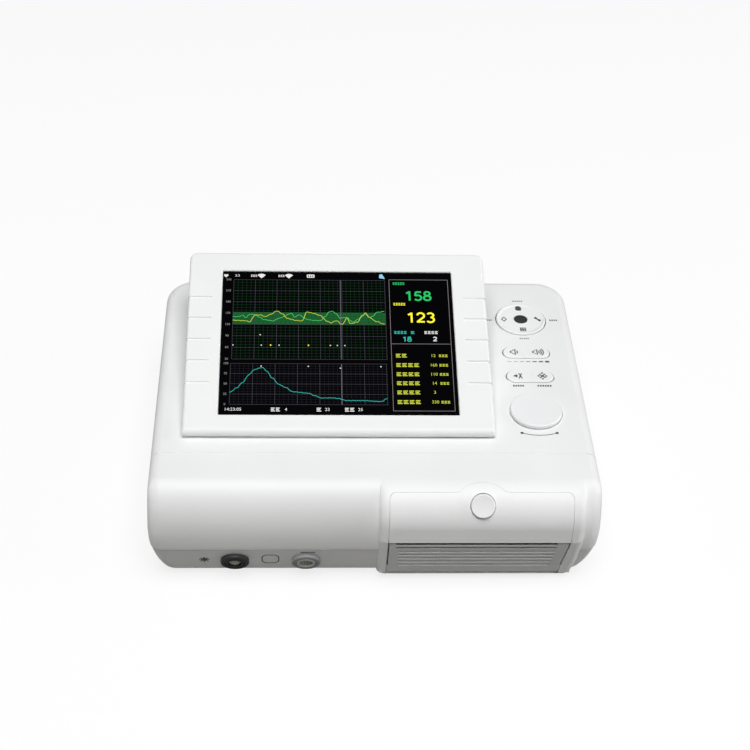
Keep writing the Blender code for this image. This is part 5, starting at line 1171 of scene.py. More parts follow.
@dataclass
class CaseShells:
    """The base, the front cover and the top cover, with every opening and their lapped seams."""

    form: CaseForm
    bench: Bench
    seam_setback: float = 0.0474
    lip_inset: float = 0.0003
    parting_inset: float = 0.0015
    lip_wall: float = 0.0008
    lip_reach: float = 0.0016
    close_gap: float = 0.0001
    door_gap: float = 0.00018
    front_gap: float = 0.0004
    floor_wall: float = 0.0025
    recess: tuple[float, float, float, float] = (-0.1237, 0.0767, -0.053, 0.0864)
    recess_radius: float = 0.006
    recess_floor: float = 0.0709
    hinge_x: tuple[float, float] = (-0.098, 0.051)
    axis_y: float = -0.0568
    notch_half: float = 0.0066
    notch_depth: float = 0.0018
    notch_back: float = 0.009
    opening_edge: float = 0.0002
    key_gap: float = 0.0006
    column_x: float = 0.1118
    nav: Flat = (0.0712, 0.018)
    knob: Flat = (-0.0319, 0.0178)
    knob_well: float = 0.0012
    collar_radius: float = 0.0046
    rocker_y: tuple[float, float] = (0.0325, 0.0057)
    rocker_size: Flat = (0.0332, 0.0120)
    vent_count: int = 9
    vent_pitch: float = 0.007
    vent_size: Flat = (0.0028, 0.016)
    vent_low: float = 0.050
    door_axis: Flat = (-0.108694, 0.011)
    barrel: float = 0.003
    boss_length: float = 0.0037
    boss_front: float = 0.002
    boss_back: float = 0.005
    boss_rise: float = 0.005
    pin_radius: float = 0.0018
    slot_height: float = 0.003
    swing_room: Flat = (0.0052, 0.0005)

    def build(self) -> None:
        """Builds the three shells."""
        self.front_cover()
        self.top_cover()
        self.base()

    def lip(self, name: str, rings: Callable[[float], list[list[Point]]]) -> bpy.types.Object:
        """Makes a thin shell just inside a form's skin, for the tongue of a lapped seam."""
        outer = self.bench.loft(name, rings(self.lip_inset))
        return self.bench.cut(outer, self.bench.loft(name + "_room", rings(self.lip_inset + self.lip_wall)))

    def front_cover(self) -> None:
        """The front of the upper case with its round nose, and the bulge round the printer's door."""
        form, bench = self.form, self.bench
        seam = form.front + self.seam_setback - form.seam_gap / 2
        cover = bench.loft("front_cover_shell", form.upper_rings())
        bench.trim(cover, (0.0, seam, 0.0), (0.0, 1.0, 0.0))
        bench.add(cover, bench.loft("bulge", form.bulge_rings()))
        bench.cut(
            cover,
            bench.loft("cover_room", form.upper_rings(form.wall)),
            bench.loft("bulge_room", form.bulge_rings(form.wall)),
            bench.plate("door_opening", form.door_outline(self.door_gap), form.slot_top, form.deck + OVERRUN),
            bench.prism(
                "door_opening_below",
                form.front_outline(
                    self.door_axis[1] - self.barrel - self.key_gap, form.slot_top + self.slot_height, self.front_gap
                ),
                form.front - OVERRUN,
                form.bulge_back,
            ),
        )
        y, z = self.door_axis
        for edge, wall in ((form.door_left - GAP, -1.0), (form.door_right + GAP, 1.0)):
            inner = edge
            outer = edge + wall * (GAP + self.boss_length)
            boss = bench.box(
                "door_boss",
                (min(inner, outer), y - self.boss_front, z - self.barrel),
                (max(inner, outer), y + self.boss_back, z + self.boss_rise),
            )
            bench.add(cover, boss)
            start, end = inner - wall * 2 * OVERRUN, outer - wall * GAP
            bore = bench.rod("door_bore", self.pin_radius, (start, y, z), (end, y, z), 24)
            bench.cut(cover, bore)
        radius, play = self.swing_room
        end = form.front_right(z) + play
        bench.cut(cover, bench.rod("swing_room", radius, (end - form.wall, y, z), (end, y, z), 48))
        bench.hand_over(cover, WHITE_CASE, "case", ["front_cover"])

    def top_cover(self) -> None:
        """The deck with its screen well, key openings and vents."""
        form, bench = self.form, self.bench
        seam = form.front + self.seam_setback + form.seam_gap / 2
        cover = bench.loft("top_cover_shell", form.upper_rings())
        bench.trim(cover, (0.0, seam, 0.0), (0.0, -1.0, 0.0))
        bench.cut(cover, bench.loft("top_room", form.upper_rings(form.wall)))
        left, right, front, back = self.recess
        grow = form.wall
        tub = rounded(left - grow, right + grow, front - grow, back + grow, self.recess_radius + grow)
        bench.add(cover, bench.plate("well_tub", tub, self.recess_floor - grow, form.deck - grow / 2))
        well = rounded(left, right, front, back, self.recess_radius)
        bench.cut(cover, bench.plate("well", well, self.recess_floor, form.deck + OVERRUN))
        for x in self.hinge_x:
            notch = bench.box(
                "deck_notch",
                (x - self.notch_half, self.axis_y, form.deck - self.notch_depth),
                (x + self.notch_half, self.axis_y + self.notch_back, form.deck + OVERRUN),
            )
            bench.cut(cover, notch)
        x, above, below = self.column_x, form.deck + OVERRUN, form.deck - form.wall - OVERRUN
        for (y, radius), low in ((self.nav, below), (self.knob, form.deck - self.knob_well)):
            bench.cut(cover, bench.rod("key_opening", radius + self.key_gap, (x, y, low), (x, y, above), 96))
        y = self.knob[0]
        bench.cut(cover, bench.rod("collar_opening", self.collar_radius + self.key_gap, (x, y, below), (x, y, above)))
        length, width = self.rocker_size
        half, reach = width / 2 + self.key_gap, length / 2 + self.key_gap
        for y in self.rocker_y:
            outline = rounded(x - reach, x + reach, y - half, y + half, half - self.close_gap)
            bench.cut(cover, bench.plate("rocker_opening", outline, below, above))
        vent_width, vent_height = self.vent_size
        for i in range(self.vent_count):
            x = (i - (self.vent_count - 1) / 2) * self.vent_pitch
            vent = bench.box(
                "vent",
                (x - vent_width / 2, form.back - form.wall - OVERRUN, self.vent_low),
                (x + vent_width / 2, form.back + OVERRUN, self.vent_low + vent_height),
            )
            bench.cut(cover, vent)

        def on_deck(a: Vector, b: Vector) -> bool:
            """Tells whether an edge lies on the deck, away from its outer edge."""
            inside = all(abs(p.x) < form.right - form.deck_edge * 1.3 and p.y < form.back - form.deck_edge * 1.3 for p in (a, b))
            level = all(abs(p.z - form.deck) < 1e-6 and p.y > seam + form.wall for p in (a, b))
            return inside and level

        bench.round_chosen(cover, on_deck, self.opening_edge)
        tongue = self.lip("seam_tongue", form.upper_rings)
        bench.trim(tongue, (0.0, seam + self.lip_reach, 0.0), (0.0, 1.0, 0.0))
        bench.trim(tongue, (0.0, seam - self.lip_reach, 0.0), (0.0, -1.0, 0.0))
        bench.trim(tongue, (0.0, 0.0, form.parting + form.parting_gap), (0.0, 0.0, -1.0))
        cover = bench.join("top_cover_shell", [cover, tongue])
        bench.hand_over(cover, WHITE_CASE, "case", ["top_cover"])

    def base(self) -> None:
        """The lower case: leaning front band, tucked flanks, floor, bosses and every opening."""
        form, bench = self.form, self.bench
        base = bench.loft("base_shell", form.base_rings())
        bench.cut(
            base,
            bench.loft("base_room", form.base_rings(form.wall)),
            bench.loft("bulge_clearance", form.bulge_rings(-self.close_gap, 0.0)),
        )
        bosses = [
            ("main_board", 0.008), ("power_board", 0.008),
        ]
        for node, margin in bosses:
            low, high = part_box(node)
            top = low.z - GAP
            rods = [
                bench.rod("board_boss", 0.0035, (x, y, form.foot + form.wall / 2), (x, y, top), 24)
                for x in (low.x + margin, high.x - margin)
                for y in (low.y + margin, high.y - margin)
            ]
            for rod in rods:
                bench.add(base, rod)
        battery_low, battery_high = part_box("battery_door")
        outline = rounded(
            battery_low.x - GAP, battery_high.x + GAP, battery_low.y - GAP, battery_high.y + GAP, 0.0033
        )
        bench.cut(base, bench.plate("battery_opening", outline, 0.0, form.foot + self.floor_wall + OVERRUN))
        for name in ("foot_front_left", "foot_front_right", "foot_back_left", "foot_back_right"):
            low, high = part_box(name)
            x, y = (low.x + high.x) / 2, (low.y + high.y) / 2
            radius = (high.x - low.x) / 2 + GAP
            bench.cut(base, bench.rod("foot_seat", radius, (x, y, 0.0), (x, y, form.foot + 0.0012)))
        for x, radius in ((-0.0926, 0.0066), (-0.0453, 0.0066), (-0.113, 0.0023)):
            place = band_place(form, x)
            start, end = place @ Vector((0.0, 0.0, -OVERRUN)), place @ Vector((0.0, 0.0, OVERRUN))
            bench.cut(base, bench.rod("band_hole", radius, start, end, 64))
        for node in ("power_inlet", "switch_housing", "data_port"):
            low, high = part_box(node)
            hole = bench.box(
                "rear_hole",
                (low.x - GAP, form.back - form.wall - OVERRUN, low.z - GAP),
                (high.x + GAP, form.back + OVERRUN, high.z + GAP),
            )
            bench.cut(base, hole)
        low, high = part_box("speaker")
        middle_x, middle_y = (low.x + high.x) / 2, (low.y + high.y) / 2
        for i in range(5):
            x = middle_x + (i - 2) * 0.0055
            slot = rounded(x - 0.0011, x + 0.0011, middle_y - 0.013, middle_y + 0.013, 0.00109)
            bench.cut(base, bench.plate("grille_slot", slot, 0.0, form.foot + self.floor_wall + OVERRUN))
        levels = (form.parting - self.lip_reach, form.parting + self.lip_reach)

        def tongue_rings(inset: float) -> list[list[Point]]:
            """Gives the rings of the tongue that stands up inside the parting."""
            return [at_height(form.section(form.parting, inset), level) for level in levels]

        tongue = bench.loft("parting_tongue", tongue_rings(self.parting_inset))
        room_inset = self.parting_inset + self.lip_wall
        room = [at_height(form.section(form.parting, room_inset), height) for height in (0.0, form.deck)]
        bench.cut(tongue, bench.loft("tongue_room", room))
        bench.cut(tongue, bench.loft("tongue_bulge", form.bulge_rings(-self.close_gap, 0.0)))
        base = bench.join("base_shell", [base, tongue])
        bench.hand_over(base, WHITE_CASE, "case", ["base_housing"])


def band_place(form: CaseForm, x: float, height: float = 0.020) -> Matrix:
    """Returns a place on the leaning front band, whose Z points straight out of it."""
    y = form.nose + form.chin + form.base_setback + (form.parting - height) * math.tan(form.band_lean)
    return Matrix.Translation((x, y, height)) @ Matrix.Rotation(QUARTER_TURN + form.band_lean, 4, "X")


# The printer's door and what shows of the printer

@dataclass
class PrinterDoor:
    """The door's curved cover, its ribbed front with the barrel, and the release button."""

    form: CaseForm
    bench: Bench
    wall: float = 0.0022
    axis: Flat = (-0.108694, 0.011)
    barrel: float = 0.003
    pin_radius: float = 0.0018
    pin_reach: float = 0.0066
    slot: Flat = (0.0136, 0.1201)
    slot_height: float = 0.003
    lip_gap: float = 0.0012
    lip_wall: float = 0.0006
    lip_fall: float = 0.004
    rib_count: int = 5
    rib_pitch: float = 0.00425
    rib_first: float = 0.0112
    rib_width: float = 0.0019
    rib_depth: float = 0.0007
    rib_edge: float = 0.0004
    rib_margins: Flat = (0.0072, 0.0078)
    latch_drop: float = 0.0085
    latch_lean: float = math.radians(38)
    latch_play: float = 0.0004
    latch_radius: float = 0.0080
    latch_proud: float = 0.0016
    latch_length: float = 0.0038
    latch_edge: float = 0.0009
    latch_dish: float = 0.0004

    def build(self) -> None:
        """Builds the door's two shells and the button."""
        self.cover()
        self.front()
        self.button()

    def latch_place(self) -> Matrix:
        """Returns the button's place on the bulge's nose, whose Z points straight out of it."""
        height = self.form.deck - self.latch_drop
        where = (self.form.latch_x, self.form.bulge_front(height), height)
        return Matrix.Translation(where) @ Matrix.Rotation(QUARTER_TURN - self.latch_lean, 4, "X")

    def cover(self) -> None:
        """The door's upper shell, with the hole for the button."""
        form, bench = self.form, self.bench
        cover = bench.loft("door_cover_shell", form.bulge_rings())
        bounds = bench.plate("door_bounds", form.door_outline(0.0), form.slot_top, form.deck + OVERRUN)
        bench.combine(cover, "INTERSECT", bounds)
        bench.cut(cover, bench.loft("door_room", form.bulge_rings(self.wall)))
        place = self.latch_place()
        reach = 2 * OVERRUN
        start, end = place @ Vector((0.0, 0.0, -reach)), place @ Vector((0.0, 0.0, reach))
        bench.cut(cover, bench.rod("latch_hole", self.latch_radius + self.latch_play, start, end, 96))
        bench.hand_over(cover, WHITE_DOOR, "door", ["door_cover"])

    def front(self) -> None:
        """The door's leaning front: ribs, paper slot and hinge barrel."""
        form, bench = self.form, self.bench
        y, z = self.axis
        front = bench.loft("door_front_shell", form.bulge_rings())
        outline = form.panel_outline(z, form.slot_top - self.lip_gap)
        bounds = bench.prism("front_bounds", outline, form.front - OVERRUN, form.bulge_back)
        bench.combine(front, "INTERSECT", bounds)
        bench.cut(front, bench.loft("front_room", form.bulge_rings(self.wall)))
        end = form.front_right(z) - GAP
        barrel = bench.rod("barrel", self.barrel, (form.door_left + GAP, y, z), (end, y, z), 40)
        bench.add(front, barrel)
        slot_low = form.slot_top - self.slot_height
        left, right = self.slot
        behind = form.front + self.lip_wall + (form.slot_top - slot_low) * math.tan(form.door_lean)
        bench.cut(
            front,
            bench.box("slot", (left, form.front - OVERRUN, slot_low), (right, form.bulge_back, form.deck)),
            bench.box(
                "slot_relief", (left, behind, slot_low - self.lip_fall), (right, form.bulge_back, form.deck)
            ),
            bench.box(
                "edge_relief",
                (form.door_left - GAP, form.front + self.lip_wall, slot_low),
                (form.door_right + GAP, form.bulge_back, form.deck),
            ),
        )
        for i in range(self.rib_count):
            height = form.slot_top - self.rib_first - i * self.rib_pitch
            face = form.bulge_front(height)
            ends = (form.door_left + self.rib_margins[0], form.front_right(height) - self.rib_margins[1])
            half = self.rib_width / 2
            near, edge, deep = face - OVERRUN, face, face + self.rib_depth
            profile = [
                (near, -half - self.rib_edge), (edge, -half - self.rib_edge), (edge + self.rib_edge, -half),
                (deep, -half), (deep, half), (edge + self.rib_edge, half), (edge, half + self.rib_edge),
                (near, half + self.rib_edge),
            ]
            rings = [[(x, depth, height + rise) for depth, rise in profile] for x in ends]
            bench.cut(front, bench.loft("rib_groove", rings))
        for edge, way in ((form.door_left, 1.0), (form.door_right, -1.0)):
            first, last = (edge - way * OVERRUN, y, z), (edge + way * self.pin_reach, y, z)
            bench.cut(front, bench.rod("pin_bore", self.pin_radius, first, last, 24))
        bench.hand_over(front, RIB_GREY, "door", ["door_front"])

    def button(self) -> None:
        """The round release button, slightly dished, with a soft edge."""
        bench, radius, edge = self.bench, self.latch_radius, self.latch_edge
        top, low = self.latch_proud, self.latch_proud - self.latch_length
        profile = [(radius, low)]
        for i in range(7):
            turn = QUARTER_TURN * i / 6
            profile.append((radius - edge * (1 - math.cos(turn)), top - edge + edge * math.sin(turn)))
        inner = radius - edge
        for share in (0.8, 0.5, 0.2, 0.02):
            profile.append((inner * share, top - self.latch_dish * (1 - share * share)))
        button = bench.turned("release_button", profile)
        button.data.transform(self.latch_place())
        bench.hand_over(button, WHITE_DOOR, "latch", ["latch_button"])


# The tilting screen

@dataclass
class Picture:
    """What the lit screen shows: two plots, rows of figures and plain bars where words would be."""

    bench: Bench
    place: Matrix
    width: float = 0.162
    height: float = 0.1215
    thick: float = 0.00003
    made: dict[str, list[bpy.types.Object]] = field(default_factory=dict)
    finishes: dict[str, Glow] = field(default_factory=dict)
    upper_plot: tuple[float, float, float, float] = (0.0080, 0.0457, 0.1145, 0.1140)
    lower_plot: tuple[float, float, float, float] = (0.0074, 0.0086, 0.1145, 0.0420)
    major_step: float = 0.0152
    minor_parts: int = 5
    upper_rows: int = 7
    lower_rows: int = 4
    line: float = 0.0003
    fine_line: float = 0.00018
    band: Flat = (0.0753, 0.0856)
    scan_x: float = 0.0830
    right_box: tuple[float, float, float, float] = (0.1174, 0.0036, 0.1593, 0.1150)
    divider: float = 0.0589

    def keep(self, name: str, finish: Glow, obj: bpy.types.Object) -> None:
        """Sorts an element under the piece that it belongs to."""
        self.made.setdefault(name, []).append(obj)
        self.finishes[name] = finish

    def bar(self, name: str, finish: Glow, low: Flat, high: Flat, layer: int) -> None:
        """Adds a flat bar between two corners, on one of the picture's layers."""
        base = layer * self.thick
        obj = self.bench.box(name, (*low, base), (*high, base + self.thick))
        self.keep(name, finish, obj)

    def figures(self, name: str, finish: Glow, words: str, size: float, middle: Flat, bold: float = 0.0) -> None:
        """Adds plain figures about a middle."""
        self.keep(name, finish, self.bench.text(name, words, size, middle, 5 * self.thick, bold))

    @staticmethod
    def sweep(middle: Flat, reach: Flat, start: float, end: float) -> list[Flat]:
        """Returns points along part of an ellipse, with its angles in degrees."""
        turns = [math.radians(start + (end - start) * i / 16) for i in range(17)]
        return [(middle[0] + reach[0] * math.cos(t), middle[1] + reach[1] * math.sin(t)) for t in turns]

    def strokes(self, digit: str) -> list[list[Flat]]:
        """Returns a large figure's strokes, in shares of its width and height."""
        shapes = {
            "1": [[(0.18, 0.76), (0.56, 0.96)], [(0.56, 1.0), (0.56, 0.0)]],
            "2": [self.sweep((0.48, 0.70), (0.38, 0.27), 170, -35) + [(0.10, 0.08)], [(0.04, 0.08), (0.92, 0.08)]],
            "3": [self.sweep((0.46, 0.75), (0.35, 0.21), 150, -80), self.sweep((0.46, 0.29), (0.40, 0.25), 85, -150)],
            "5": [[(0.86, 0.92), (0.22, 0.92)], [(0.24, 0.94), (0.14, 0.50)],
                  self.sweep((0.46, 0.31), (0.40, 0.27), 135, -150)],
            "8": [self.sweep((0.48, 0.75), (0.32, 0.20), 90, 450), self.sweep((0.48, 0.28), (0.40, 0.24), 90, 450)],
        }
        return shapes[digit]

    def large_figures(self, name: str, finish: Glow, digits: str, low: Flat, high: Flat, weight: float) -> None:
        """Adds large bold figures between two corners.

        Args:
            name: The piece that they belong to.
            finish: Their colour.
            digits: The figures.
            low: Their lower left corner.
            high: Their upper right corner.
            weight: The width of their strokes.
        """
        pitch, tall = (high[0] - low[0]) / len(digits), high[1] - low[1]
        for i, digit in enumerate(digits):
            for line in self.strokes(digit):
                points = [(low[0] + (i + 0.92 * u) * pitch, low[1] + v * tall) for u, v in line]
                self.trace(name, finish, points, weight, 5)

    def trace(self, name: str, finish: Glow, points: Sequence[Flat], width: float, layer: int) -> None:
        """Adds a curve of a plot."""
        self.keep(name, finish, self.bench.strip(name, points, width, layer * self.thick, self.thick))

    def comb(
        self, name: str, finish: Glow, low: Flat, high: Flat, step: Flat, count: int, layer: int
    ) -> None:
        """Adds a row of equal bars: one is modelled, and an array repeats it.

        Args:
            name: The piece that the bars belong to.
            finish: Their colour.
            low: The first bar's lower left corner.
            high: Its upper right corner.
            step: The way from one bar to the next.
            count: How many bars there are.
            layer: The layer that they lie on.
        """
        base = layer * self.thick
        obj = self.bench.box(name, (*low, base), (*high, base + self.thick))
        self.bench.pick(obj)
        bpy.ops.object.modifier_add(type="ARRAY")
        modifier = obj.modifiers[-1]
        modifier.count = count
        modifier.use_relative_offset = False
        modifier.use_constant_offset = True
        modifier.constant_offset_displace = (step[0], step[1], 0.0)
        bpy.ops.object.modifier_apply(modifier=modifier.name)
        self.keep(name, finish, obj)

    def grid(self, plot: tuple[float, float, float, float], rows: int, fine: Glow, prefix: str) -> None:
        """Adds a plot's fine and main grid lines.

        Args:
            plot: The plot's left, bottom, right and top.
            rows: How many rows its main lines make.
            fine: The colour of its fine lines.
            prefix: The start of the pieces' names.
        """
        left, low, right, high = plot
        half, thin = self.line / 2, self.fine_line / 2
        fine_step = self.major_step / self.minor_parts
        count = int((right - left) / fine_step) + 1
        self.comb(prefix + "_fine_grid", fine, (left - thin, low), (left + thin, high), (fine_step, 0.0), count, 1)
        row = (high - low) / rows
        fine_row = row / 4
        self.comb(
            prefix + "_fine_grid", fine, (left, low - thin), (right, low + thin), (0.0, fine_row), 4 * rows + 1, 1
        )
        count = int((right - left) / self.major_step) + 1
        self.comb(
            prefix + "_main_grid", MAJOR_GLOW, (left - half, low), (left + half, high), (self.major_step, 0.0), count, 2
        )
        self.comb(prefix + "_main_grid", MAJOR_GLOW, (left, low - half), (right, low + half), (0.0, row), rows + 1, 2)

    @staticmethod
    def wander(knots: Sequence[Flat], span: Flat, reach: Flat, jitter: float, steps: int) -> list[Flat]:
        """Draws a smooth line through knots given as shares, with a small regular shiver.

        Args:
            knots: The line's knots, as shares of the span and the reach.
            span: Where the line starts and ends.
            reach: The values at share 0 and share 1.
            jitter: The shiver's height.
            steps: How many points the line gets.

        Returns:
            The line's points.
        """
        points = []
        for i in range(steps + 1):
            share = i / steps
            after = next((k for k in range(1, len(knots)) if knots[k][0] >= share), len(knots) - 1)
            (x0, y0), (x1, y1) = knots[after - 1], knots[after]
            part = min(max((share - x0) / (x1 - x0), 0.0), 1.0)
            value = y0 + (y1 - y0) * part * part * (3 - 2 * part)
            shiver = jitter * (math.sin(share * 211.0) + 0.7 * math.sin(share * 397.0 + 1.0)) / 1.7
            points.append((span[0] + (span[1] - span[0]) * share, reach[0] + (reach[1] - reach[0]) * value + shiver))
        return points

    def plots(self) -> None:
        """The two plots with their grids, band, curves, marks and axis figures."""
        self.grid(self.upper_plot, self.upper_rows, MINOR_GREEN_GLOW, "upper")
        self.grid(self.lower_plot, self.lower_rows, MINOR_GREY_GLOW, "lower")
        left, low, right, high = self.upper_plot
        self.bar("rate_band", BAND_GLOW, (left, self.band[0]), (right, self.band[1]), 0)
        for bottom, top in ((self.lower_plot[1], self.lower_plot[3]), (self.upper_plot[1], self.upper_plot[3])):
            self.bar("scan_line", SCAN_GLOW, (self.scan_x - 0.00025, bottom), (self.scan_x + 0.00025, top), 2)
        yellow_shares = (
            (0.0, 0.30), (0.08, 0.27), (0.11, 0.18), (0.145, 0.74), (0.18, 0.76), (0.215, 0.62), (0.245, 0.80),
            (0.29, 1.10), (0.325, 0.86), (0.36, 0.47), (0.42, 0.31), (0.455, 0.27), (0.487, 1.03), (0.53, 0.93),
            (0.575, 0.74), (0.62, 0.27), (0.645, 0.13), (0.68, 0.31), (0.72, 0.0), (0.752, 0.53), (0.775, 0.07),
            (0.82, 0.20), (0.855, 0.74), (0.877, 0.98), (0.90, 0.60), (0.945, 0.27), (1.0, 0.04),
        )
        green_shares = (
            (0.0, 0.60), (0.04, 0.62), (0.065, 0.73), (0.085, 0.53), (0.11, 0.80), (0.145, 0.80), (0.17, 0.60),
            (0.21, 0.36), (0.265, 0.27), (0.30, 0.47), (0.33, 0.60), (0.36, 0.80), (0.385, 0.93), (0.405, 0.60),
            (0.44, 0.80), (0.46, 0.60), (0.49, 0.40), (0.535, 0.33), (0.575, 0.31), (0.61, 0.67), (0.63, 1.0),
            (0.65, 1.11), (0.68, 0.93), (0.705, 0.53), (0.75, 0.60), (0.79, 0.20), (0.83, 0.47), (0.855, 0.80),
            (0.875, 0.87), (0.90, 0.60), (0.93, 0.73), (0.945, 1.03), (1.0, 1.11),
        )
        span = (left, right - 0.0010)
        green = self.wander(green_shares, span, self.band, 0.0003, 180)
        yellow = self.wander(yellow_shares, span, self.band, 0.0003, 180)
        self.trace("rate_trace_one", GREEN_TRACE_GLOW, green, 0.00042, 3)
        self.trace("rate_trace_two", YELLOW_TRACE_GLOW, yellow, 0.00042, 4)
        teal_shares = (
            (0.0, 0.29), (0.045, 0.40), (0.08, 0.53), (0.12, 0.72), (0.15, 0.84), (0.185, 0.885), (0.205, 0.905),
            (0.23, 0.82), (0.27, 0.64), (0.31, 0.49), (0.35, 0.42), (0.40, 0.31), (0.50, 0.275), (0.54, 0.215),
            (0.58, 0.16), (0.65, 0.165), (0.69, 0.15), (0.74, 0.10), (0.85, 0.10), (0.96, 0.08), (1.0, 0.15),
        )
        left, low, right, high = self.lower_plot
        curve = self.wander(teal_shares, (left, right - 0.0008), (low, high), 0.00022, 180)
        self.trace("toco_trace", TEAL_GLOW, curve, 0.0004, 3)
        for x in (0.0087, 0.0281, 0.0403, 0.0756, 0.0804, 0.0856):
            self.bar("event_dots", WHITE_GLOW, (x - 0.0004, 0.0570), (x + 0.0004, 0.0578), 3)
        for x in (0.0345, 0.0605):
            self.bar("yellow_dots", YELLOW_GLOW, (x - 0.0004, 0.0568), (x + 0.0004, 0.0580), 3)
        for x, y in ((0.0272, 0.0662), (0.0282, 0.0399), (0.0604, 0.0398), (0.0823, 0.0384), (0.1100, 0.0398)):
            self.bar("event_dots", WHITE_GLOW, (x - 0.0004, y - 0.0004), (x + 0.0004, y + 0.0004), 3)
        for i, value in enumerate((240, 210, 180, 150, 120, 90, 60, 30)):
            y = self.upper_plot[3] - i * (self.upper_plot[3] - self.upper_plot[1]) / self.upper_rows
            self.figures("axis_figures", AXIS_GLOW, str(value), 0.0024, (0.0044, y))
        for i, value in enumerate((100, 75, 50, 25, 0)):
            y = self.lower_plot[3] - i * (self.lower_plot[3] - self.lower_plot[1]) / self.lower_rows
            self.figures("axis_figures", AXIS_GLOW, str(value), 0.0024, (0.0042, y))

    def word(self, name: str, finish: Glow, left: float, right: float, y: float, size: float, parts: int) -> None:
        """Adds a word's stand-in: a row of plain blocks, each a stack of three thin bars."""
        pitch = (right - left) / parts
        for i in range(parts):
            start = left + i * pitch
            for row, reach in ((-1, 0.80), (0, 0.62), (1, 0.76)):
                middle = y + row * size * 0.38
                self.bar(name, finish, (start, middle - size * 0.12), (start + pitch * reach, middle + size * 0.12), 3)

    def status_row(self) -> None:
        """The row of small marks along the top of the picture."""
        y = 0.1176
        heart = [(0.0024 + 0.0016 * math.sin(t) ** 3,
                  y + 0.0001 * (13 * math.cos(t) - 5 * math.cos(2 * t) - 2 * math.cos(3 * t) - math.cos(4 * t)))
                 for t in (FULL_TURN * i / 40 + 0.01 for i in range(40))]
        self.keep("status_marks", WHITE_GLOW, self.bench.plate("status_marks", heart, 0.0, 3 * self.thick))
        for middle, half in ((0.0274, 0.0024), (0.0467, 0.0024)):
            fan = [(middle, y - 0.0022)] + arc((middle, y - 0.0022), 0.0040, math.radians(45), math.radians(135), 12)
            self.keep("status_marks", WHITE_GLOW, self.bench.plate("status_marks", fan, 0.0, 3 * self.thick))
            self.word("status_marks", WHITE_GLOW, middle - 0.0075, middle - 0.0028, y, 0.0018, 3)
        self.figures("status_figures", WHITE_GLOW, "2:3", 0.0028, (0.0104, y))
        card = rounded(0.0594, 0.0648, y - 0.0014, y + 0.0014, 0.0005, steps=3)
        self.keep("status_marks", WHITE_GLOW, self.bench.plate("status_marks", card, 0.0, 3 * self.thick))
        for x in (0.0606, 0.0621, 0.0636):
            self.bar("status_gaps", MAJOR_GLOW, (x - 0.0004, y - 0.0009), (x + 0.0004, y + 0.0006), 3)
        bell = [(0.1106, y - 0.0013), (0.1146, y - 0.0021), (0.1142, y - 0.0008), (0.1127, y + 0.0022), (0.1108, y + 0.0017)]
        self.keep("bell_mark", BLUE_GLOW, self.bench.plate("bell_mark", bell, 0.0, 3 * self.thick))

    def right_column(self) -> None:
        """The framed column with the large figures and the rows of settings."""
        left, low, right, high = self.right_box
        edge = 0.0003
        for start, end in (
            ((left, low), (right, low + edge)),
            ((left, high - edge), (right, high)),
            ((left, low), (left + edge, high)),
            ((right - edge, low), (right, high)),
            ((left, self.divider), (right, self.divider + edge)),
        ):
            self.bar("column_frame", FRAME_GLOW, start, end, 2)
        self.word("rate_one_label", GREEN_GLOW, 0.1202, 0.1288, 0.1114, 0.0021, 5)
        self.large_figures("rate_one_figures", GREEN_GLOW, "158", (0.1284, 0.0964), (0.1478, 0.1046), 0.0014)
        self.word("rate_two_label", YELLOW_GLOW, 0.1202, 0.1288, 0.0932, 0.0021, 5)
        self.large_figures("rate_two_figures", YELLOW_GLOW, "123", (0.1290, 0.0773), (0.1496, 0.0858), 0.0014)
        self.word("toco_label", TEAL_GLOW, 0.1200, 0.1290, 0.0687, 0.0023, 4)
        self.word("toco_label", TEAL_GLOW, 0.1316, 0.1346, 0.0687, 0.0023, 1)
        self.large_figures("toco_figures", TEAL_GLOW, "18", (0.1256, 0.0610), (0.1322, 0.0650), 0.0008)
        self.word("movement_label", WHITE_GLOW, 0.1410, 0.1508, 0.0688, 0.0023, 4)
        self.large_figures("movement_figures", WHITE_GLOW, "2", (0.1468, 0.0614), (0.1498, 0.0650), 0.0007)
        rows = ((0.0491, 2, "12"), (0.0412, 4, "160"), (0.0336, 4, "110"), (0.0262, 4, "14"), (0.0187, 4, "3"), (0.0109, 4, "330"))
        for y, parts, value in rows:
            self.word("setting_labels", YELLOW_TRACE_GLOW, 0.1206, 0.1206 + parts * 0.0041, y, 0.0030, parts)
            self.figures("setting_figures", YELLOW_TRACE_GLOW, value, 0.0034, (0.1462, y))
            if len(value) > 1:
                self.word("setting_labels", YELLOW_TRACE_GLOW, 0.1502, 0.1566, y, 0.0020, 3)

    def bottom_row(self) -> None:
        """The row of small groups along the bottom."""
        y = 0.0046
        self.figures("status_figures", WHITE_GLOW, "14:23:05", 0.0034, (0.0098, y))
        for left, right, parts, value in (
            (0.0353, 0.0420, 2, "4"), (0.0660, 0.0698, 1, "23"), (0.0850, 0.0920, 2, "25"),
        ):
            self.word("status_marks", WHITE_GLOW, left, right, y, 0.0030, parts)
            self.figures("status_figures", WHITE_GLOW, value, 0.0034, (right + 0.0034, y))

    def build(self) -> None:
        """Builds the picture, and hands each colour over as its own piece on the screen."""
        self.plots()
        self.status_row()
        self.right_column()
        self.bottom_row()
        for name, objects in self.made.items():
            piece = self.bench.join(name, objects)
            piece.data.transform(self.place)
            self.bench.hand_over(piece, self.finishes[name], "screen", weighted=False)


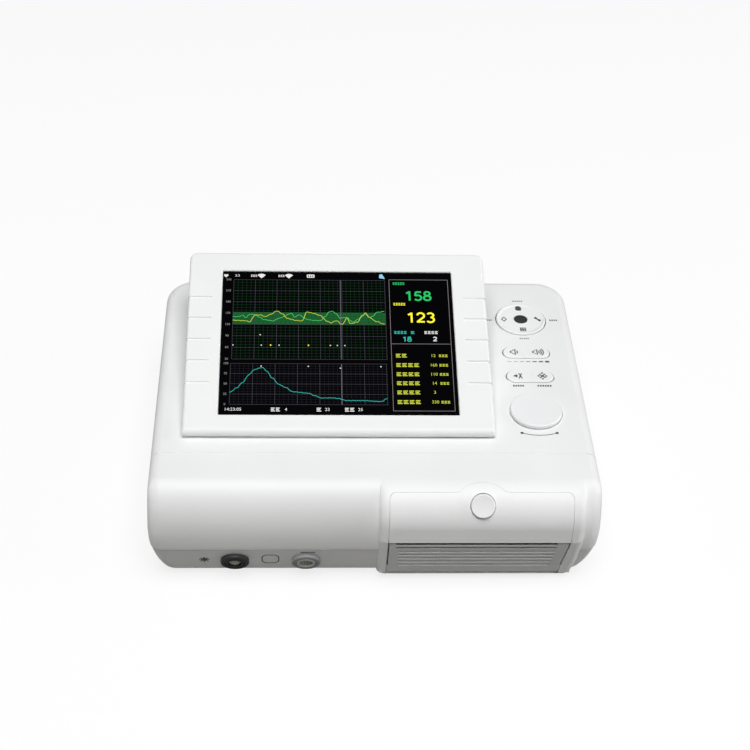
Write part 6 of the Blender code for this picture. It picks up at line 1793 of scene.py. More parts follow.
@dataclass
class Screen:
    """The tilted screen: bezel with side grooves, dark panel, picture and back pan."""

    bench: Bench
    axis: Point = (-0.0235, -0.0568, 0.0878)
    tilt: float = math.radians(16.1)
    half: float = 0.1045
    length: float = 0.152
    radius: float = 0.004
    back_edge: float = 0.0018
    under_edge: float = 0.0009
    side_edge: float = 0.0021
    front_corner: float = 0.0012
    back_corner: float = 0.0055
    wall: float = 0.0022
    window: Flat = (0.162, 0.1215)
    window_middle: float = 0.0709
    window_depth: float = 0.0008
    window_slope: float = 0.0005
    glass: float = 0.0012
    groove_count: int = 5
    groove_pitch: float = 0.018
    groove_length: float = 0.0165
    groove_width: float = 0.0016
    groove_depth: float = 0.0011
    groove_foot: float = 0.0016
    pan_inset: float = 0.0055
    pan_front: float = 0.009
    pan_back: float = 0.006
    pan_depth: float = 0.012
    pan_corner: float = 0.006
    pan_edge: float = 0.002
    pan_wall: float = 0.002
    flange: float = 0.002
    hinge_inset: float = 0.030
    pocket_half: float = 0.0066
    pocket_radius: float = 0.003
    knuckle: float = 0.0026
    notch_play: float = 0.0015
    notch_length: float = 0.014
    pin_bore: Flat = (0.0015, 0.0106)
    module_lap: Flat = (0.005, 0.00225)
    module_thick: float = 0.006
    module_notch: Flat = (0.0045, 0.0018)

    @property
    def place(self) -> Matrix:
        """The screen's place: its hinge axis, turned by its tilt."""
        return Matrix.Translation(self.axis) @ Matrix.Rotation(self.tilt, 4, "X")

    @property
    def back(self) -> float:
        """The screen's far edge, measured from its axis."""
        return self.length - self.radius

    def rim_outline(self, height: float) -> list[Flat]:
        """Returns the rim's outline at a height over its middle: a half round front and softer edges elsewhere."""
        nose = math.sqrt(max(0.0, self.radius**2 - height**2))
        back_edge = self.back_edge if height > 0 else self.under_edge
        back, side = (
            edge * rounding((abs(height) - self.radius + edge) / edge) for edge in (back_edge, self.side_edge)
        )
        return rounded(
            -self.half + side, self.half - side, -nose, self.back - back,
            self.front_corner, self.back_corner - back, 10,
        )

    def finish_piece(self, obj: bpy.types.Object, finish: Finish, replaces: Sequence[str]) -> None:
        """Moves a piece to the screen's place and hands it over."""
        obj.data.transform(self.place)
        self.bench.hand_over(obj, finish, "screen", replaces)

    def hinge_places(self) -> tuple[float, float]:
        """Returns the middle of each hinge across the screen."""
        return -self.half + self.hinge_inset, self.half - self.hinge_inset

    def groove_cutter(self, y: float, side: float) -> bpy.types.Object:
        """Makes the cutter of one side groove, which runs over the face and down the side.

        Args:
            y: Its place along the screen.
            side: -1 for the left side, 1 for the right.

        Returns:
            The cutter.
        """
        above, foot = self.radius + OVERRUN, -self.radius + self.groove_foot
        outer, end = self.half + OVERRUN, self.half - self.groove_length
        rings = []
        half = self.groove_width / 2
        for shift, depth in ((-half, 0.00002), (-half * 0.4, self.groove_depth), (half * 0.4, self.groove_depth),
                             (half, 0.00002)):
            face, edge = self.radius - depth, self.half - depth
            line = [(end, above), (end, face), (edge, face), (edge, foot), (outer, foot), (outer, above)]
            rings.append([(side * x, y + shift, z) for x, z in line])
        return self.bench.loft("groove", rings)

    def bezel(self) -> None:
        """The bezel: a rim with soft edges, grooves on both sides, the window and two hinge pockets."""
        bench = self.bench
        steps = 24
        heights = [self.radius * math.sin(math.pi * (i / steps - 0.5)) for i in range(steps + 1)]
        bezel = bench.loft("screen_bezel_shell", [at_height(self.rim_outline(z), z) for z in heights])
        inner = self.half - self.wall
        room = bench.box(
            "bezel_room",
            (-inner, self.radius, -self.radius - OVERRUN),
            (inner, self.back - self.wall, self.radius - self.wall),
        )
        bench.cut(bezel, room)
        half_width, half_height = self.window[0] / 2, self.window[1] / 2
        middle = self.window_middle

        def opening(grow: float, height: float) -> list[Point]:
            """Gives the window's outline, grown, at a height."""
            outline = rounded(
                -half_width - grow, half_width + grow, middle - half_height - grow, middle + half_height + grow,
                0.0006 + grow, steps=4,
            )
            return at_height(outline, height)

        top = self.radius
        window = bench.loft("window_opening", [
            opening(0.0, -self.radius), opening(0.0, top - self.window_slope),
            opening(self.window_slope, top), opening(self.window_slope, top + OVERRUN),
        ])
        bench.cut(bezel, window)
        for x in self.hinge_places():
            half = self.pocket_half
            pocket = bench.rod("pocket", self.pocket_radius, (x - half, 0.0, 0.0), (x + half, 0.0, 0.0), 48)
            mouth = bench.box(
                "mouth",
                (x - half, -self.knuckle, -self.radius - OVERRUN),
                (x + half, self.pan_front + self.notch_length - self.radius, 0.0),
            )
            radius, reach = self.pin_bore
            bore = bench.rod("bore", radius, (x - reach, 0.0, 0.0), (x + reach, 0.0, 0.0), 24)
            bench.cut(bezel, pocket, mouth, bore)
        centre = self.length / 2 - self.radius
        for i in range(self.groove_count):
            y = centre + (i - (self.groove_count - 1) / 2) * self.groove_pitch
            for side in (-1.0, 1.0):
                bench.cut(bezel, self.groove_cutter(y, side))
        self.finish_piece(bezel, WHITE_CASE, ["screen_bezel"])

    def panel(self) -> None:
        """The dark panel behind the window, with a slightly broken edge."""
        half_width, half_height = self.window[0] / 2 - GAP, self.window[1] / 2 - GAP
        middle = self.window_middle

        def outline(inset: float) -> list[Flat]:
            """Gives the panel's outline, drawn in by an inset."""
            return rounded(
                -half_width + inset, half_width - inset, middle - half_height + inset, middle + half_height - inset,
                0.0004, steps=3,
            )

        top = self.radius - self.window_depth
        low = top - self.glass
        high = top - 0.0002
        panel = self.bench.pillow("screen_panel", outline, low, high, 0.0001, 2)
        self.finish_piece(panel, PANEL, ["screen_window"])
        corner = Vector((-self.window[0] / 2, middle - self.window[1] / 2, high))
        Picture(self.bench, self.place @ Matrix.Translation(corner)).build()

    def back_pan(self) -> None:
        """The back of the screen: a flange and a pan with soft edges, notched for the hinges."""
        bench = self.bench
        inner = self.half - self.wall - GAP
        low = -self.radius
        front = self.pan_front - self.radius
        flange = rounded(-inner, inner, front, self.back - self.wall - GAP, 0.0005, steps=3)
        back = bench.plate("screen_back_shell", flange, low, low + self.flange)
        half = self.half - self.pan_inset
        far = self.length - self.pan_back - self.radius

        def outline(inset: float) -> list[Flat]:
            """Gives the pan's outline, drawn in by an inset."""
            return rounded(-half + inset, half - inset, front + inset, far - inset, self.pan_corner - inset)

        rings = [at_height(outline(0.0), low + self.flange / 2)]
        for i in range(7):
            turn = QUARTER_TURN * i / 6
            inset = self.pan_edge * (1 - math.cos(turn))
            rings.append(at_height(outline(inset), low - self.pan_depth + self.pan_edge * (1 - math.sin(turn))))
        bench.add(back, bench.loft("pan", rings))
        wall = self.pan_wall
        room = rounded(
            -half + wall, half - wall, front + wall, far - wall, self.pan_corner - wall
        )
        bench.cut(back, bench.plate("pan_room", room, low - self.pan_depth + wall, low + self.flange + OVERRUN))
        for x in self.hinge_places():
            reach = self.pocket_half + self.notch_play
            notch = bench.box(
                "pan_notch",
                (x - reach, -self.radius, low - self.pan_depth - OVERRUN),
                (x + reach, front + self.notch_length, low + self.flange + OVERRUN),
            )
            bench.cut(back, notch)
        self.finish_piece(back, WHITE_CASE, ["screen_back"])

    def module(self) -> None:
        """The display module, notched below where the hinge brackets come up as the screen folds flat."""
        bench = self.bench
        half_x, half_y = (side / 2 + lap for side, lap in zip(self.window, self.module_lap))
        top = self.radius - self.wall - GAP
        low, front = top - self.module_thick, self.window_middle - half_y
        module = bench.box("display_module_case", (-half_x, front, low), (half_x, front + 2 * half_y, top))
        length, rise = self.module_notch
        reach = self.pocket_half + self.notch_play
        for x in self.hinge_places():
            notch = bench.box(
                "module_notch", (x - reach, front - OVERRUN, low - OVERRUN), (x + reach, front + length, low + rise)
            )
            bench.cut(module, notch)
        bench.round_edges(module, 0.0002, 2)
        self.finish_piece(module, STEEL, ["display_module"])

    def build(self) -> None:
        """Builds the screen."""
        self.bezel()
        self.panel()
        self.module()
        self.back_pan()


# The column of keys

@dataclass
class KeyColumn:
    """The four-way pad with its middle key, two rockers and the turning knob, with their printed marks."""

    form: CaseForm
    bench: Bench
    x: float = 0.1118
    nav_y: float = 0.0712
    nav_radius: float = 0.018
    nav_low: float = 0.0811
    nav_top: float = 0.0845
    nav_dish: float = 0.0005
    nav_slope: float = 0.0018
    nav_edge: float = 0.0008
    ok_radius: float = 0.0047
    ok_top: float = 0.0846
    ok_length: float = 0.0062
    rocker_y: tuple[float, float] = (0.0325, 0.0057)
    rocker_size: Flat = (0.0332, 0.0120)
    rocker_low: float = 0.0811
    rocker_top: float = 0.0843
    rocker_edge: float = 0.0007
    knob_y: float = -0.0319
    knob_radius: float = 0.0178
    knob_low: float = 0.0834
    knob_top: float = 0.0862
    knob_edge: float = 0.0008
    ink: float = 0.00003

    def build(self) -> None:
        """Builds the keys and their marks."""
        self.pad()
        self.rockers()
        self.knob()
        self.deck_marks()

    def round_top(self, radius: float, low: float, top: float, edge: float) -> list[Flat]:
        """Returns a turned profile with a soft upper edge."""
        steps = 7
        turns = [QUARTER_TURN * i / steps for i in range(steps + 1)]
        return [(radius, low)] + [(radius - edge * (1 - math.cos(t)), top - edge + edge * math.sin(t)) for t in turns]

    def pad(self) -> None:
        """The dished four-way pad, its dark middle key and its four marks."""
        bench = self.bench
        profile = self.round_top(self.nav_radius, self.nav_low, self.nav_top, self.nav_edge)
        inner, hole = self.nav_radius - self.nav_edge, self.ok_radius + 0.0004
        for i in range(1, 9):
            share = i / 8
            fall = self.nav_dish * (1 - math.cos(math.pi * share)) / 2
            profile.append((inner - self.nav_slope * share, self.nav_top - fall))
        profile.append((hole - 0.001, self.nav_top - self.nav_dish))
        pad = bench.turned("four_way_pad", profile)
        bench.cut(pad, bench.rod("key_hole", hole, (0.0, 0.0, 0.07), (0.0, 0.0, 0.09), 64))
        pad.data.transform(Matrix.Translation((self.x, self.nav_y, 0.0)))
        bench.hand_over(pad, WHITE_KEY, "pad", ["nav_pad"])
        low = self.ok_top - self.ok_length
        key = bench.turned(
            "middle_key", self.round_top(self.ok_radius, low, self.ok_top - 0.0002, 0.0007)
            + [(self.ok_radius * 0.5, self.ok_top - 0.00005), (self.ok_radius * 0.04, self.ok_top)], 64
        )
        key.data.transform(Matrix.Translation((self.x, self.nav_y, 0.0)))
        bench.hand_over(key, DARK_KEY, "ok", ["ok_key"])
        self.pad_marks()

    def mark(self, name: str, outline: Sequence[Flat], base: float) -> bpy.types.Object:
        """Makes one printed shape of ink on a face."""
        return self.bench.plate(name, outline, base, base + self.ink)

    def block(self, name: str, middle: Flat, size: Flat, base: float, turn: float = 0.0) -> bpy.types.Object:
        """Makes a printed rectangle about a middle, turned where asked."""
        half_x, half_y = size[0] / 2, size[1] / 2
        cos, sin = math.cos(turn), math.sin(turn)
        corners = [(half_x, half_y), (-half_x, half_y), (-half_x, -half_y), (half_x, -half_y)]
        return self.mark(name, [(middle[0] + u * cos - v * sin, middle[1] + u * sin + v * cos) for u, v in corners], base)

    def pad_marks(self) -> None:
        """The four small marks on the pad: a printer, a diamond, a handset and a sheet."""
        bench = self.bench
        base = self.nav_top - self.nav_dish
        x, y = self.x, self.nav_y
        up, side = 0.0121, 0.0123
        slant = math.radians(-38)
        marks = [
            self.block("pad_marks", (x - 0.0006, y + up + 0.0008), (0.0044, 0.0033), base),
            self.block("pad_marks", (x - 0.0008, y + up + 0.0030), (0.0031, 0.0013), base),
            self.block("pad_marks", (x - 0.0004, y + up - 0.0012), (0.0034, 0.0011), base),
            self.block("pad_marks", (x + side, y + 0.0002), (0.0040, 0.0013), base, slant),
            self.block("pad_marks", (x + side - 0.0013, y + 0.0016), (0.0017, 0.0021), base, slant),
            self.block("pad_marks", (x + side + 0.0015, y - 0.0012), (0.0017, 0.0021), base, slant),
        ]
        for step in (-0.0016, 0.0, 0.0016):
            marks.append(self.block("pad_marks", (x + 0.0005 + step, y - up), (0.0008, 0.0040), base))
        for step in (-0.0017, 0.0, 0.0017):
            marks.append(self.block("pad_marks", (x + 0.0005, y - up + step), (0.0046, 0.0007), base))
        ring = [(x - side, y + 0.0030), (x - side - 0.0023, y), (x - side, y - 0.0030), (x - side + 0.0023, y)]
        diamond = self.mark("pad_marks", ring, base)
        hole = [(x - side, y + 0.0018), (x - side - 0.0014, y), (x - side, y - 0.0018), (x - side + 0.0014, y)]
        bench.cut(diamond, bench.plate("hole", hole, base - self.ink, base + 2 * self.ink))
        marks.append(diamond)
        bench.hand_over(bench.join("pad_marks", marks), INK, "pad", weighted=False)

    def rockers(self) -> None:
        """The two rockers, each with a shallow valley across its middle and two marks."""
        bench = self.bench
        length, width = self.rocker_size
        low, top, edge = self.rocker_low, self.rocker_top, self.rocker_edge
        for name, y in zip(("volume", "event"), self.rocker_y):

            def outline(inset: float, y: float = y) -> list[Flat]:
                """Gives the rocker's outline, drawn in by an inset."""
                reach, half = length / 2 - inset, width / 2 - inset
                return rounded(self.x - reach, self.x + reach, y - half, y + half, half - 0.00001)

            cap = bench.pillow(name + "_rocker_cap", outline, low, top, edge)
            valley_radius = 0.012
            middle = top + valley_radius - 0.00022
            valley = bench.rod(
                "valley", valley_radius, (self.x, y - width, middle), (self.x, y + width, middle), 256
            )
            bench.cut(cap, valley)
            bench.hand_over(cap, WHITE_KEY, name, [name + "_rocker"])
            volume = name == "volume"
            marks = self.volume_marks(y, top) if volume else self.event_marks(y, top)
            ink = SOFT_INK if volume else INK
            bench.hand_over(bench.join(name + "_marks", marks), ink, name, weighted=False)

    def speaker_mark(self, x: float, y: float, base: float, size: float, waves: int) -> list[bpy.types.Object]:
        """Returns a loudspeaker mark in outline, with a number of waves.

        Args:
            x: Its middle across.
            y: Its middle along.
            base: The height of the face that carries it.
            size: Its size.
            waves: How many arcs stand beside it.

        Returns:
            Its parts.
        """
        line, tall = size * 0.19, size * 0.66
        neck, low = x - size * 0.32, size * 0.26
        horn = [(neck, y + low), (x + size * 0.16, y + tall), (x + size * 0.16, y - tall), (neck, y - low)]
        parts = [
            self.block("speaker", (x - size * 0.50, y), (size * 0.26, size * 0.46), base),
            self.bench.strip("horn", horn, line, base, self.ink),
        ]
        for i in range(waves):
            radius = size * (0.40 + 0.34 * i)
            wave = arc((x + size * 0.10, y), radius, math.radians(-48), math.radians(48), 8)
            parts.append(self.bench.strip("wave", wave, line, base, self.ink))
        return parts

    def volume_marks(self, y: float, base: float) -> list[bpy.types.Object]:
        """Returns the quiet and the loud loudspeaker marks."""
        quiet = self.speaker_mark(self.x - 0.0088, y, base, 0.0048, 1)
        return quiet + self.speaker_mark(self.x + 0.0070, y, base, 0.0045, 3)

    def event_marks(self, y: float, base: float) -> list[bpy.types.Object]:
        """Returns the event arrow and the crossed ring."""
        x = self.x - 0.0090
        legs = (
            [(x + 0.0010, y + 0.0028), (x + 0.0020, y + 0.0003), (x + 0.0031, y - 0.0028)],
            [(x + 0.0031, y + 0.0028), (x + 0.0020, y + 0.0001), (x + 0.0008, y - 0.0028)],
        )
        parts = [
            self.block("arrow", (x - 0.0018, y), (0.0018, 0.0015), base),
            self.mark("arrow", [(x + 0.0004, y), (x - 0.0012, y + 0.0021), (x - 0.0012, y - 0.0021)], base),
        ]
        parts += [self.bench.strip("arrow", leg, 0.0008, base, self.ink) for leg in legs]
        x = self.x + 0.0086
        for turn in (0.0, QUARTER_TURN):
            parts.append(self.block("cross", (x, y), (0.0060, 0.0011), base, math.radians(49) + turn))
        for u, v in ((0.0027, 0.0), (-0.0027, 0.0), (0.0, 0.0031), (0.0, -0.0031)):
            parts.append(self.block("cross", (x + u, y + v), (0.0014, 0.0014), base, math.radians(45)))
        return parts

    def knob(self) -> None:
        """The large flat knob with a soft rim and a faintly dished face."""
        bench = self.bench
        profile = self.round_top(self.knob_radius, self.knob_low, self.knob_top, self.knob_edge)
        inner = self.knob_radius - self.knob_edge
        for share in (0.9, 0.7, 0.5, 0.3, 0.1, 0.01):
            profile.append((inner * share, self.knob_top - 0.0003 * (1 - share * share)))
        knob = bench.turned("turning_knob", profile, 128)
        bore = bench.rod("shaft_bore", 0.0024, (0.0, 0.0, 0.08), (0.0, 0.0, self.knob_low + 0.002), 32)
        bench.cut(knob, bore)
        knob.data.transform(Matrix.Translation((self.x, self.knob_y, 0.0)))
        bench.hand_over(knob, WHITE_KEY, "knob", ["control_knob"])

    def dashes(self, middle: Flat, length: float, count: int, size: float) -> list[bpy.types.Object]:
        """Returns a row of short bars, the stand-in for a printed word."""
        pitch = length / count
        base = self.form.deck
        return [
            self.block("word", (middle[0] - length / 2 + (i + 0.5) * pitch, middle[1]), (pitch * 0.7, size), base)
            for i in range(count)
        ]

    def deck_marks(self) -> None:
        """The marks printed on the deck: short bars beside the keys, dashes that grow, and the knob's arc."""
        bench, base = self.bench, self.form.deck
        faint = self.dashes((self.x - 0.0002, self.nav_y + 0.0225), 0.0078, 5, 0.0014)
        faint += self.dashes((self.x + 0.0004, self.nav_y - 0.0222), 0.0072, 5, 0.0014)
        bench.hand_over(bench.join("faint_words", faint), PALE_INK, "case", weighted=False)
        words = self.dashes((self.x - 0.0232, self.nav_y - 0.0006), 0.0040, 3, 0.0012)
        words += self.dashes((self.x + 0.0240, self.nav_y - 0.0004), 0.0062, 4, 0.0015)
        words += self.dashes((self.x - 0.0092, self.rocker_y[1] - 0.0098), 0.0082, 5, 0.0018)
        words += self.dashes((self.x + 0.0090, self.rocker_y[1] - 0.0098), 0.0104, 6, 0.0018)
        bench.hand_over(bench.join("deck_words", words), SOFT_INK, "case", weighted=False)
        marks = []
        for i in range(7):
            growth = 0.0003 + 0.00004 * i * i
            marks.append(self.block("dash", (self.x - 0.0130 + 0.0045 * i, self.rocker_y[0] - 0.0099), (0.0030, growth), base))
        bow = arc((self.x, -0.0248), 0.0312, math.radians(247.5), math.radians(292.5), 24)
        marks.append(bench.strip("bow", bow, 0.0006, base, self.ink))
        for x, y in (bow[0], bow[-1]):
            dot = [(x + 0.0011 * math.cos(FULL_TURN * i / 20), y + 0.0011 * math.sin(FULL_TURN * i / 20)) for i in range(20)]
            marks.append(self.mark("dot", dot, base))
        bench.hand_over(bench.join("deck_marks", marks), INK, "case", weighted=False)


# Front band: sockets, lamp and marks

@dataclass
class FrontBand:
    """The two probe sockets, the power lamp and the marks on the leaning band."""

    form: CaseForm
    bench: Bench
    places: tuple[float, float] = (-0.0926, -0.0453)
    lamp_x: float = -0.113
    ring_radius: float = 0.0095
    ring_thick: float = 0.0028
    ring_edge: float = 0.0007
    core_radius: float = 0.0063
    hole_play: float = 0.0006
    bore_radius: float = 0.0047
    bore_depth: float = 0.0071
    proud: float = 0.0032
    length: float = 0.0146
    hub_radius: float = 0.0040
    hub_sunk: float = 0.0012
    pin_radius: float = 0.0005
    pin_ring: float = 0.0024
    pin_length: float = 0.0016
    pin_count: int = 6
    rays: int = 8

    def build(self) -> None:
        """Builds both sockets, the lamp and the marks."""
        self.socket("probe", self.places[0], DARK, DARK, PALE)
        self.socket("toco", self.places[1], GREY, PALE, GREY)
        self.lamp()
        self.marks()

    def socket(self, name: str, x: float, ring: Plastic, rim: Plastic, hub: Plastic) -> None:
        """One socket: a core with a keyed hub and its contacts, and its ring nut.

        Args:
            name: The start of its pieces' names.
            x: Its place across the band.
            ring: The nut's finish.
            rim: The core's finish.
            hub: The hub's finish.
        """
        bench, place = self.bench, band_place(self.form, x)
        radius, edge = self.core_radius, 0.0004
        core = bench.turned(
            name + "_core",
            [(radius, self.proud - self.length), (radius, self.proud - edge), (radius - edge, self.proud),
             (self.bore_radius + edge, self.proud)], 96
        )
        floor = self.proud - self.bore_depth
        bench.cut(core, bench.rod("bore", self.bore_radius, (0.0, 0.0, floor), (0.0, 0.0, self.proud + OVERRUN), 96))
        key = bench.box(
            "key",
            (-0.0007, self.bore_radius - 0.0012, floor - 0.0005),
            (0.0007, self.bore_radius + 0.0004, self.proud - 0.0012),
        )
        bench.add(core, key)
        core.data.transform(place)
        bench.hand_over(core, rim, "case", [name + "_socket_core"])
        top, radius = self.proud - self.hub_sunk, self.hub_radius
        profile = [(radius, floor + GAP), (radius, top - edge), (radius - edge, top), (edge, top)]
        centre = bench.turned(name + "_hub", profile, 64)
        keyway = bench.box("keyway", (-0.0006, radius - 0.0015, floor - OVERRUN), (0.0006, radius + edge, top + OVERRUN))
        bench.cut(centre, keyway)
        centre.data.transform(place)
        bench.hand_over(centre, hub, "case")
        pins = []
        for i in range(self.pin_count):
            turn = FULL_TURN * (i + 0.5) / self.pin_count
            u, v = self.pin_ring * math.cos(turn), self.pin_ring * math.sin(turn)
            thick, start = self.pin_radius, top - self.pin_radius
            tip = start + self.pin_length
            pin = bench.turned(
                "pin", [(thick, start), (thick, tip - thick), (thick * 0.6, tip - thick * 0.3), (thick * 0.1, tip)], 16
            )
            pin.data.transform(place @ Matrix.Translation((u, v, 0.0)))
            pins.append(pin)
        bench.hand_over(bench.join(name + "_pins", pins), CONTACT, "case")
        base, top = GAP, GAP + self.ring_thick
        outer, edge = self.ring_radius, self.ring_edge
        nut = bench.turned(
            name + "_ring_nut",
            [(outer, base), (outer, top - edge * 1.4), (outer - edge * 0.4, top - edge * 0.5),
             (outer - edge * 1.5, top), (self.core_radius + 0.0002, top)], 96
        )
        reach = OVERRUN + self.ring_thick
        hole = bench.rod(
            "nut_hole", self.core_radius + self.hole_play, (0.0, 0.0, -reach), (0.0, 0.0, reach), 96
        )
        bench.cut(nut, hole)
        notches = 2
        for i in range(notches):
            turn = FULL_TURN * i / notches
            notch = bench.box("notch", (outer - 0.0012, -0.0008, base + 0.0006), (outer + 0.001, 0.0008, top + 0.001))
            notch.data.transform(Matrix.Rotation(turn, 4, "Z"))
            bench.cut(nut, notch)
        nut.data.transform(place)
        bench.hand_over(nut, ring, "case", [name + "_socket_nut"])

    def lamp(self) -> None:
        """The small domed power lamp."""
        bench = self.bench
        profile = [(0.002, -0.0045), (0.002, 0.0001)]
        profile += [(0.002 * math.cos(t), 0.0001 + 0.0005 * math.sin(t)) for t in (0.3, 0.6, 0.9, 1.2, 1.45)]
        lamp = bench.turned("power_lamp_lens", profile, 48)
        lamp.data.transform(band_place(self.form, self.lamp_x))
        bench.hand_over(lamp, LAMP, "case", ["power_lamp"])

    def marks(self) -> None:
        """The printed rays round the lamp, the oval between the sockets and a bar over the second one."""
        bench, ink = self.bench, 0.00003
        made = []
        lamp = band_place(self.form, self.lamp_x)
        for i in range(self.rays):
            turn = FULL_TURN * i / self.rays
            tall = abs(math.sin(turn)) > 0.5
            ray = bench.box("ray", (0.0022, -0.0004, 0.0), (0.0040 if tall else 0.0035, 0.0004, ink))
            ray.data.transform(lamp @ Matrix.Rotation(turn, 4, "Z"))
            made.append(ray)
        oval = bench.plate("oval", rounded(-0.0059, 0.0059, -0.0066, 0.0066, 0.0044), 0.0, ink)
        hole = rounded(-0.0052, 0.0052, -0.0057, 0.0057, 0.0038)
        bench.cut(oval, bench.plate("oval_hole", hole, -ink, 2 * ink))
        oval.data.transform(band_place(self.form, -0.0690, 0.0208))
        made.append(oval)
        bar = bench.plate("bar", rounded(-0.0050, 0.0050, 0.0104, 0.0118, 0.0003, steps=3), 0.0, ink)
        bar.data.transform(band_place(self.form, self.places[1] + 0.0012))
        made.append(bar)
        bench.hand_over(bench.join("band_marks", made), INK, "case", weighted=False)


# Nodes that are carried over

def dress_nodes() -> None:
    """Gives every carried-over node a finish of its kind."""
    kinds: dict[Finish, tuple[str, ...]] = {
        WHITE_CASE: ("battery_door", "base_housing", "front_cover", "top_cover", "screen_bezel", "screen_back"),
        WHITE_DOOR: ("door_cover", "door_front", "latch_button"),
        WHITE_KEY: ("nav_pad", "volume_rocker", "event_rocker", "control_knob"),
        DARK: (
            "speaker", "power_inlet", "switch_housing", "encoder_body", "nav_gimbal", "ok_key", "probe_socket_nut"
        ),
        GREY: ("door_frame", "printer_chassis", "switch_rocker", "toco_socket_nut"),
        PALE: ("probe_socket_core", "toco_socket_core"),
        FOOT_RUBBER: ("foot_front_left", "foot_front_right", "foot_back_left", "foot_back_right"),
        ROLLER_RUBBER: ("platen_roller",),
        BATTERY: ("battery_pack",),
        GEAR: ("platen_gear", "idler_gear", "motor_pinion"),
        PANEL: ("screen_window",),
        LAMP: ("power_lamp",),
        STEEL: (
            "data_port", "hinge_bracket_left", "hinge_bracket_right", "hinge_pin_left", "hinge_pin_right",
            "display_module", "door_pin_left", "door_pin_right", "platen_shaft", "motor_bracket", "feed_motor",
            "encoder_collar", "encoder_shaft",
        ),
        HEAD_METAL: ("print_head",),
        CHART: ("paper_pack",),
        LACQUER: ("main_board", "power_board", "key_board"),
    }
    dressed = set()
    for finish, names in kinds.items():
        for name in names:
            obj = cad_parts[name]
            obj.data.materials.clear()
            obj.data.materials.append(material_of(finish))
            dressed.add(name)
    missing = sorted(set(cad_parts) - dressed)
    log.info("carried-over nodes dressed: %d, without a finish: %s", len(dressed), missing or "none")


# Studio

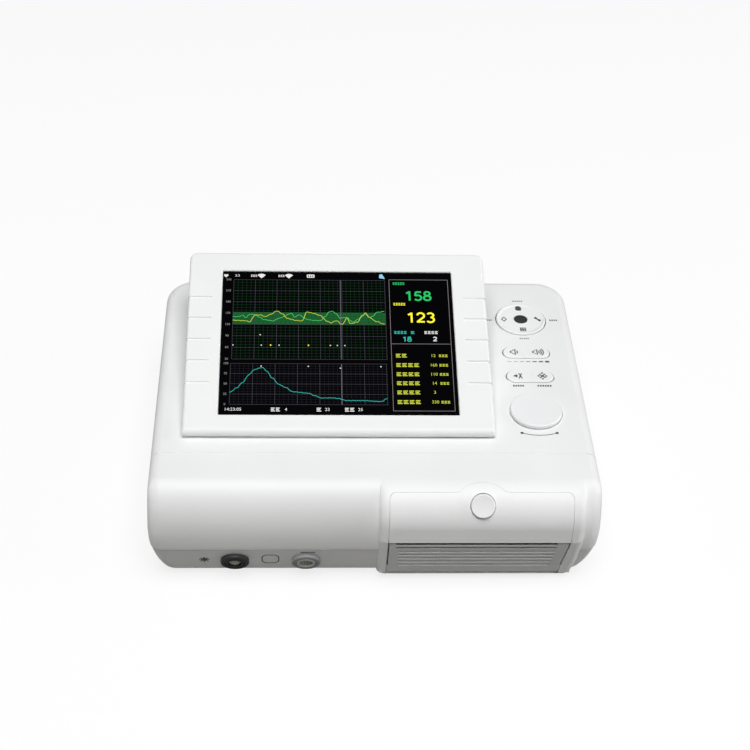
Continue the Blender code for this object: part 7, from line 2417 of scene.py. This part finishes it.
@dataclass
class Studio:
    """The pale floor, the soft lights and the camera at the photograph's angle."""

    lens: float = 78.384
    sensor: float = 36.0
    eye: Point = (-0.052, -0.8727, 0.8108)
    dip: float = math.radians(39.53)
    turn: float = math.radians(3.56)
    roll: float = math.radians(2.51)
    floor_size: float = 60.0
    floor_bounce: Colour = (0.30, 0.295, 0.282)
    floor_glow: float = 0.8
    ambient: float = 0.045
    key_power: float = 104.0
    key_size: float = 2.0
    key_place: Point = (0.0, -1.11, 3.1)
    side_power: tuple[float, float] = (8.0, 20.0)
    side_size: float = 1.0
    side_place: Point = (2.2, -0.1, 0.55)

    def camera(self) -> None:
        """Sets the camera where the photograph was taken."""
        forward = Vector((
            math.sin(self.turn) * math.cos(self.dip), math.cos(self.turn) * math.cos(self.dip), -math.sin(self.dip)
        ))
        level = Vector((math.cos(self.turn), -math.sin(self.turn), 0.0))
        up = level.cross(forward)
        right = math.cos(self.roll) * level + math.sin(self.roll) * up
        top = -math.sin(self.roll) * level + math.cos(self.roll) * up
        data = bpy.data.cameras.new("camera")
        data.sensor_width = self.sensor
        data.lens = self.lens
        data.clip_start, data.clip_end = 0.01, 100.0
        camera = bpy.data.objects.new("camera", data)
        bpy.context.scene.collection.objects.link(camera)
        camera.matrix_world = Matrix.Translation(self.eye) @ Matrix((right, top, -forward)).transposed().to_4x4()
        bpy.context.scene.camera = camera

    def floor(self) -> None:
        """A plain floor: white to the camera with the object's soft shadow, and mid grey in its bounce."""
        bench = Bench()
        bench.clear()
        bpy.ops.mesh.primitive_plane_add(size=self.floor_size, location=(0.0, 0.0, 0.0))
        floor = bench.named("floor")
        material = bpy.data.materials.new("studio_floor")
        material.use_nodes = True
        tree = material.node_tree
        tree.nodes.clear()
        out = add_node(tree, "ShaderNodeOutputMaterial")
        path = add_node(tree, "ShaderNodeLightPath")
        shown = add_node(tree, "ShaderNodeBsdfDiffuse", Color=(0.95, 0.95, 0.95, 1.0))
        glow = add_node(tree, "ShaderNodeEmission", Color=(1.0, 1.0, 1.0, 1.0), Strength=1.0)
        seen = add_node(tree, "ShaderNodeMixShader", Fac=self.floor_glow)
        bounce = add_node(tree, "ShaderNodeBsdfDiffuse", Color=(*self.floor_bounce, 1.0))
        pick = add_node(tree, "ShaderNodeMixShader")
        link = tree.links.new
        link(shown.outputs[0], seen.inputs[1])
        link(glow.outputs[0], seen.inputs[2])
        link(path.outputs["Is Camera Ray"], pick.inputs[0])
        link(bounce.outputs[0], pick.inputs[1])
        link(seen.outputs[0], pick.inputs[2])
        link(pick.outputs[0], out.inputs["Surface"])
        floor.data.materials.append(material)

    def lamp(self, name: str, power: float, size: float, place: Point) -> None:
        """Hangs one square soft lamp that faces the object.

        Args:
            name: Its name.
            power: Its power in watts.
            size: Its side.
            place: Where it hangs.
        """
        data = bpy.data.lights.new(name, "AREA")
        data.shape = "SQUARE"
        data.size = size
        data.energy = power
        lamp = bpy.data.objects.new(name, data)
        bpy.context.scene.collection.objects.link(lamp)
        lamp.location = place
        lamp.rotation_euler = (-Vector(place)).to_track_quat("-Z", "Y").to_euler()

    def lights(self) -> None:
        """A pale world, one large soft lamp over the object and a weak one on either side."""
        world = bpy.data.worlds.new("studio")
        bpy.context.scene.world = world
        world.use_nodes = True
        tree = world.node_tree
        tree.nodes.clear()
        out = add_node(tree, "ShaderNodeOutputWorld")
        path = add_node(tree, "ShaderNodeLightPath")
        soft = add_node(tree, "ShaderNodeBackground", Color=(1.0, 1.0, 1.0, 1.0), Strength=self.ambient)
        white = add_node(tree, "ShaderNodeBackground", Color=(1.0, 1.0, 1.0, 1.0), Strength=1.0)
        pick = add_node(tree, "ShaderNodeMixShader")
        tree.links.new(path.outputs["Is Camera Ray"], pick.inputs[0])
        tree.links.new(soft.outputs[0], pick.inputs[1])
        tree.links.new(white.outputs[0], pick.inputs[2])
        tree.links.new(pick.outputs[0], out.inputs["Surface"])
        self.lamp("key", self.key_power, self.key_size, self.key_place)
        x, y, z = self.side_place
        self.lamp("left_fill", self.side_power[0], self.side_size, (-x, y, z))
        self.lamp("right_fill", self.side_power[1], self.side_size, (x, y, z))
        bpy.context.scene.view_settings.view_transform = "Standard"

    def build(self) -> None:
        """Builds the studio."""
        self.camera()
        self.floor()
        self.lights()


def corners(box: tuple[Vector, Vector]) -> list[list[float]]:
    """Returns a box's two corners as plain lists."""
    return [list(box[0]), list(box[1])]


def main() -> None:
    """Builds the studio and every sub-assembly in order."""
    logging.basicConfig(level=logging.INFO, format="%(message)s")
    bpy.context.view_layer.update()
    bench, form = Bench(), CaseForm()
    Studio().build()
    dress_nodes()
    CaseShells(form, bench).build()
    PrinterDoor(form, bench).build()
    Screen(bench).build()
    KeyColumn(form, bench).build()
    FrontBand(form, bench).build()


if __name__ == "__main__":
    main()
